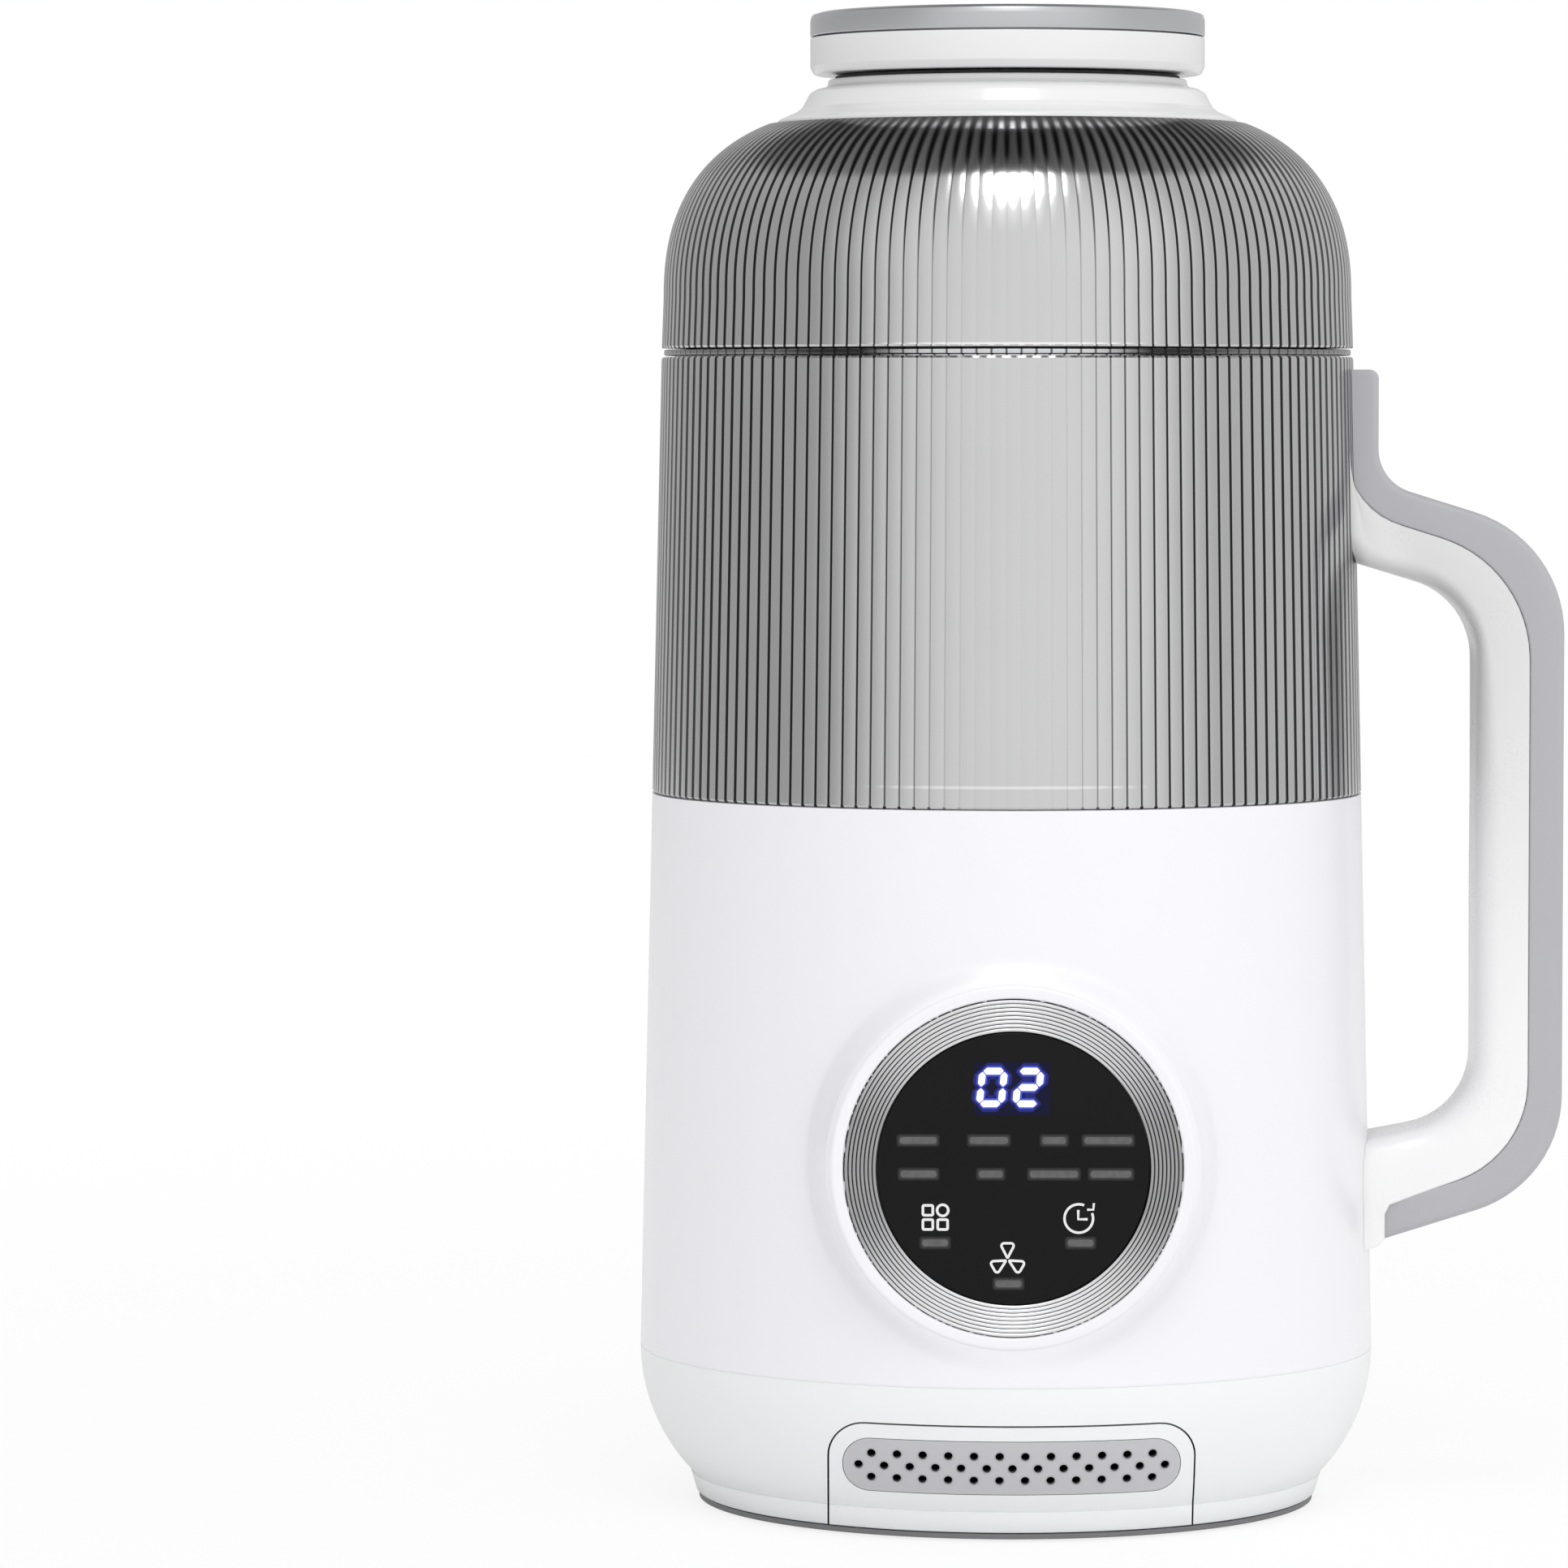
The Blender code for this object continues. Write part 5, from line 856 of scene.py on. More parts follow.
def softened(
    outline: Sequence[Flat], radius: float | Sequence[float], steps: int = 4, closed: bool = True
) -> list[Flat]:
    """Rounds the corners of an outline.

    Args:
        outline: its corners in order.
        radius: one radius for all corners, or one for each; 0 keeps a corner.
        steps: the number of faces in each round.
        closed: whether the outline closes on itself; if not, its ends stay.

    Returns:
        The rounded outline.
    """
    count = len(outline)
    radii = [radius] * count if isinstance(radius, (int, float)) else list(radius)
    made: list[Flat] = []
    for i, point in enumerate(outline):
        here = Vector(point)
        back = Vector(outline[i - 1]) - here
        ahead = Vector(outline[(i + 1) % count]) - here
        at_end = not closed and i in (0, count - 1)
        half = 0.0
        if not at_end and radii[i] > 0 and min(back.length, ahead.length) >= SHORTEST:
            half = back.angle(ahead) / 2
        if half < FLATTEST or half > math.pi / 2 - FLATTEST:
            made.append(tuple(here))
            continue
        cut_off = min(radii[i] / math.tan(half), LONGEST * back.length, LONGEST * ahead.length)
        size = cut_off * math.tan(half)
        middle = here + (back.normalized() + ahead.normalized()).normalized() * size / math.sin(half)
        begin = here + back.normalized() * cut_off - middle
        end = here + ahead.normalized() * cut_off - middle
        start = math.degrees(math.atan2(begin.y, begin.x))
        sweep = math.degrees(math.atan2(begin.cross(end), begin.dot(end)))
        made += arc(tuple(middle), size, start, start + sweep, steps)
    return made


def boxed(
    half: float, bottom: float, top: float, corner: float, square: bool = False, steps: int = 10
) -> list[Flat]:
    """Draws a rectangle about x = 0 with round corners.

    Args:
        half: half its width.
        bottom: the height of its lower edge.
        top: the height of its upper edge.
        corner: the radius of its corners.
        square: whether the bottom corners stay square.
        steps: the number of faces in each round.

    Returns:
        The outline.
    """
    outline = [(half, bottom), (half, top), (-half, top), (-half, bottom)]
    low = 0.0 if square else corner
    return softened(outline, (low, corner, corner, low), steps)


def rectangle(left: float, low: float, right: float, high: float) -> list[Flat]:
    """The corners of a rectangle, from the lower left one on."""
    return [(left, low), (right, low), (right, high), (left, high)]


def upright(radius: float, turn: float, height: float) -> Spot:
    """A point about the body's upright axis, from millimetres."""
    return (AXIS_X + radius * MM * math.cos(turn), radius * MM * math.sin(turn), height * MM)


def facing(radius: float, turn: float, out: float) -> Spot:
    """A point about the control panel's axis, from millimetres; out is its distance from the body's axis."""
    return (AXIS_X + radius * MM * math.cos(turn), -out * MM, PANEL_LEVEL * MM + radius * MM * math.sin(turn))


def rows_round(profile: Sequence[Flat], turns: Sequence[float]) -> list[list[Spot]]:
    """A row of points about the upright axis for each (radius, height) point, from millimetres."""
    return [[upright(radius, turn, height) for turn in turns] for radius, height in profile]


def laid(outline: Sequence[Flat], depth: float) -> list[Spot]:
    """An outline of (x, z) points at a depth along Y, from millimetres, with x from the body's axis."""
    return [(AXIS_X + x * MM, depth * MM, z * MM) for x, z in outline]


def turned(profile: Sequence[Flat], faces: int, put: Callable[..., Spot] = upright) -> Shape:
    """Turns a closed outline of (radius, height) points about an axis.

    Args:
        profile: the outline, in millimetres.
        faces: the number of faces round.
        put: places a point of the turned shape.

    Returns:
        The turned shape.
    """
    rings = []
    for radius, height in profile:
        count = 1 if radius < SHORTEST else faces
        rings.append([put(radius, math.tau * i / faces, height) for i in range(count)])
    return Shape().skin(rings, closed=True)


def reeded(outer: Sequence[tuple[Flat, Flat]], inner: Sequence[Flat]) -> Shape:
    """A turned shell with convex reeds outside.

    Args:
        outer: (crest, valley) pairs of (radius, height) points in millimetres, from the bottom up.
        inner: the points that close the outline, from the top down.

    Returns:
        The shell.
    """
    turns = [math.tau * (reed + (cut + 1) / 2) / REEDS for reed in range(REEDS) for cut in REED_CUTS]
    shares = [cut * cut for cut in REED_CUTS] * REEDS
    rings = []
    for (crest_radius, crest_height), (valley_radius, valley_height) in outer:
        ring = []
        for turn, share in zip(turns, shares):
            radius = crest_radius + (valley_radius - crest_radius) * share
            ring.append(upright(radius, turn, crest_height + (valley_height - crest_height) * share))
        rings.append(ring)
    return Shape().skin(rings + rows_round(inner, turns), closed=True)


@dataclass(frozen=True)
class Outline:
    """What a piece is turned from: (radius, height) points and their corners' rounds, in millimetres."""

    points: tuple[Flat, ...]
    rounds: float | tuple[float, ...] = 0.0
    round_steps: int = 4
    faces: int = 160
    put: Callable[..., Spot] = upright
    sharp: float = SHARP

    def shape(self) -> Shape:
        """The turned shape."""
        points = softened(self.points, self.rounds, self.round_steps) if self.rounds else self.points
        return turned(points, self.faces, self.put)


def cut(target: bpy.types.Object, operation: str, helper: bpy.types.Object) -> None:
    """Cuts or intersects one object with another, for good, and removes the helper.

    Args:
        target: the object that is kept.
        operation: the Boolean's operation.
        helper: the object that cuts.
    """
    step = target.modifiers.new("cut", "BOOLEAN")
    step.operation, step.solver, step.object = operation, "EXACT", helper
    bpy.context.view_layer.update()
    graph = bpy.context.evaluated_depsgraph_get()
    mesh = bpy.data.meshes.new_from_object(target.evaluated_get(graph))
    target.modifiers.clear()
    old, target.data = target.data, mesh
    mesh.name = old.name
    mesh.set_sharp_from_angle(angle=math.radians(CUT_SHARP))
    bpy.data.meshes.remove(old)
    bpy.data.objects.remove(helper)


@dataclass
class Assembly:
    """A group of pieces on one CAD body."""

    part: Part = Part.BASE
    made: list[bpy.types.Object] = field(default_factory=list)

    def add(self, piece: bpy.types.Object, slot: str, *nodes: str) -> None:
        """Puts a piece on the body, hides the CAD nodes that it replaces and logs its name.

        Args:
            piece: the finished object.
            slot: the record's material slot; not used.
            nodes: the CAD nodes that it replaces.
        """
        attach(piece, self.part.value)
        if nodes:
            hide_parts(*nodes)
        self.made.append(piece)
        LOG.info("%s: %s", self.part.value, piece.name)

    def turn(self, outline: Outline, name: str, finish: Finish, slot: str, *nodes: str) -> None:
        """Turns a piece from its outline and puts it on the body.

        Args:
            outline: what it is turned from.
            name: the piece's name.
            finish: what it is made of.
            slot: the record's material slot.
            nodes: the CAD nodes that it replaces.
        """
        self.add(outline.shape().build(name, finish, outline.sharp), slot, *nodes)

    def dress(self, finish: Finish, *nodes: str) -> None:
        """Gives CAD nodes whose shape is right a finish of their own.

        Args:
            finish: what they are made of.
            nodes: the CAD nodes.
        """
        for node in nodes:
            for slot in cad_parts[node].material_slots:
                slot.material = finish.make()
            LOG.info("%s: %s in %s", self.part.value, node, finish.title)

    def build(self) -> None:
        """Makes and dresses the pieces."""
        raise NotImplementedError


@dataclass
class Base(Assembly):
    """The base plate, the rounded skirt and the vent in its front. Sizes in millimetres."""

    foot_ring: float = 62.6
    ring_top: float = 6.0
    ring_draft: float = 1.2
    skirt_bottom: float = 1.8
    skirt_edge: float = 0.3
    blend: float = 0.8
    chin: float = 36.0
    vent_half: float = 35.5
    vent_foot: float = -3.0
    vent_top: float = 23.8
    vent_corner: float = 7.0
    groove: float = 0.35
    inlay: float = 0.3
    pill_half: float = 32.8
    pill_low: float = 9.9
    pill_high: float = 20.9
    pill_gap: float = 0.12
    hole: float = 0.85
    row_holes: int = 13
    pitch: float = 4.96
    row_pitch: float = 2.5
    hole_rim: tuple[Flat, ...] = ((0.0, -0.05), (0.08, 0.05), (0.22, 0.05), (0.3, -0.05))
    cut_front: float = -80.0
    cut_back: float = -46.0
    shade_sheet_gap: float = 1.6
    shade_sheet_half_turn: float = 35.0
    faces: int = 240
    chin_steps: int = 28
    hole_steps: int = 12
    rim_steps: int = 16
    shade_sheet_steps: int = 40
    plate_rim: Outline = Outline(((60.6, 0.47), (62.03, 0.47), (62.03, 1.53), (60.6, 1.53)), 0.1, faces=200)

    def chin_line(self, inset: float) -> list[Flat]:
        """The skirt's curved side, moved in by an inset, from the foot ring up."""
        low = math.degrees(math.asin((TAPER_START - self.ring_top) / self.chin))
        return arc((BODY_RADIUS - self.chin, TAPER_START), self.chin - inset, -low, 0, self.chin_steps)

    def skin(self, inlay: float = 0.0) -> Shape:
        """Turns the skirt.

        Args:
            inlay: how much thinner its foot is.

        Returns:
            The turned shape.
        """
        seat = self.foot_ring - WALL + inlay
        edge = self.skirt_bottom + self.skirt_edge
        foot = [(seat, self.skirt_bottom), (self.foot_ring - self.skirt_edge, self.skirt_bottom)]
        rise = [(self.foot_ring, edge), (self.foot_ring + self.ring_draft, self.ring_top)]
        side = self.chin_line(0)
        blend = softened([*rise, *side[:3]], self.blend, 4, False)
        inner = reversed(self.chin_line(WALL))
        return turned([*foot, *blend[:-2], *side[1:], *inner, (seat, self.ring_top)], self.faces)

    def carve(self, piece: bpy.types.Object, operation: str, *outlines: Sequence[Flat]) -> None:
        """Cuts outlines through the front of a piece, or keeps only what lies in them.

        Args:
            piece: the piece, which is changed.
            operation: the Boolean's operation.
            outlines: closed outlines of (x, z) points.
        """
        tool = Shape()
        for outline in outlines:
            tool.skin([laid(outline, self.cut_front), laid(outline, self.cut_back)], caps=True)
        cut(piece, operation, tool.build("tool", SHADE_BLACK))

    def arch(self, grow: float = 0.0) -> list[Flat]:
        """The vent panel's outline, grown by a margin."""
        half, top = self.vent_half + grow, self.vent_top + grow
        return boxed(half, self.vent_foot, top, self.vent_corner + grow, True)

    def pill(self, grow: float = 0.0) -> list[Flat]:
        """Draws the grille's outline.

        Args:
            grow: the margin by which it grows.

        Returns:
            The outline.
        """
        low, high = self.pill_low - grow, self.pill_high + grow
        corner = (self.pill_high - self.pill_low) / 2 + grow
        return boxed(self.pill_half + grow, low, high, corner)

    def hole_spots(self) -> list[Flat]:
        """Places the grille's holes in three staggered rows.

        Returns:
            The middle of each hole.
        """
        middle = (self.pill_low + self.pill_high) / 2
        spots = []
        for row in (-1, 0, 1):
            count = self.row_holes - abs(row)
            level = middle + row * self.row_pitch
            spots += [((number - (count - 1) / 2) * self.pitch, level) for number in range(count)]
        return spots

    def build(self) -> None:
        """Makes and dresses the pieces."""
        skirt = self.skin().build("skirt_shell", CHIN_WHITE)
        self.carve(skirt, "DIFFERENCE", self.arch(self.groove))
        self.add(skirt, "white_plastic", "base_skirt")

        panel = self.skin(self.inlay).build("vent_cover", CHIN_WHITE)
        self.carve(panel, "INTERSECT", self.arch())
        self.carve(panel, "DIFFERENCE", self.pill(self.pill_gap))
        self.add(panel, "white_plastic", "vent_panel")

        grille = self.skin(self.inlay).build("vent_screen", VENT_GREY)
        self.carve(grille, "INTERSECT", self.pill())
        spots = self.hole_spots()
        holes = [arc(spot, self.hole, 0, 360, self.hole_steps)[:-1] for spot in spots]
        self.carve(grille, "DIFFERENCE", *holes)
        self.add(grille, "grey_plastic", "vent_grille")
        rims = Shape()
        for spot in spots:
            self.rim(rims, spot)
        self.add(rims.build("vent_hole_rims", GREY), "grey_plastic")

        # Painted shade: a black sheet behind the grille stands in for the shade inside the base, seen through
        # its holes
        half, steps = self.shade_sheet_half_turn, self.shade_sheet_steps
        turns = [math.radians(-90 - half + 2 * half * i / steps) for i in range(steps + 1)]
        shade = Shape().skin(rows_round(self.chin_line(WALL + self.shade_sheet_gap), turns), loop=False)
        self.add(shade.build("vent_shade_sheet", SHADE_BLACK), "dark_plastic")

        self.turn(self.plate_rim, "bottom_rim", PLATE_GREY, "grey_plastic")
        self.dress(PLATE_GREY, "base_plate")
        self.dress(RUBBER, "foot_1", "foot_2", "foot_3", "foot_4")
        self.dress(BLADE_STEEL, "base_screw_1", "base_screw_2", "base_screw_3", "base_screw_4")

    def rim(self, shape: Shape, spot: Flat) -> None:
        """Adds the thin raised rim round one grille hole, on the skirt's curved front.

        Args:
            shape: gathers the rims.
            spot: the hole's middle.
        """
        rings = []
        for outset, proud in self.hole_rim:
            ring = []
            for x, z in arc(spot, self.hole + outset, 0, 360, self.rim_steps)[:-1]:
                reach = BODY_RADIUS - self.chin + math.sqrt(self.chin**2 - (TAPER_START - z) ** 2)
                ring += laid([(x, z)], -(math.sqrt(reach**2 - x * x) + proud))
            rings.append(ring)
        shape.skin(rings)


@dataclass
class Housing(Assembly):
    """The main housing with its soft panel boss and sleeve lip. Sizes in millimetres."""

    bottom: float = 31.42
    top: float = 142.9
    lip_top: float = 147.3
    lip_gap: float = 0.3
    bevel: float = 0.4
    shelf: float = 87.7
    shelf_thick: float = 3.4
    boss: float = 34.8
    boss_sink: float = 0.35
    flank: float = 5.5
    frontmost: float = 0.3
    settling: int = 16
    levels: int = 180
    hollow: float = 68.5
    ring_hole: float = 32.9
    inlet_hole: Flat = (14.6, 10.6)
    front_turns: Flat = (-132.0, -48.0)
    back_turns: Flat = (72.0, 108.0)
    front_step: float = 0.5
    back_step: float = 0.75
    side_step: float = 1.5
    foot_bevel: Flat = (0.03, 0.05)

    def skin_radius(self, turn: float, height: float) -> float:
        """Works out the outer radius, with the boss round the panel.

        The boss fades with the distance from its middle, which depends on the radius itself, so the
        radius is settled in rounds.

        Args:
            turn: the angle about the body's axis.
            height: the height.

        Returns:
            The radius.
        """
        plain = body_radius(height)
        across, deep = math.cos(turn), -math.sin(turn)
        if deep <= self.frontmost:
            return plain
        flat = (PANEL_FACE - self.boss_sink) / deep
        if flat <= plain:
            return plain
        radius = flat
        for _ in range(self.settling):
            off = math.hypot(radius * across, height - PANEL_LEVEL)
            share = min(max((off - self.boss) / self.flank, 0.0), 1.0)
            share = share * share * (3 - 2 * share)
            radius = (radius + plain + (flat - plain) * (1 - share)) / 2
        return radius

    def turns(self) -> list[float]:
        """Places the skin's columns, closest together round the panel and the inlet.

        Returns:
            The columns' angles in radians.
        """
        made = []
        angle = -180.0
        while angle < 180.0 - SHORTEST:
            made.append(math.radians(angle))
            near_front = self.front_turns[0] < angle < self.front_turns[1]
            near_back = self.back_turns[0] < angle < self.back_turns[1]
            angle += self.front_step if near_front else self.back_step if near_back else self.side_step
        return made

    def build(self) -> None:
        """Makes and dresses the pieces."""
        turns = self.turns()
        inset, rise = self.foot_bevel
        start = self.bottom + rise
        heights = [start + (self.top - start) * i / self.levels for i in range(self.levels + 1)]
        rows = rows_round([(body_radius(self.bottom) - inset, self.bottom)], turns)
        rows += [[upright(self.skin_radius(t, h), t, h) for t in turns] for h in heights]
        top, lip_top, bevel = self.top, self.lip_top, self.bevel
        edge = body_radius(top)
        lip = edge - WALL - self.lip_gap
        inner = [
            (edge - 0.12, top + 0.02), (edge - 0.35, top + 0.12), (edge - 0.6, top + 0.15),
            (lip, top + 0.15), (lip, lip_top - bevel), (lip - bevel, lip_top), (lip - 1.8, lip_top),
            (lip - 2.2, lip_top - bevel), (lip - 2.2, top - 3), (68.8, top - 3), (70.2, self.shelf),
            (61, self.shelf), (61, self.shelf - self.shelf_thick), (70.4, self.shelf - self.shelf_thick),
            (71.4, self.bottom),
        ]
        shape = Shape().skin(rows + rows_round(inner, turns), closed=True)
        shape.faces = [face for face in shape.faces if not self.opened(shape, face)]
        self.add(shape.build("housing_shell", WHITE), "white_plastic", "main_housing")

    def opened(self, shape: Shape, face: tuple[int, ...]) -> bool:
        """Finds the faces of the wall that the panel's and the inlet's openings take away.

        Args:
            shape: the shape that holds the face.
            face: the numbers of its corners.

        Returns:
            Whether the face lies in an opening.
        """
        middle = sum((Vector(shape.points[i]) for i in face), Vector()) / len(face)
        x, z = (middle.x - AXIS_X) / MM, middle.z / MM
        if math.hypot(x, middle.y / MM) < self.hollow:
            return False
        if middle.y > 0:
            return abs(x) < self.inlet_hole[0] and abs(z - INLET_LEVEL) < self.inlet_hole[1]
        return math.hypot(x, z - PANEL_LEVEL) < self.ring_hole


@dataclass
class ControlPanel(Assembly):
    """The white lip, the grooved ring, the glass and the marks on it. Sizes in millimetres."""

    lip: Outline = Outline(
        (
            (32.75, PANEL_FACE - 3.5), (32.75, PANEL_FACE), (35.0, PANEL_FACE),
            (36.4, PANEL_FACE - 1.8), (36.4, PANEL_FACE - 3.5),
        ),
        (0, 0.5, 0.9, 0.9, 0), 6, 200, facing,
    )
    pane: Outline = Outline(
        (
            (0, PANEL_FACE - 2.0), (26.3, PANEL_FACE - 2.0),
            (26.3, PANEL_FACE - GLASS_SINK), (0, PANEL_FACE - GLASS_SINK),
        ),
        (0, 0, 0.35, 0), put=facing, sharp=50,
    )
    ring: float = 32.6
    ring_bore: float = 26.42
    ring_foot: float = 24.1
    grooves: int = 8
    groove_depth: float = 0.3
    groove_shares: tuple[float, ...] = (0.0, 0.06, 0.15, 0.3, 0.5, 0.7, 0.85, 0.94)
    slant: float = 0.10
    rise: float = 0.45
    digits: tuple[tuple[float, str], ...] = ((-4.15, "abcdef"), (2.85, "abged"))
    digit_level: float = 15.25
    digit_size: Flat = (2.1, 3.15)
    bars: tuple[tuple[float, tuple[Flat, ...]], ...] = (
        (5.0, ((-22.2, -14.5), (-8.7, -0.75), (5.3, 10.4), (13.4, 23.1))),
        (-1.5, ((-22.0, -14.5), (-6.9, -1.8), (2.9, 12.7), (14.6, 23.0))),
        (-14.8, ((-17.8, -12.3), (10.2, 15.7))),
        (-22.7, ((-3.7, 1.9),)),
    )
    bar_half: float = 0.95
    bar_round: float = 0.55
    keys: tuple[Flat, ...] = ((-16.45, -8.5), (-16.45, -11.25), (-13.6, -11.25))
    key_half: float = 0.95
    round_key: Flat = (-13.6, -8.5)
    clock: Flat = (12.6, -10.05)
    hub: Flat = (-1.1, -18.05)
    wing: tuple[Flat, ...] = ((0.3, 0.0), (3.2, 1.5), (3.2, -1.5))
    line: float = 0.48
    key_line: float = 0.5

    def build(self) -> None:
        """Makes and dresses the pieces."""
        self.turn(self.lip, "panel_lip", WHITE, "white_plastic")
        self.turn(self.grooved(), "spun_ring", RING_METAL, "aluminium", "panel_ring")
        self.turn(self.pane, "glass_pane", GLASS, "black_glass", "panel_glass")
        self.light_marks()
        self.add(self.icons().build("panel_icons", ICONS), "black_glass")
        self.dress(BLACK, "display_module")
        self.dress(BOARD, "control_board")

    def grooved(self) -> Outline:
        """Draws the spun ring's outline with its concentric grooves.

        Returns:
            The outline.
        """
        pitch = (self.ring - self.ring_bore) / self.grooves
        back = PANEL_FACE - 3.9
        points = [(self.ring_foot, back), (self.ring, back)]
        for number in range(self.grooves):
            outer = self.ring - pitch * number
            for share in self.groove_shares:
                depth = self.groove_depth * (2 * share - 1) ** 4
                points.append((outer - pitch * share, PANEL_FACE - depth))
        points += [(self.ring_bore, PANEL_FACE - 0.4), (self.ring_bore, PANEL_FACE - 2.3)]
        points.append((self.ring_foot, PANEL_FACE - 2.3))
        return Outline(tuple(points), faces=200, put=facing, sharp=60)

    def spot(self, x: float, z: float, lift: float) -> Spot:
        """A point on the glass, in millimetres from its centre."""
        return (AXIS_X + x * MM, -(PANEL_FACE - GLASS_SINK + lift) * MM, (PANEL_LEVEL + z + self.rise) * MM)

    def decal(self, shape: Shape, outline: Sequence[Flat], lift: float) -> None:
        """Adds a flat mark on the glass, which stands as proud as its lift."""
        shape.skin([[self.spot(x, z, level) for x, z in outline] for level in (SUNK, lift)], caps=True)

    def stroke(self, shape: Shape, path: Sequence[Flat], width: float, closed: bool = False) -> None:
        """Adds a line of even width along a path.

        Args:
            shape: gathers the line.
            path: its points, in millimetres from the glass's centre.
            width: its width in millimetres.
            closed: whether it ends where it starts.
        """
        points = [Vector(p) for p in path]
        count = len(points)
        columns = []
        for i, here in enumerate(points):
            before = points[i - 1] if i or closed else here
            after = points[(i + 1) % count] if i < count - 1 or closed else here
            way = (after - before).normalized()
            side = Vector((-way.y, way.x)) * width / 2
            left, right = here + side, here - side
            section = ((right, SUNK), (right, PROUD), (left, PROUD), (left, SUNK))
            columns.append([self.spot(p.x, p.y, lift) for p, lift in section])
        shape.skin(columns, closed=closed, caps=not closed)

    def light_marks(self) -> None:
        """Makes the display window, and the digits and bars with the painted glow and haze round them."""
        window = Shape()
        self.decal(window, softened(rectangle(-7.6, 9.9, 7.1, 20.1), 0.4), 0.03)
        self.add(window.build("display_window", WINDOW), "black_glass")
        # The digits, with painted glow and haze round them
        for title, finish, thick, lift in (
            ("digit_glow_haze", DIGIT_GLOW_HAZE, 1.6, 0.04),
            ("digit_glow", DIGIT_GLOW, 1.02, 0.05),
            ("display_digits", DIGITS, 0.66, 0.06),
        ):
            shape = Shape()
            for x, lit in self.digits:
                self.digit(shape, x, lit, thick, lift)
            self.add(shape.build(title, finish), "black_glass")
        # The printed bars shine by emission, with painted glow and haze round them
        for title, finish, grow, lift in (
            ("bar_glow_haze", WORD_GLOW_HAZE, 0.3, 0.03),
            ("bar_glow", WORD_GLOW, 0.02, 0.04),
            ("panel_bars", WORDS, -0.28, 0.05),
        ):
            shape = Shape()
            for level, spans in self.bars:
                low, high = level - self.bar_half - grow, level + self.bar_half + grow
                for start, end in spans:
                    box = rectangle(start - grow, low, end + grow, high)
                    self.decal(shape, softened(box, self.bar_round), lift)
            self.add(shape.build(title, finish), "black_glass")

    def icons(self) -> Shape:
        """Draws the four key shapes, the clock with its arrow and the open blades.

        Returns:
            The shape that holds them all.
        """
        shape = Shape()
        half = self.key_half
        for x, z in self.keys:
            box = rectangle(x - half, z - half, x + half, z + half)
            self.stroke(shape, softened(box, 0.2, 2), self.key_line, True)
        self.stroke(shape, arc(self.round_key, 1.08, 0, 345, 23), self.key_line, True)
        self.stroke(shape, arc(self.clock, 2.75, 68, 382, 44), self.line)
        self.stroke(shape, [(12.5, -8.4), (12.5, -10.2), (14.3, -10.2)], 0.5)
        self.stroke(shape, [(14.2, -8.35), (15.4, -8.35), (15.5, -7.1)], 0.45)
        wing = softened(self.wing, (0.1, 0.5, 0.5), 4)
        for turn in (math.radians(angle) for angle in (90, 210, 330)):
            across, up = math.cos(turn), math.sin(turn)
            path = [(self.hub[0] + u * across - v * up, self.hub[1] + u * up + v * across) for u, v in wing]
            self.stroke(shape, path, self.line, True)
        return shape

    def digit(self, shape: Shape, x: float, lit: str, thick: float, lift: float) -> None:
        """Adds one seven-segment digit.

        Args:
            shape: gathers the segments.
            x: the digit's middle, in millimetres from the glass's centre.
            lit: the letters of its lit segments.
            thick: half the width of a segment.
            lift: how proud it stands in millimetres.
        """
        wide, tall = self.digit_size
        segments = {
            "a": ((-wide, tall), (wide, tall)), "b": ((wide, tall), (wide, 0)),
            "c": ((wide, 0), (wide, -tall)), "d": ((-wide, -tall), (wide, -tall)),
            "e": ((-wide, 0), (-wide, -tall)), "f": ((-wide, tall), (-wide, 0)), "g": ((-wide, 0), (wide, 0)),
        }
        for letter in lit:
            (x1, z1), (x2, z2) = segments[letter]
            length = abs(x2 - x1) + abs(z2 - z1)
            along_x, along_z = (x2 - x1) / length, (z2 - z1) / length
            near = 0.78 - thick
            far = length - near
            outline = []
            for along, off in (
                (near, 0), (near + thick, thick), (far - thick, thick),
                (far, 0), (far - thick, -thick), (near + thick, -thick),
            ):
                u, v = x1 + along_x * along + along_z * off, z1 + along_z * along - along_x * off
                outline.append((x + u + v * self.slant, self.digit_level + v))
            self.decal(shape, softened(outline, 0.3 * thick, 3), lift)


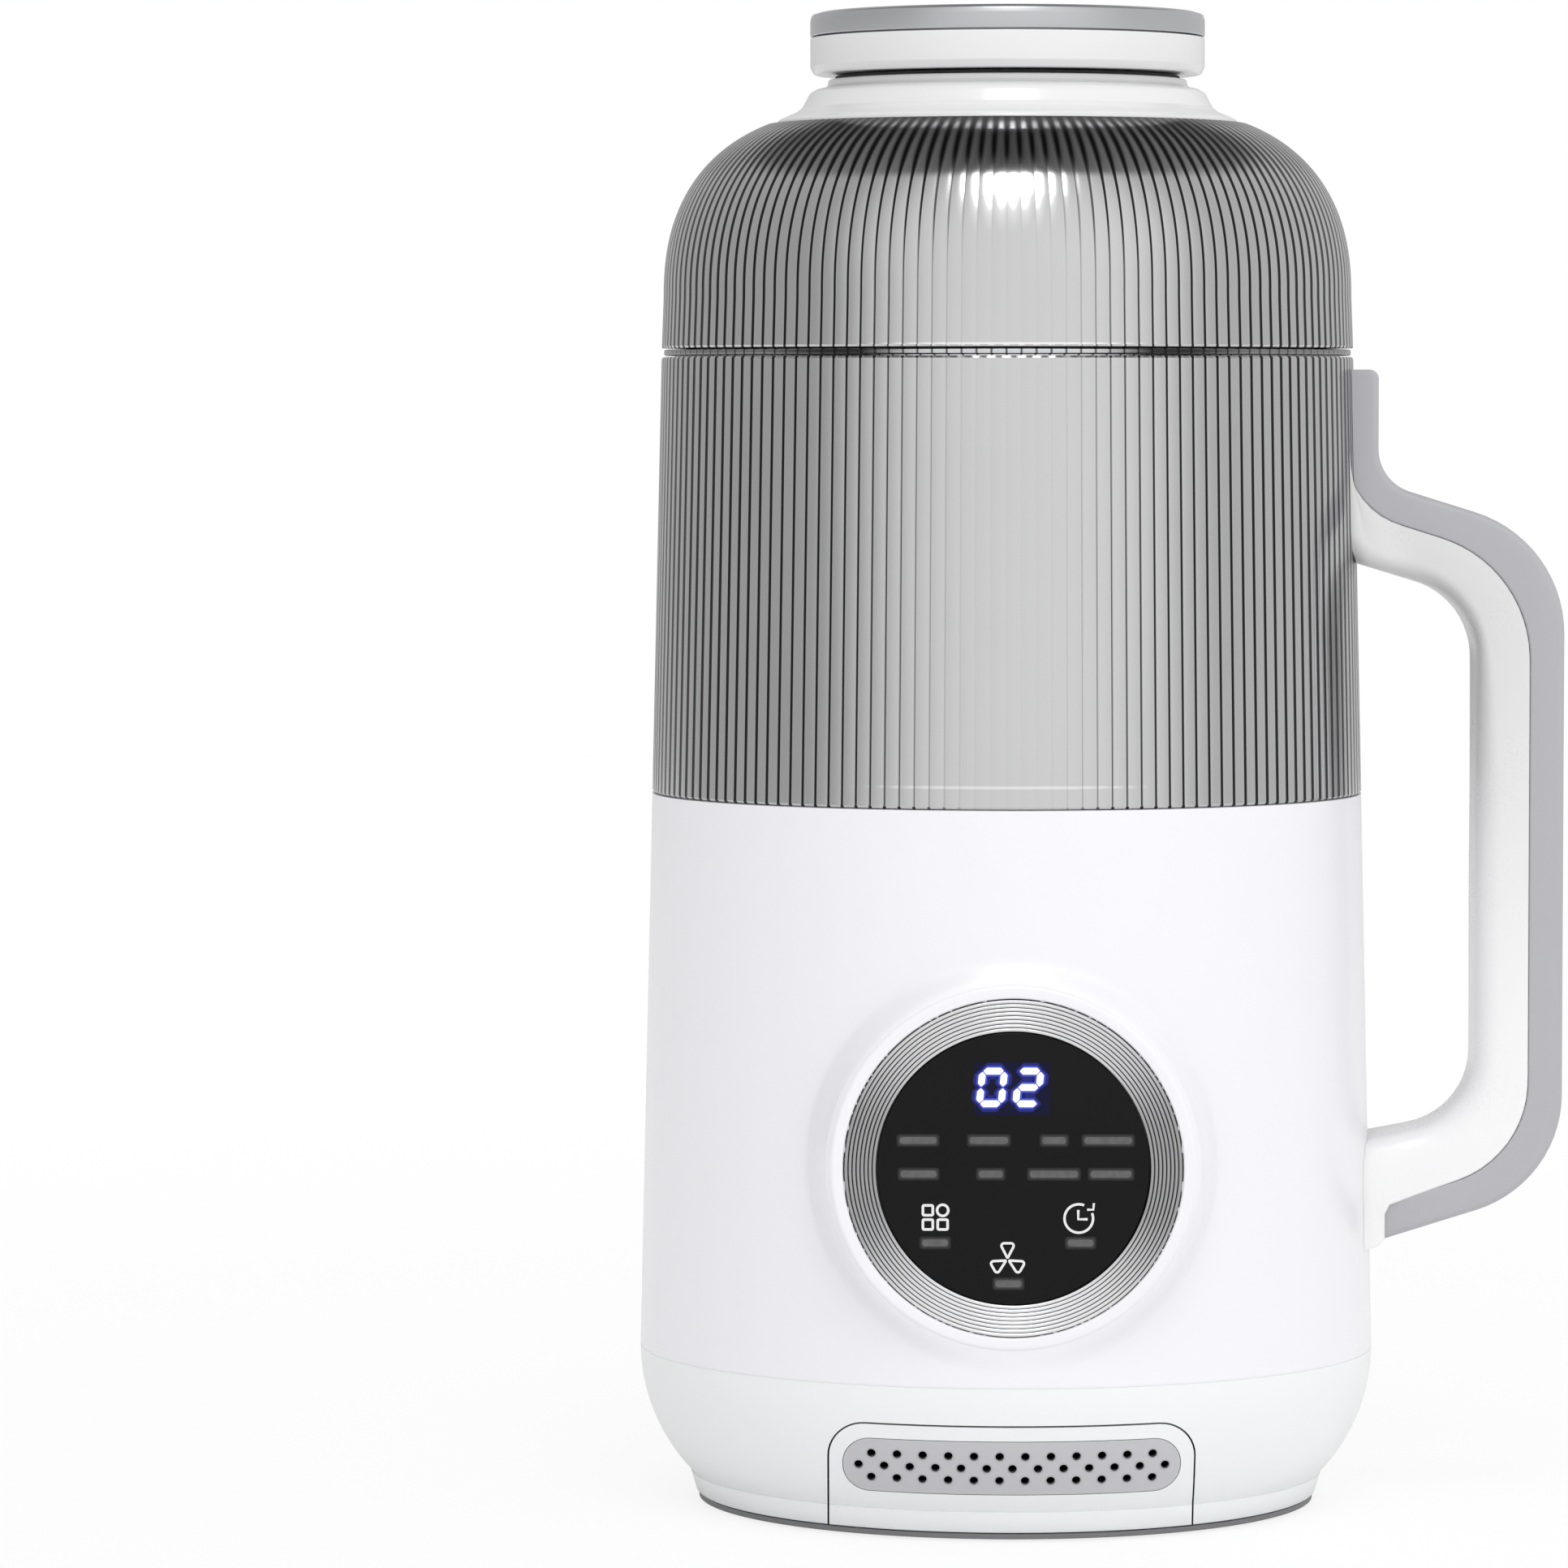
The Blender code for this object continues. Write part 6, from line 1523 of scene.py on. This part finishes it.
@dataclass
class Inlet(Assembly):
    """The power inlet at the back and the frame round it. Sizes in millimetres.

    Its socket and its pad, which is the frame, are rows of (growth of the outline, depth along Y) pairs.
    """

    half_width: float = 13.5
    half_height: float = 9.5
    corner: float = 3.5
    face: float = 75.69
    socket: tuple[Flat, ...] = (
        (0, -18.5), (0, -1.5), (2.6, -1.5), (2.6, -0.5), (2.1, 0), (-1.3, 0), (-1.6, -0.3), (-1.6, -16.9),
    )
    pad: tuple[Flat, ...] = ((4.2, 67.5), (4.2, 73.4), (3.7, 73.9), (0.3, 73.9), (0.3, 67.5))

    def ring(self, grow: float, depth: float) -> list[Spot]:
        """Draws the inlet's outline.

        Args:
            grow: the margin by which it grows.
            depth: its depth along Y.

        Returns:
            Its points.
        """
        half = self.half_height + grow
        low, high = INLET_LEVEL - half, INLET_LEVEL + half
        return laid(boxed(self.half_width + grow, low, high, self.corner + grow, steps=6), depth)

    def build(self) -> None:
        """Makes and dresses the pieces."""
        socket = Shape().skin([self.ring(grow, self.face + depth) for grow, depth in self.socket], caps=True)
        self.add(socket.build("inlet_socket", BLACK), "dark_plastic", "power_inlet")
        pad = Shape().skin([self.ring(grow, depth) for grow, depth in self.pad])
        self.add(pad.build("inlet_frame", WHITE), "white_plastic")
        self.dress(BRASS, "inlet_pin_1", "inlet_pin_2", "inlet_pin_3")


@dataclass
class Sleeve(Assembly):
    """The fluted smoked sleeve and the ring on its rim. Sizes in millimetres."""

    bottom: float = 143.2
    edge: float = 0.4
    edge_inset: float = 0.3
    ledge: float = 64.3
    ledge_top: float = 220.0
    ledge_thick: float = 2.4
    rim: Outline = Outline(
        ((64.6, 221.8), (66.8, 221.8), (66.8, 230.8), (69.0, 230.8), (69.0, 232.0), (64.6, 232.0)),
        (0.3, 0.3, 0, 0.3, 0.3, 0.3), faces=200,
    )

    def build(self) -> None:
        """Makes and dresses the pieces."""
        outer = []
        for height in (self.bottom, self.bottom + self.edge, SLEEVE_TOP - self.edge, SLEEVE_TOP):
            radius = body_radius(height)
            inset = self.edge_inset if height in (self.bottom, SLEEVE_TOP) else 0.0
            outer.append(((radius - inset, height), (radius - max(inset, REED_DEPTH), height)))
        top = body_radius(SLEEVE_TOP) - WALL
        under = self.ledge_top - self.ledge_thick
        inner = [
            (top, SLEEVE_TOP), (top + 0.25, self.ledge_top), (self.ledge, self.ledge_top),
            (self.ledge, under), (top + 0.3, under), (body_radius(self.bottom) - WALL, self.bottom),
        ]
        sleeve = reeded(outer, inner).build("fluted_sleeve", SLEEVE, REED_SHARP)
        self.add(sleeve, "smoked_plastic", "clear_sleeve")
        self.turn(self.rim, "rim_band", RIM_METAL, "steel", "rim_ring")


@dataclass
class Pot(Assembly):
    """The steel pot, the blade seat and what carries them. Sizes in millimetres."""

    flange: float = 66.8
    top: float = 221.5
    bottom: float = 105.6
    thick: float = 1.2
    bend: float = 12.0
    bend_centre: Flat = (45.0, 117.6)
    bend_steps: int = 10
    mouth: float = 12.3
    hub: Outline = Outline(
        (
            (12.0, 90.1), (12.0, 107.1), (15.0, 107.1), (13.9, 109.3), (7.3, 109.3),
            (7.3, 100.4), (5.5, 100.4), (5.5, 95.4), (7.3, 95.4), (7.3, 90.1),
        ),
        (0, 0, 0.5, 0.6, 0.3, 0, 0, 0, 0, 0), faces=72,
    )
    seal: Outline = Outline(((3.3, 106.0), (7.0, 106.0), (7.0, 109.0), (3.3, 109.0)), 0.4, faces=48)

    def build(self) -> None:
        """Makes and dresses the pieces."""
        flange, top, under = self.flange, self.top, self.top - self.thick
        outside = arc(self.bend_centre, self.bend, -90, 0, self.bend_steps)
        inside = arc(self.bend_centre, self.bend - self.thick, 0, -90, self.bend_steps)
        points = (
            (self.mouth, self.bottom), *outside, (59.4, under), (flange - 0.3, under), (flange, under + 0.3),
            (flange, top - 0.3), (flange - 0.3, top), (59.2, top), (58.2, top - 1.0), *inside,
            (self.mouth, self.bottom + self.thick),
        )
        self.turn(Outline(points), "steel_pot", STEEL, "steel", "pot")
        self.turn(self.hub, "blade_hub", BRIGHT, "steel", "blade_seat")
        self.turn(self.seal, "lip_seal", SILICONE, "silicone", "shaft_seal")
        self.dress(STEEL, "seat_nut", "lower_bearing", "upper_bearing")
        self.dress(CAST, "heating_plate")
        self.dress(BLACK, "deck", "thermostat")


@dataclass
class Inside(Assembly):
    """The motor and the electrical parts, which the housing hides."""

    def build(self) -> None:
        """Dresses the pieces."""
        self.dress(STEEL, "motor_can")
        self.dress(MAGNET, "magnet_left", "magnet_right")
        self.dress(BLACK, "motor_end_cap", "relay")
        self.dress(BOARD, "power_board")
        self.dress(CAST, "capacitor")
        self.dress(BLADE_STEEL, "handle_screw_upper", "handle_screw_lower")


@dataclass
class Rotor(Assembly):
    """The drive shaft and what turns with it. Sizes in millimetres."""

    part: Part = Part.ROTOR
    nut: Outline = Outline(
        ((3.3, 118.7), (5.6, 118.7), (5.6, 122.7), (4.2, 125.0), (0, 125.6), (0, 123.0), (3.3, 123.0)),
        (0, 0.4, 0.8, 1.5, 0, 0, 0), faces=48,
    )

    def build(self) -> None:
        """Makes and dresses the pieces."""
        self.turn(self.nut, "dome_nut", BRIGHT, "steel", "blade_nut")
        self.dress(BLADE_STEEL, "lower_blade", "upper_blade")
        self.dress(BRIGHT, "drive_shaft")
        self.dress(IRON, "motor_rotor")
        self.dress(BLACK, "motor_fan")


@dataclass
class Lid(Assembly):
    """The fluted dome, its liner and gasket, and the collar. Sizes in millimetres."""

    part: Part = Part.LID
    rim: float = 232.3
    band: float = 0.4
    run: float = 41.5
    rise: float = 38.2
    level: float = 242.1
    power: float = 2.4
    collar: float = 48.1
    fade: Flat = (0.45, 12.0)
    opening: float = 46.6
    seat_depth: float = 1.5
    hole: float = 37.5
    outer_steps: int = 30
    inner_steps: int = 16
    liner_gap: Flat = (3.0, 5.0)
    liner_thick: float = 1.8
    liner_steps: int = 18
    gasket: Outline = Outline(((59.6, 221.8), (63.4, 221.8), (63.4, 224.8), (59.6, 224.8)), 0.9)
    collar_side: tuple[Flat, ...] = (
        (46.3, -0.25), (46.1, 0.75), (44.4, 1.5), (42.4, 2.35), (41.3, 3.2), (40.6, 4.4), (40.0, 5.6),
        (39.5, 6.3), (38.3, 6.95), (36.8, 7.25), (36.1, 7.7), (35.95, 8.9), (35.2, 8.9), (35.1, 8.1),
    )

    def shoulder(self, inset: Flat, end: float, steps: int) -> list[tuple[Flat, Flat]]:
        """Points over the rounded shoulder, each with the unit normal there.

        Args:
            inset: how far in from the dome's outer face its side and its top lie.
            end: the radius at which it stops.
            steps: the number of faces.

        Returns:
            (point, normal) pairs from the bottom up.
        """
        radius = body_radius(SLEEVE_TOP) - self.band - inset[0]
        run, rise = self.run - inset[0], self.rise - inset[1]
        last = math.acos((end - radius + run) / run)
        made = []
        for i in range(steps + 1):
            share = math.cos(last * i / steps)
            lift = (1 - share**self.power) ** (1 / self.power)
            normal = Vector((share ** (self.power - 1) / run, lift ** (self.power - 1) / rise)).normalized()
            made.append(((radius - run + run * share, self.level + rise * lift), tuple(normal)))
        return made

    def build(self) -> None:
        """Makes and dresses the pieces."""
        edge = body_radius(self.rim)
        crests = self.shoulder((0, 0), self.collar, self.outer_steps)
        outer = [
            ((edge - 0.3, self.rim), (edge - REED_DEPTH, self.rim)),
            ((edge, self.rim + 0.4), (edge - REED_DEPTH, self.rim + 0.4)),
        ]
        least, reach = self.fade
        for point, normal in crests:
            depth = REED_DEPTH * min(1.0, least + (1 - least) * (point[0] - self.collar) / reach)
            outer.append((point, (point[0] - normal[0] * depth, point[1] - normal[1] * depth)))
        top = crests[-1][0][1]
        seat = top - self.seat_depth
        inside = self.shoulder((WALL, WALL), self.collar + WALL, self.inner_steps)
        inner = [(self.opening, top), (self.opening, seat), (self.hole, seat), (self.hole, seat - WALL)]
        inner += [*(point for point, _ in reversed(inside)), (edge - WALL, self.rim)]
        dome = reeded(outer, inner).build("fluted_dome", SLEEVE, REED_SHARP)
        self.add(dome, "smoked_plastic", "lid_dome")
        self.turn(self.liner(), "lid_lining", LINER, "grey_plastic", "lid_liner")
        self.turn(self.gasket, "lid_seal", SILICONE, "silicone", "lid_gasket")
        self.turn(self.crown(top), "filling_collar", COLLAR_WHITE, "white_plastic", "lid_collar")

    def liner(self) -> Outline:
        """Draws the outline of the plain liner inside the dome.

        Returns:
            The outline.
        """
        side, over = (WALL + gap for gap in self.liner_gap)
        thick, steps = self.liner_thick, self.liner_steps
        outside = [point for point, _ in self.shoulder((side, over), self.hole, steps)]
        inside = [point for point, _ in self.shoulder((side + thick, over + thick), self.hole, steps)]
        flange = body_radius(self.rim) - WALL - 0.3
        shell = body_radius(SLEEVE_TOP) - self.band - side
        points = (
            (60.0, 225.4), (60.3, 225.1), (61.5, 225.1), (61.8, 225.4), (61.8, 232.3), (flange, 232.3),
            (flange, 233.8), (flange - 0.3, 234.1), (shell, 234.1), *outside, *reversed(inside),
            (60.0, 232.3),
        )
        return Outline(points)

    def crown(self, top: float) -> Outline:
        """Draws the outline of the collar round the filling hole.

        Args:
            top: the height that the dome reaches there.

        Returns:
            The outline.
        """
        foot = top - 1.2
        side = softened([(radius, top + lift) for radius, lift in self.collar_side], 1.2, 3, False)
        points = (
            (37.2, foot), (46.3, foot), *side, (31.9, top + 8.1), (31.5, top + 7.7), (31.5, foot - 7.2),
            (31.9, foot - 7.6), (36.9, foot - 7.6), (37.2, foot - 7.3),
        )
        return Outline(points, faces=180, sharp=40)


@dataclass
class Cap(Assembly):
    """The cap, its plug and seals. Sizes in millimetres."""

    part: Part = Part.CAP
    skirt: Outline = Outline(
        ((0, 287.1), (38.9, 287.1), (39.6, 288.7), (39.6, 294.4), (37.4, 294.4), (37.4, 289.3), (0, 289.3)),
        (0, 0.8, 0.8, 0.25, 0.2, 0, 0), 6, 180,
    )
    disc: Outline = Outline(
        (
            (34.9, 291.4), (37.1, 291.4), (37.1, 294.7), (39.6, 294.7), (39.6, 297.9), (39.25, 299.0),
            (37.7, 299.45), (30.4, 299.74), (20, 299.78), (0, 299.78), (0, 297.6), (34.9, 297.6),
        ),
        (0, 0, 0, 0.25, 0.8, 0.6, 0.6, 2, 0, 0, 0, 0), 5, 180, sharp=40,
    )
    plug: Outline = Outline(
        (
            (0, 285.0), (27.4, 285.0), (27.4, 271.8), (30.2, 271.8), (30.2, 276.6),
            (29.2, 276.6), (29.2, 279.8), (30.2, 279.8), (30.2, 286.8), (0, 286.8),
        ),
        (0, 1.5, 0.4, 0.6, 0.2, 0.2, 0.2, 0.2, 0.4, 0), faces=128,
    )
    seal: Outline = Outline(
        ((29.5, 276.9), (31.2, 276.9), (31.2, 279.5), (29.5, 279.5)), (0.2, 0.8, 0.8, 0.2), faces=128
    )
    washer: Outline = Outline(((32.2, 285.6), (34.6, 285.6), (34.6, 286.8), (32.2, 286.8)), 0.3, faces=128)

    def build(self) -> None:
        """Makes and dresses the pieces."""
        self.turn(self.skirt, "cap_skirt", COLLAR_WHITE, "white_plastic", "cap_shell")
        self.turn(self.disc, "cap_top", CAP_GREY, "grey_plastic", "cap_disc")
        self.turn(self.plug, "cap_stopper", COLLAR_WHITE, "white_plastic", "cap_plug")
        self.turn(self.seal, "stopper_seal", SILICONE, "silicone", "cap_seal")
        # The washer's black is painted shade: it stands in for the dark gap under the cap, though its slot is
        # silicone
        self.turn(self.washer, "cap_washer", RUBBER, "silicone", "cap_gasket")


@dataclass
class Handle(Assembly):
    """The white handle shell and its grey outer cover. Sizes in millimetres from the body's axis."""

    reach: float = 111.4
    half: float = 12.0
    top: float = 228.0
    tab: float = 74.1
    tab_end: float = 205.6
    tab_round: float = 1.8
    slope: float = math.tan(math.radians(17.4))
    foot_level: float = 53.6
    foot_proud: float = 2.4
    cover: float = 6.9
    cover_gap: float = 0.03
    bends: Spot = (9.0, 37.0, 30.0)
    root: float = 66.0
    grip: float = 93.9
    finger_top: float = 181.9
    finger_low: float = 78.3
    finger_slopes: Flat = (math.tan(math.radians(17)), math.tan(math.radians(12)))
    finger_bends: Flat = (16.0, 15.0)
    flare: Spot = (69.5, 16.0, 5.0)
    cover_rounds: Flat = (1.6, 0.5)
    shell_rounds: Flat = (0.5, 6.0)
    steps: int = 14
    round_steps: int = 7
    sections: int = 84

    def foot(self) -> float:
        """The body's radius at the handle's foot."""
        return body_radius(self.foot_level)

    def corners(self) -> list[Flat]:
        """Places the corners of the handle's outer curve.

        Returns:
            The corners, from the tab down.
        """
        foot = self.foot() + self.foot_proud
        upper = (self.reach, self.tab_end - (self.reach - self.tab) * self.slope)
        lower = (self.reach, self.foot_level + (self.reach - foot) * self.slope)
        return [(self.tab, self.top), (self.tab, self.tab_end), upper, lower, (foot, self.foot_level)]

    def beside(self, inset: float) -> list[Flat]:
        """Moves the outer curve in, with the same number of points for every inset.

        Args:
            inset: how far it moves in.

        Returns:
            The moved curve.
        """
        points = [Vector(corner) for corner in self.corners()]
        ways = [(after - before).normalized() for before, after in zip(points, points[1:])]
        sides = [Vector((way.y, -way.x)) for way in ways]
        moved = [points[0] + sides[0] * inset]
        for point, first, second in zip(points[1:], sides, sides[1:]):
            moved.append(point + (first + second) * inset / (1 + first.dot(second)))
        moved.append(points[-1] + sides[-1] * inset)
        tab, upper, lower = self.bends
        rounds = (0, tab + inset, upper - inset, lower - inset, 0)
        return softened([tuple(point) for point in moved], rounds, self.steps, False)

    def inner(self) -> list[Flat]:
        """Draws the curve round the fingers.

        Returns:
            The curve, from the upper root down.
        """
        depth = self.grip - self.root
        upper, lower = self.finger_slopes
        corners = [
            (self.root, self.finger_top + depth * upper), (self.grip, self.finger_top),
            (self.grip, self.finger_low), (self.root, self.finger_low - depth * lower),
        ]
        return softened(corners, (0, *self.finger_bends, 0), self.steps, False)

    def resampled(self, path: Sequence[Flat]) -> list[Vector]:
        """Places points at even steps along a path, one for each section of the shell.

        Args:
            path: the path's own points.

        Returns:
            The placed points.
        """
        points = [Vector(point) for point in path]
        lengths = [0.0]
        for before, after in zip(points, points[1:]):
            lengths.append(lengths[-1] + (after - before).length)
        made = []
        for number in range(self.sections + 1):
            want = number / self.sections * lengths[-1]
            reached = (i for i in range(1, len(lengths)) if lengths[i] >= want - 1e-9)
            index = next(reached, len(lengths) - 1)
            span = lengths[index] - lengths[index - 1]
            share = (want - lengths[index - 1]) / span if span else 0
            made.append(points[index - 1].lerp(points[index], share))
        return made

    def section(self, outer: Vector, inner: Vector, half: float, rounds: Flat) -> list[Spot]:
        """A rounded rectangle across the handle.

        Args:
            outer: its middle on the outer curve.
            inner: its middle on the inner curve.
            half: half its width.
            rounds: the corner radii outside and inside.

        Returns:
            The section's points.
        """
        way = outer - inner
        length = way.length
        way.normalize()
        outside, inside = (min(size, LONGEST * length) for size in rounds)
        outline = [(length, -half), (length, half), (0, half), (0, -half)]
        made = []
        for along, across in softened(outline, (outside, outside, inside, inside), self.round_steps):
            place = inner + way * along
            made.append(self.outside(place.x, across, place.y))
        return made

    @staticmethod
    def outside(x: float, y: float, z: float) -> Spot:
        """Places a point, and moves one that is inside the body out to its surface.

        Args:
            x: its distance from the body's axis along X.
            y: its distance from it along Y.
            z: its height.

        Returns:
            The point in metres, in the frame's coordinates.
        """
        surface = body_radius(z) + CLEAR
        if x * x + y * y < surface * surface:
            x = math.sqrt(max(surface * surface - y * y, 0.0))
        return (AXIS_X + x * MM, y * MM, z * MM)

    def width(self, x: float) -> float:
        """Works out half the shell's width, which spreads softly at the body.

        Args:
            x: the distance from the body's axis.

        Returns:
            Half the width.
        """
        start, reach, spread = self.flare
        share = min(max(1 - (x - start) / reach, 0.0), 1.0)
        return self.half + spread * share * share * share

    def build(self) -> None:
        """Makes and dresses the pieces."""
        outer, seam = self.beside(0), self.beside(self.cover)
        corner = arc((self.tab - self.tab_round, self.top - self.tab_round), self.tab_round, 90, 0, 6)
        pairs = [(point, (self.tab - self.cover, point[1])) for point in corner]
        pairs += zip(outer[1:], seam[1:])
        rings = [self.section(Vector(a), Vector(b), self.half, self.cover_rounds) for a, b in pairs]
        cover = Shape().skin(rings, caps=True)
        self.add(cover.build("handle_spine", GREY), "grey_plastic", "handle_cover")

        foot, level = self.foot(), self.foot_level
        edge = self.beside(self.cover + self.cover_gap)[1:]
        path = [(64.0, 206.6), *edge[:-1], (foot + self.foot_proud, edge[-1][1])]
        path += [(foot + 2.3, level - 0.8), (foot - 4, level - 2.2)]
        rings = []
        for a, b in zip(self.resampled(path), self.resampled(self.inner())):
            rings.append(self.section(a, b, self.width((a.x + b.x) / 2), self.shell_rounds))
        shell = Shape().skin(rings, caps=True)
        self.add(shell.build("handle_body", HANDLE_WHITE, 40), "white_plastic", "handle_shell")


@dataclass
class Studio:
    """The floor, the light and the camera. Sizes in metres and angles in degrees."""

    eye: Spot = (AXIS_X - 0.030, -1.522, 0.2224)
    yaw: float = 0.56
    pitch: float = 2.93
    lens: float = 173.3
    sensor: float = 36.0
    clip: Flat = (0.05, 50.0)
    floor: float = 6.0
    lift: float = 0.38
    lamp_place: Spot = (AXIS_X + 0.02, -0.62, 1.30)
    lamp_size: Flat = (0.42, 0.34)
    lamp_power: float = 2.2
    lamp_aim: Spot = (AXIS_X, 0.0, 0.15)

    def build(self) -> None:
        """Sets the stage."""
        self.lay_floor()
        self.light_world()
        self.hang_lamp()
        self.set_camera()
        bpy.context.scene.view_settings.view_transform = "Standard"

    def lay_floor(self) -> None:
        """Makes the pale floor."""
        half = self.floor / 2
        corners = [(-half, -half, 0.0), (half, -half, 0.0), (half, half, 0.0), (-half, half, 0.0)]
        Shape(corners, [(0, 1, 2, 3)]).build("floor", FLOOR)

    def light_world(self) -> None:
        """Fills the world with soft light and, for polished surfaces, a softbox and a dark ceiling."""
        world = bpy.data.worlds.new("studio")
        bpy.context.scene.world = world
        world.use_nodes = True
        sheet = Sheet(world.node_tree)
        x, y, up = sheet.split(sheet.node("ShaderNodeTexCoord", out="Generated"))
        # A wide front light, a softbox above it and a dark ceiling behind that
        bright = (up * 0.3 - y * 0.95 + x * 0.05).eased(0.3, 1.0) * 0.5 + 0.6 + x * 0.1
        spot = up * 0.85 - y * 0.53 - x * x * 1.3
        glow = spot.eased(0.84, 1.0) * 0.4 + spot.eased(0.95, 1.0) * 3
        dark = (y * 0.35 + up * 0.937).eased(0.72, 0.80)
        mirrored = (bright + glow) * (1 - dark) + dark * (abs(x) * 0.35 + 0.02)
        spread = bright + x * 0.16 - up * 0.12 + self.lift
        path = sheet.node("ShaderNodeLightPath").socket.node
        camera = Wire(sheet, path.outputs["Is Camera Ray"])
        glossy = Wire(sheet, path.outputs["Is Glossy Ray"])
        level = camera + (1 - camera) * (glossy * mirrored + (1 - glossy) * spread)
        shader = sheet.node("ShaderNodeBackground", {"Color": (1.0, 1.0, 1.0), "Strength": level})
        sheet.node("ShaderNodeOutputWorld", {"Surface": shader})

    def hang_lamp(self) -> None:
        """Hangs the key lamp, a soft rectangle that faces the object from above its front."""
        lamp = bpy.data.lights.new("key_lamp", "AREA")
        lamp.shape, lamp.energy = "RECTANGLE", self.lamp_power
        lamp.size, lamp.size_y = self.lamp_size
        made = bpy.data.objects.new("key_lamp", lamp)
        bpy.context.scene.collection.objects.link(made)
        made.location = self.lamp_place
        aim = Vector(self.lamp_aim) - Vector(self.lamp_place)
        made.rotation_euler = aim.to_track_quat("-Z", "Y").to_euler()

    def set_camera(self) -> None:
        """Sets the camera at the photograph's viewing angle."""
        camera = bpy.data.cameras.new("camera")
        camera.sensor_width, camera.lens = self.sensor, self.lens
        camera.clip_start, camera.clip_end = self.clip
        made = bpy.data.objects.new("camera", camera)
        bpy.context.scene.collection.objects.link(made)
        made.location = self.eye
        made.rotation_euler = (math.radians(90 - self.pitch), 0.0, math.radians(self.yaw))
        bpy.context.scene.camera = made


def main() -> None:
    """Builds the stage and every sub-assembly in order."""
    Studio().build()
    for kind in (Base, Housing, ControlPanel, Inlet, Sleeve, Pot, Inside, Rotor, Lid, Cap, Handle):
        assembly = kind()
        assembly.build()
        LOG.info("%s is done, %d pieces of its own", kind.__name__, len(assembly.made))


if __name__ == "__main__":
    main()
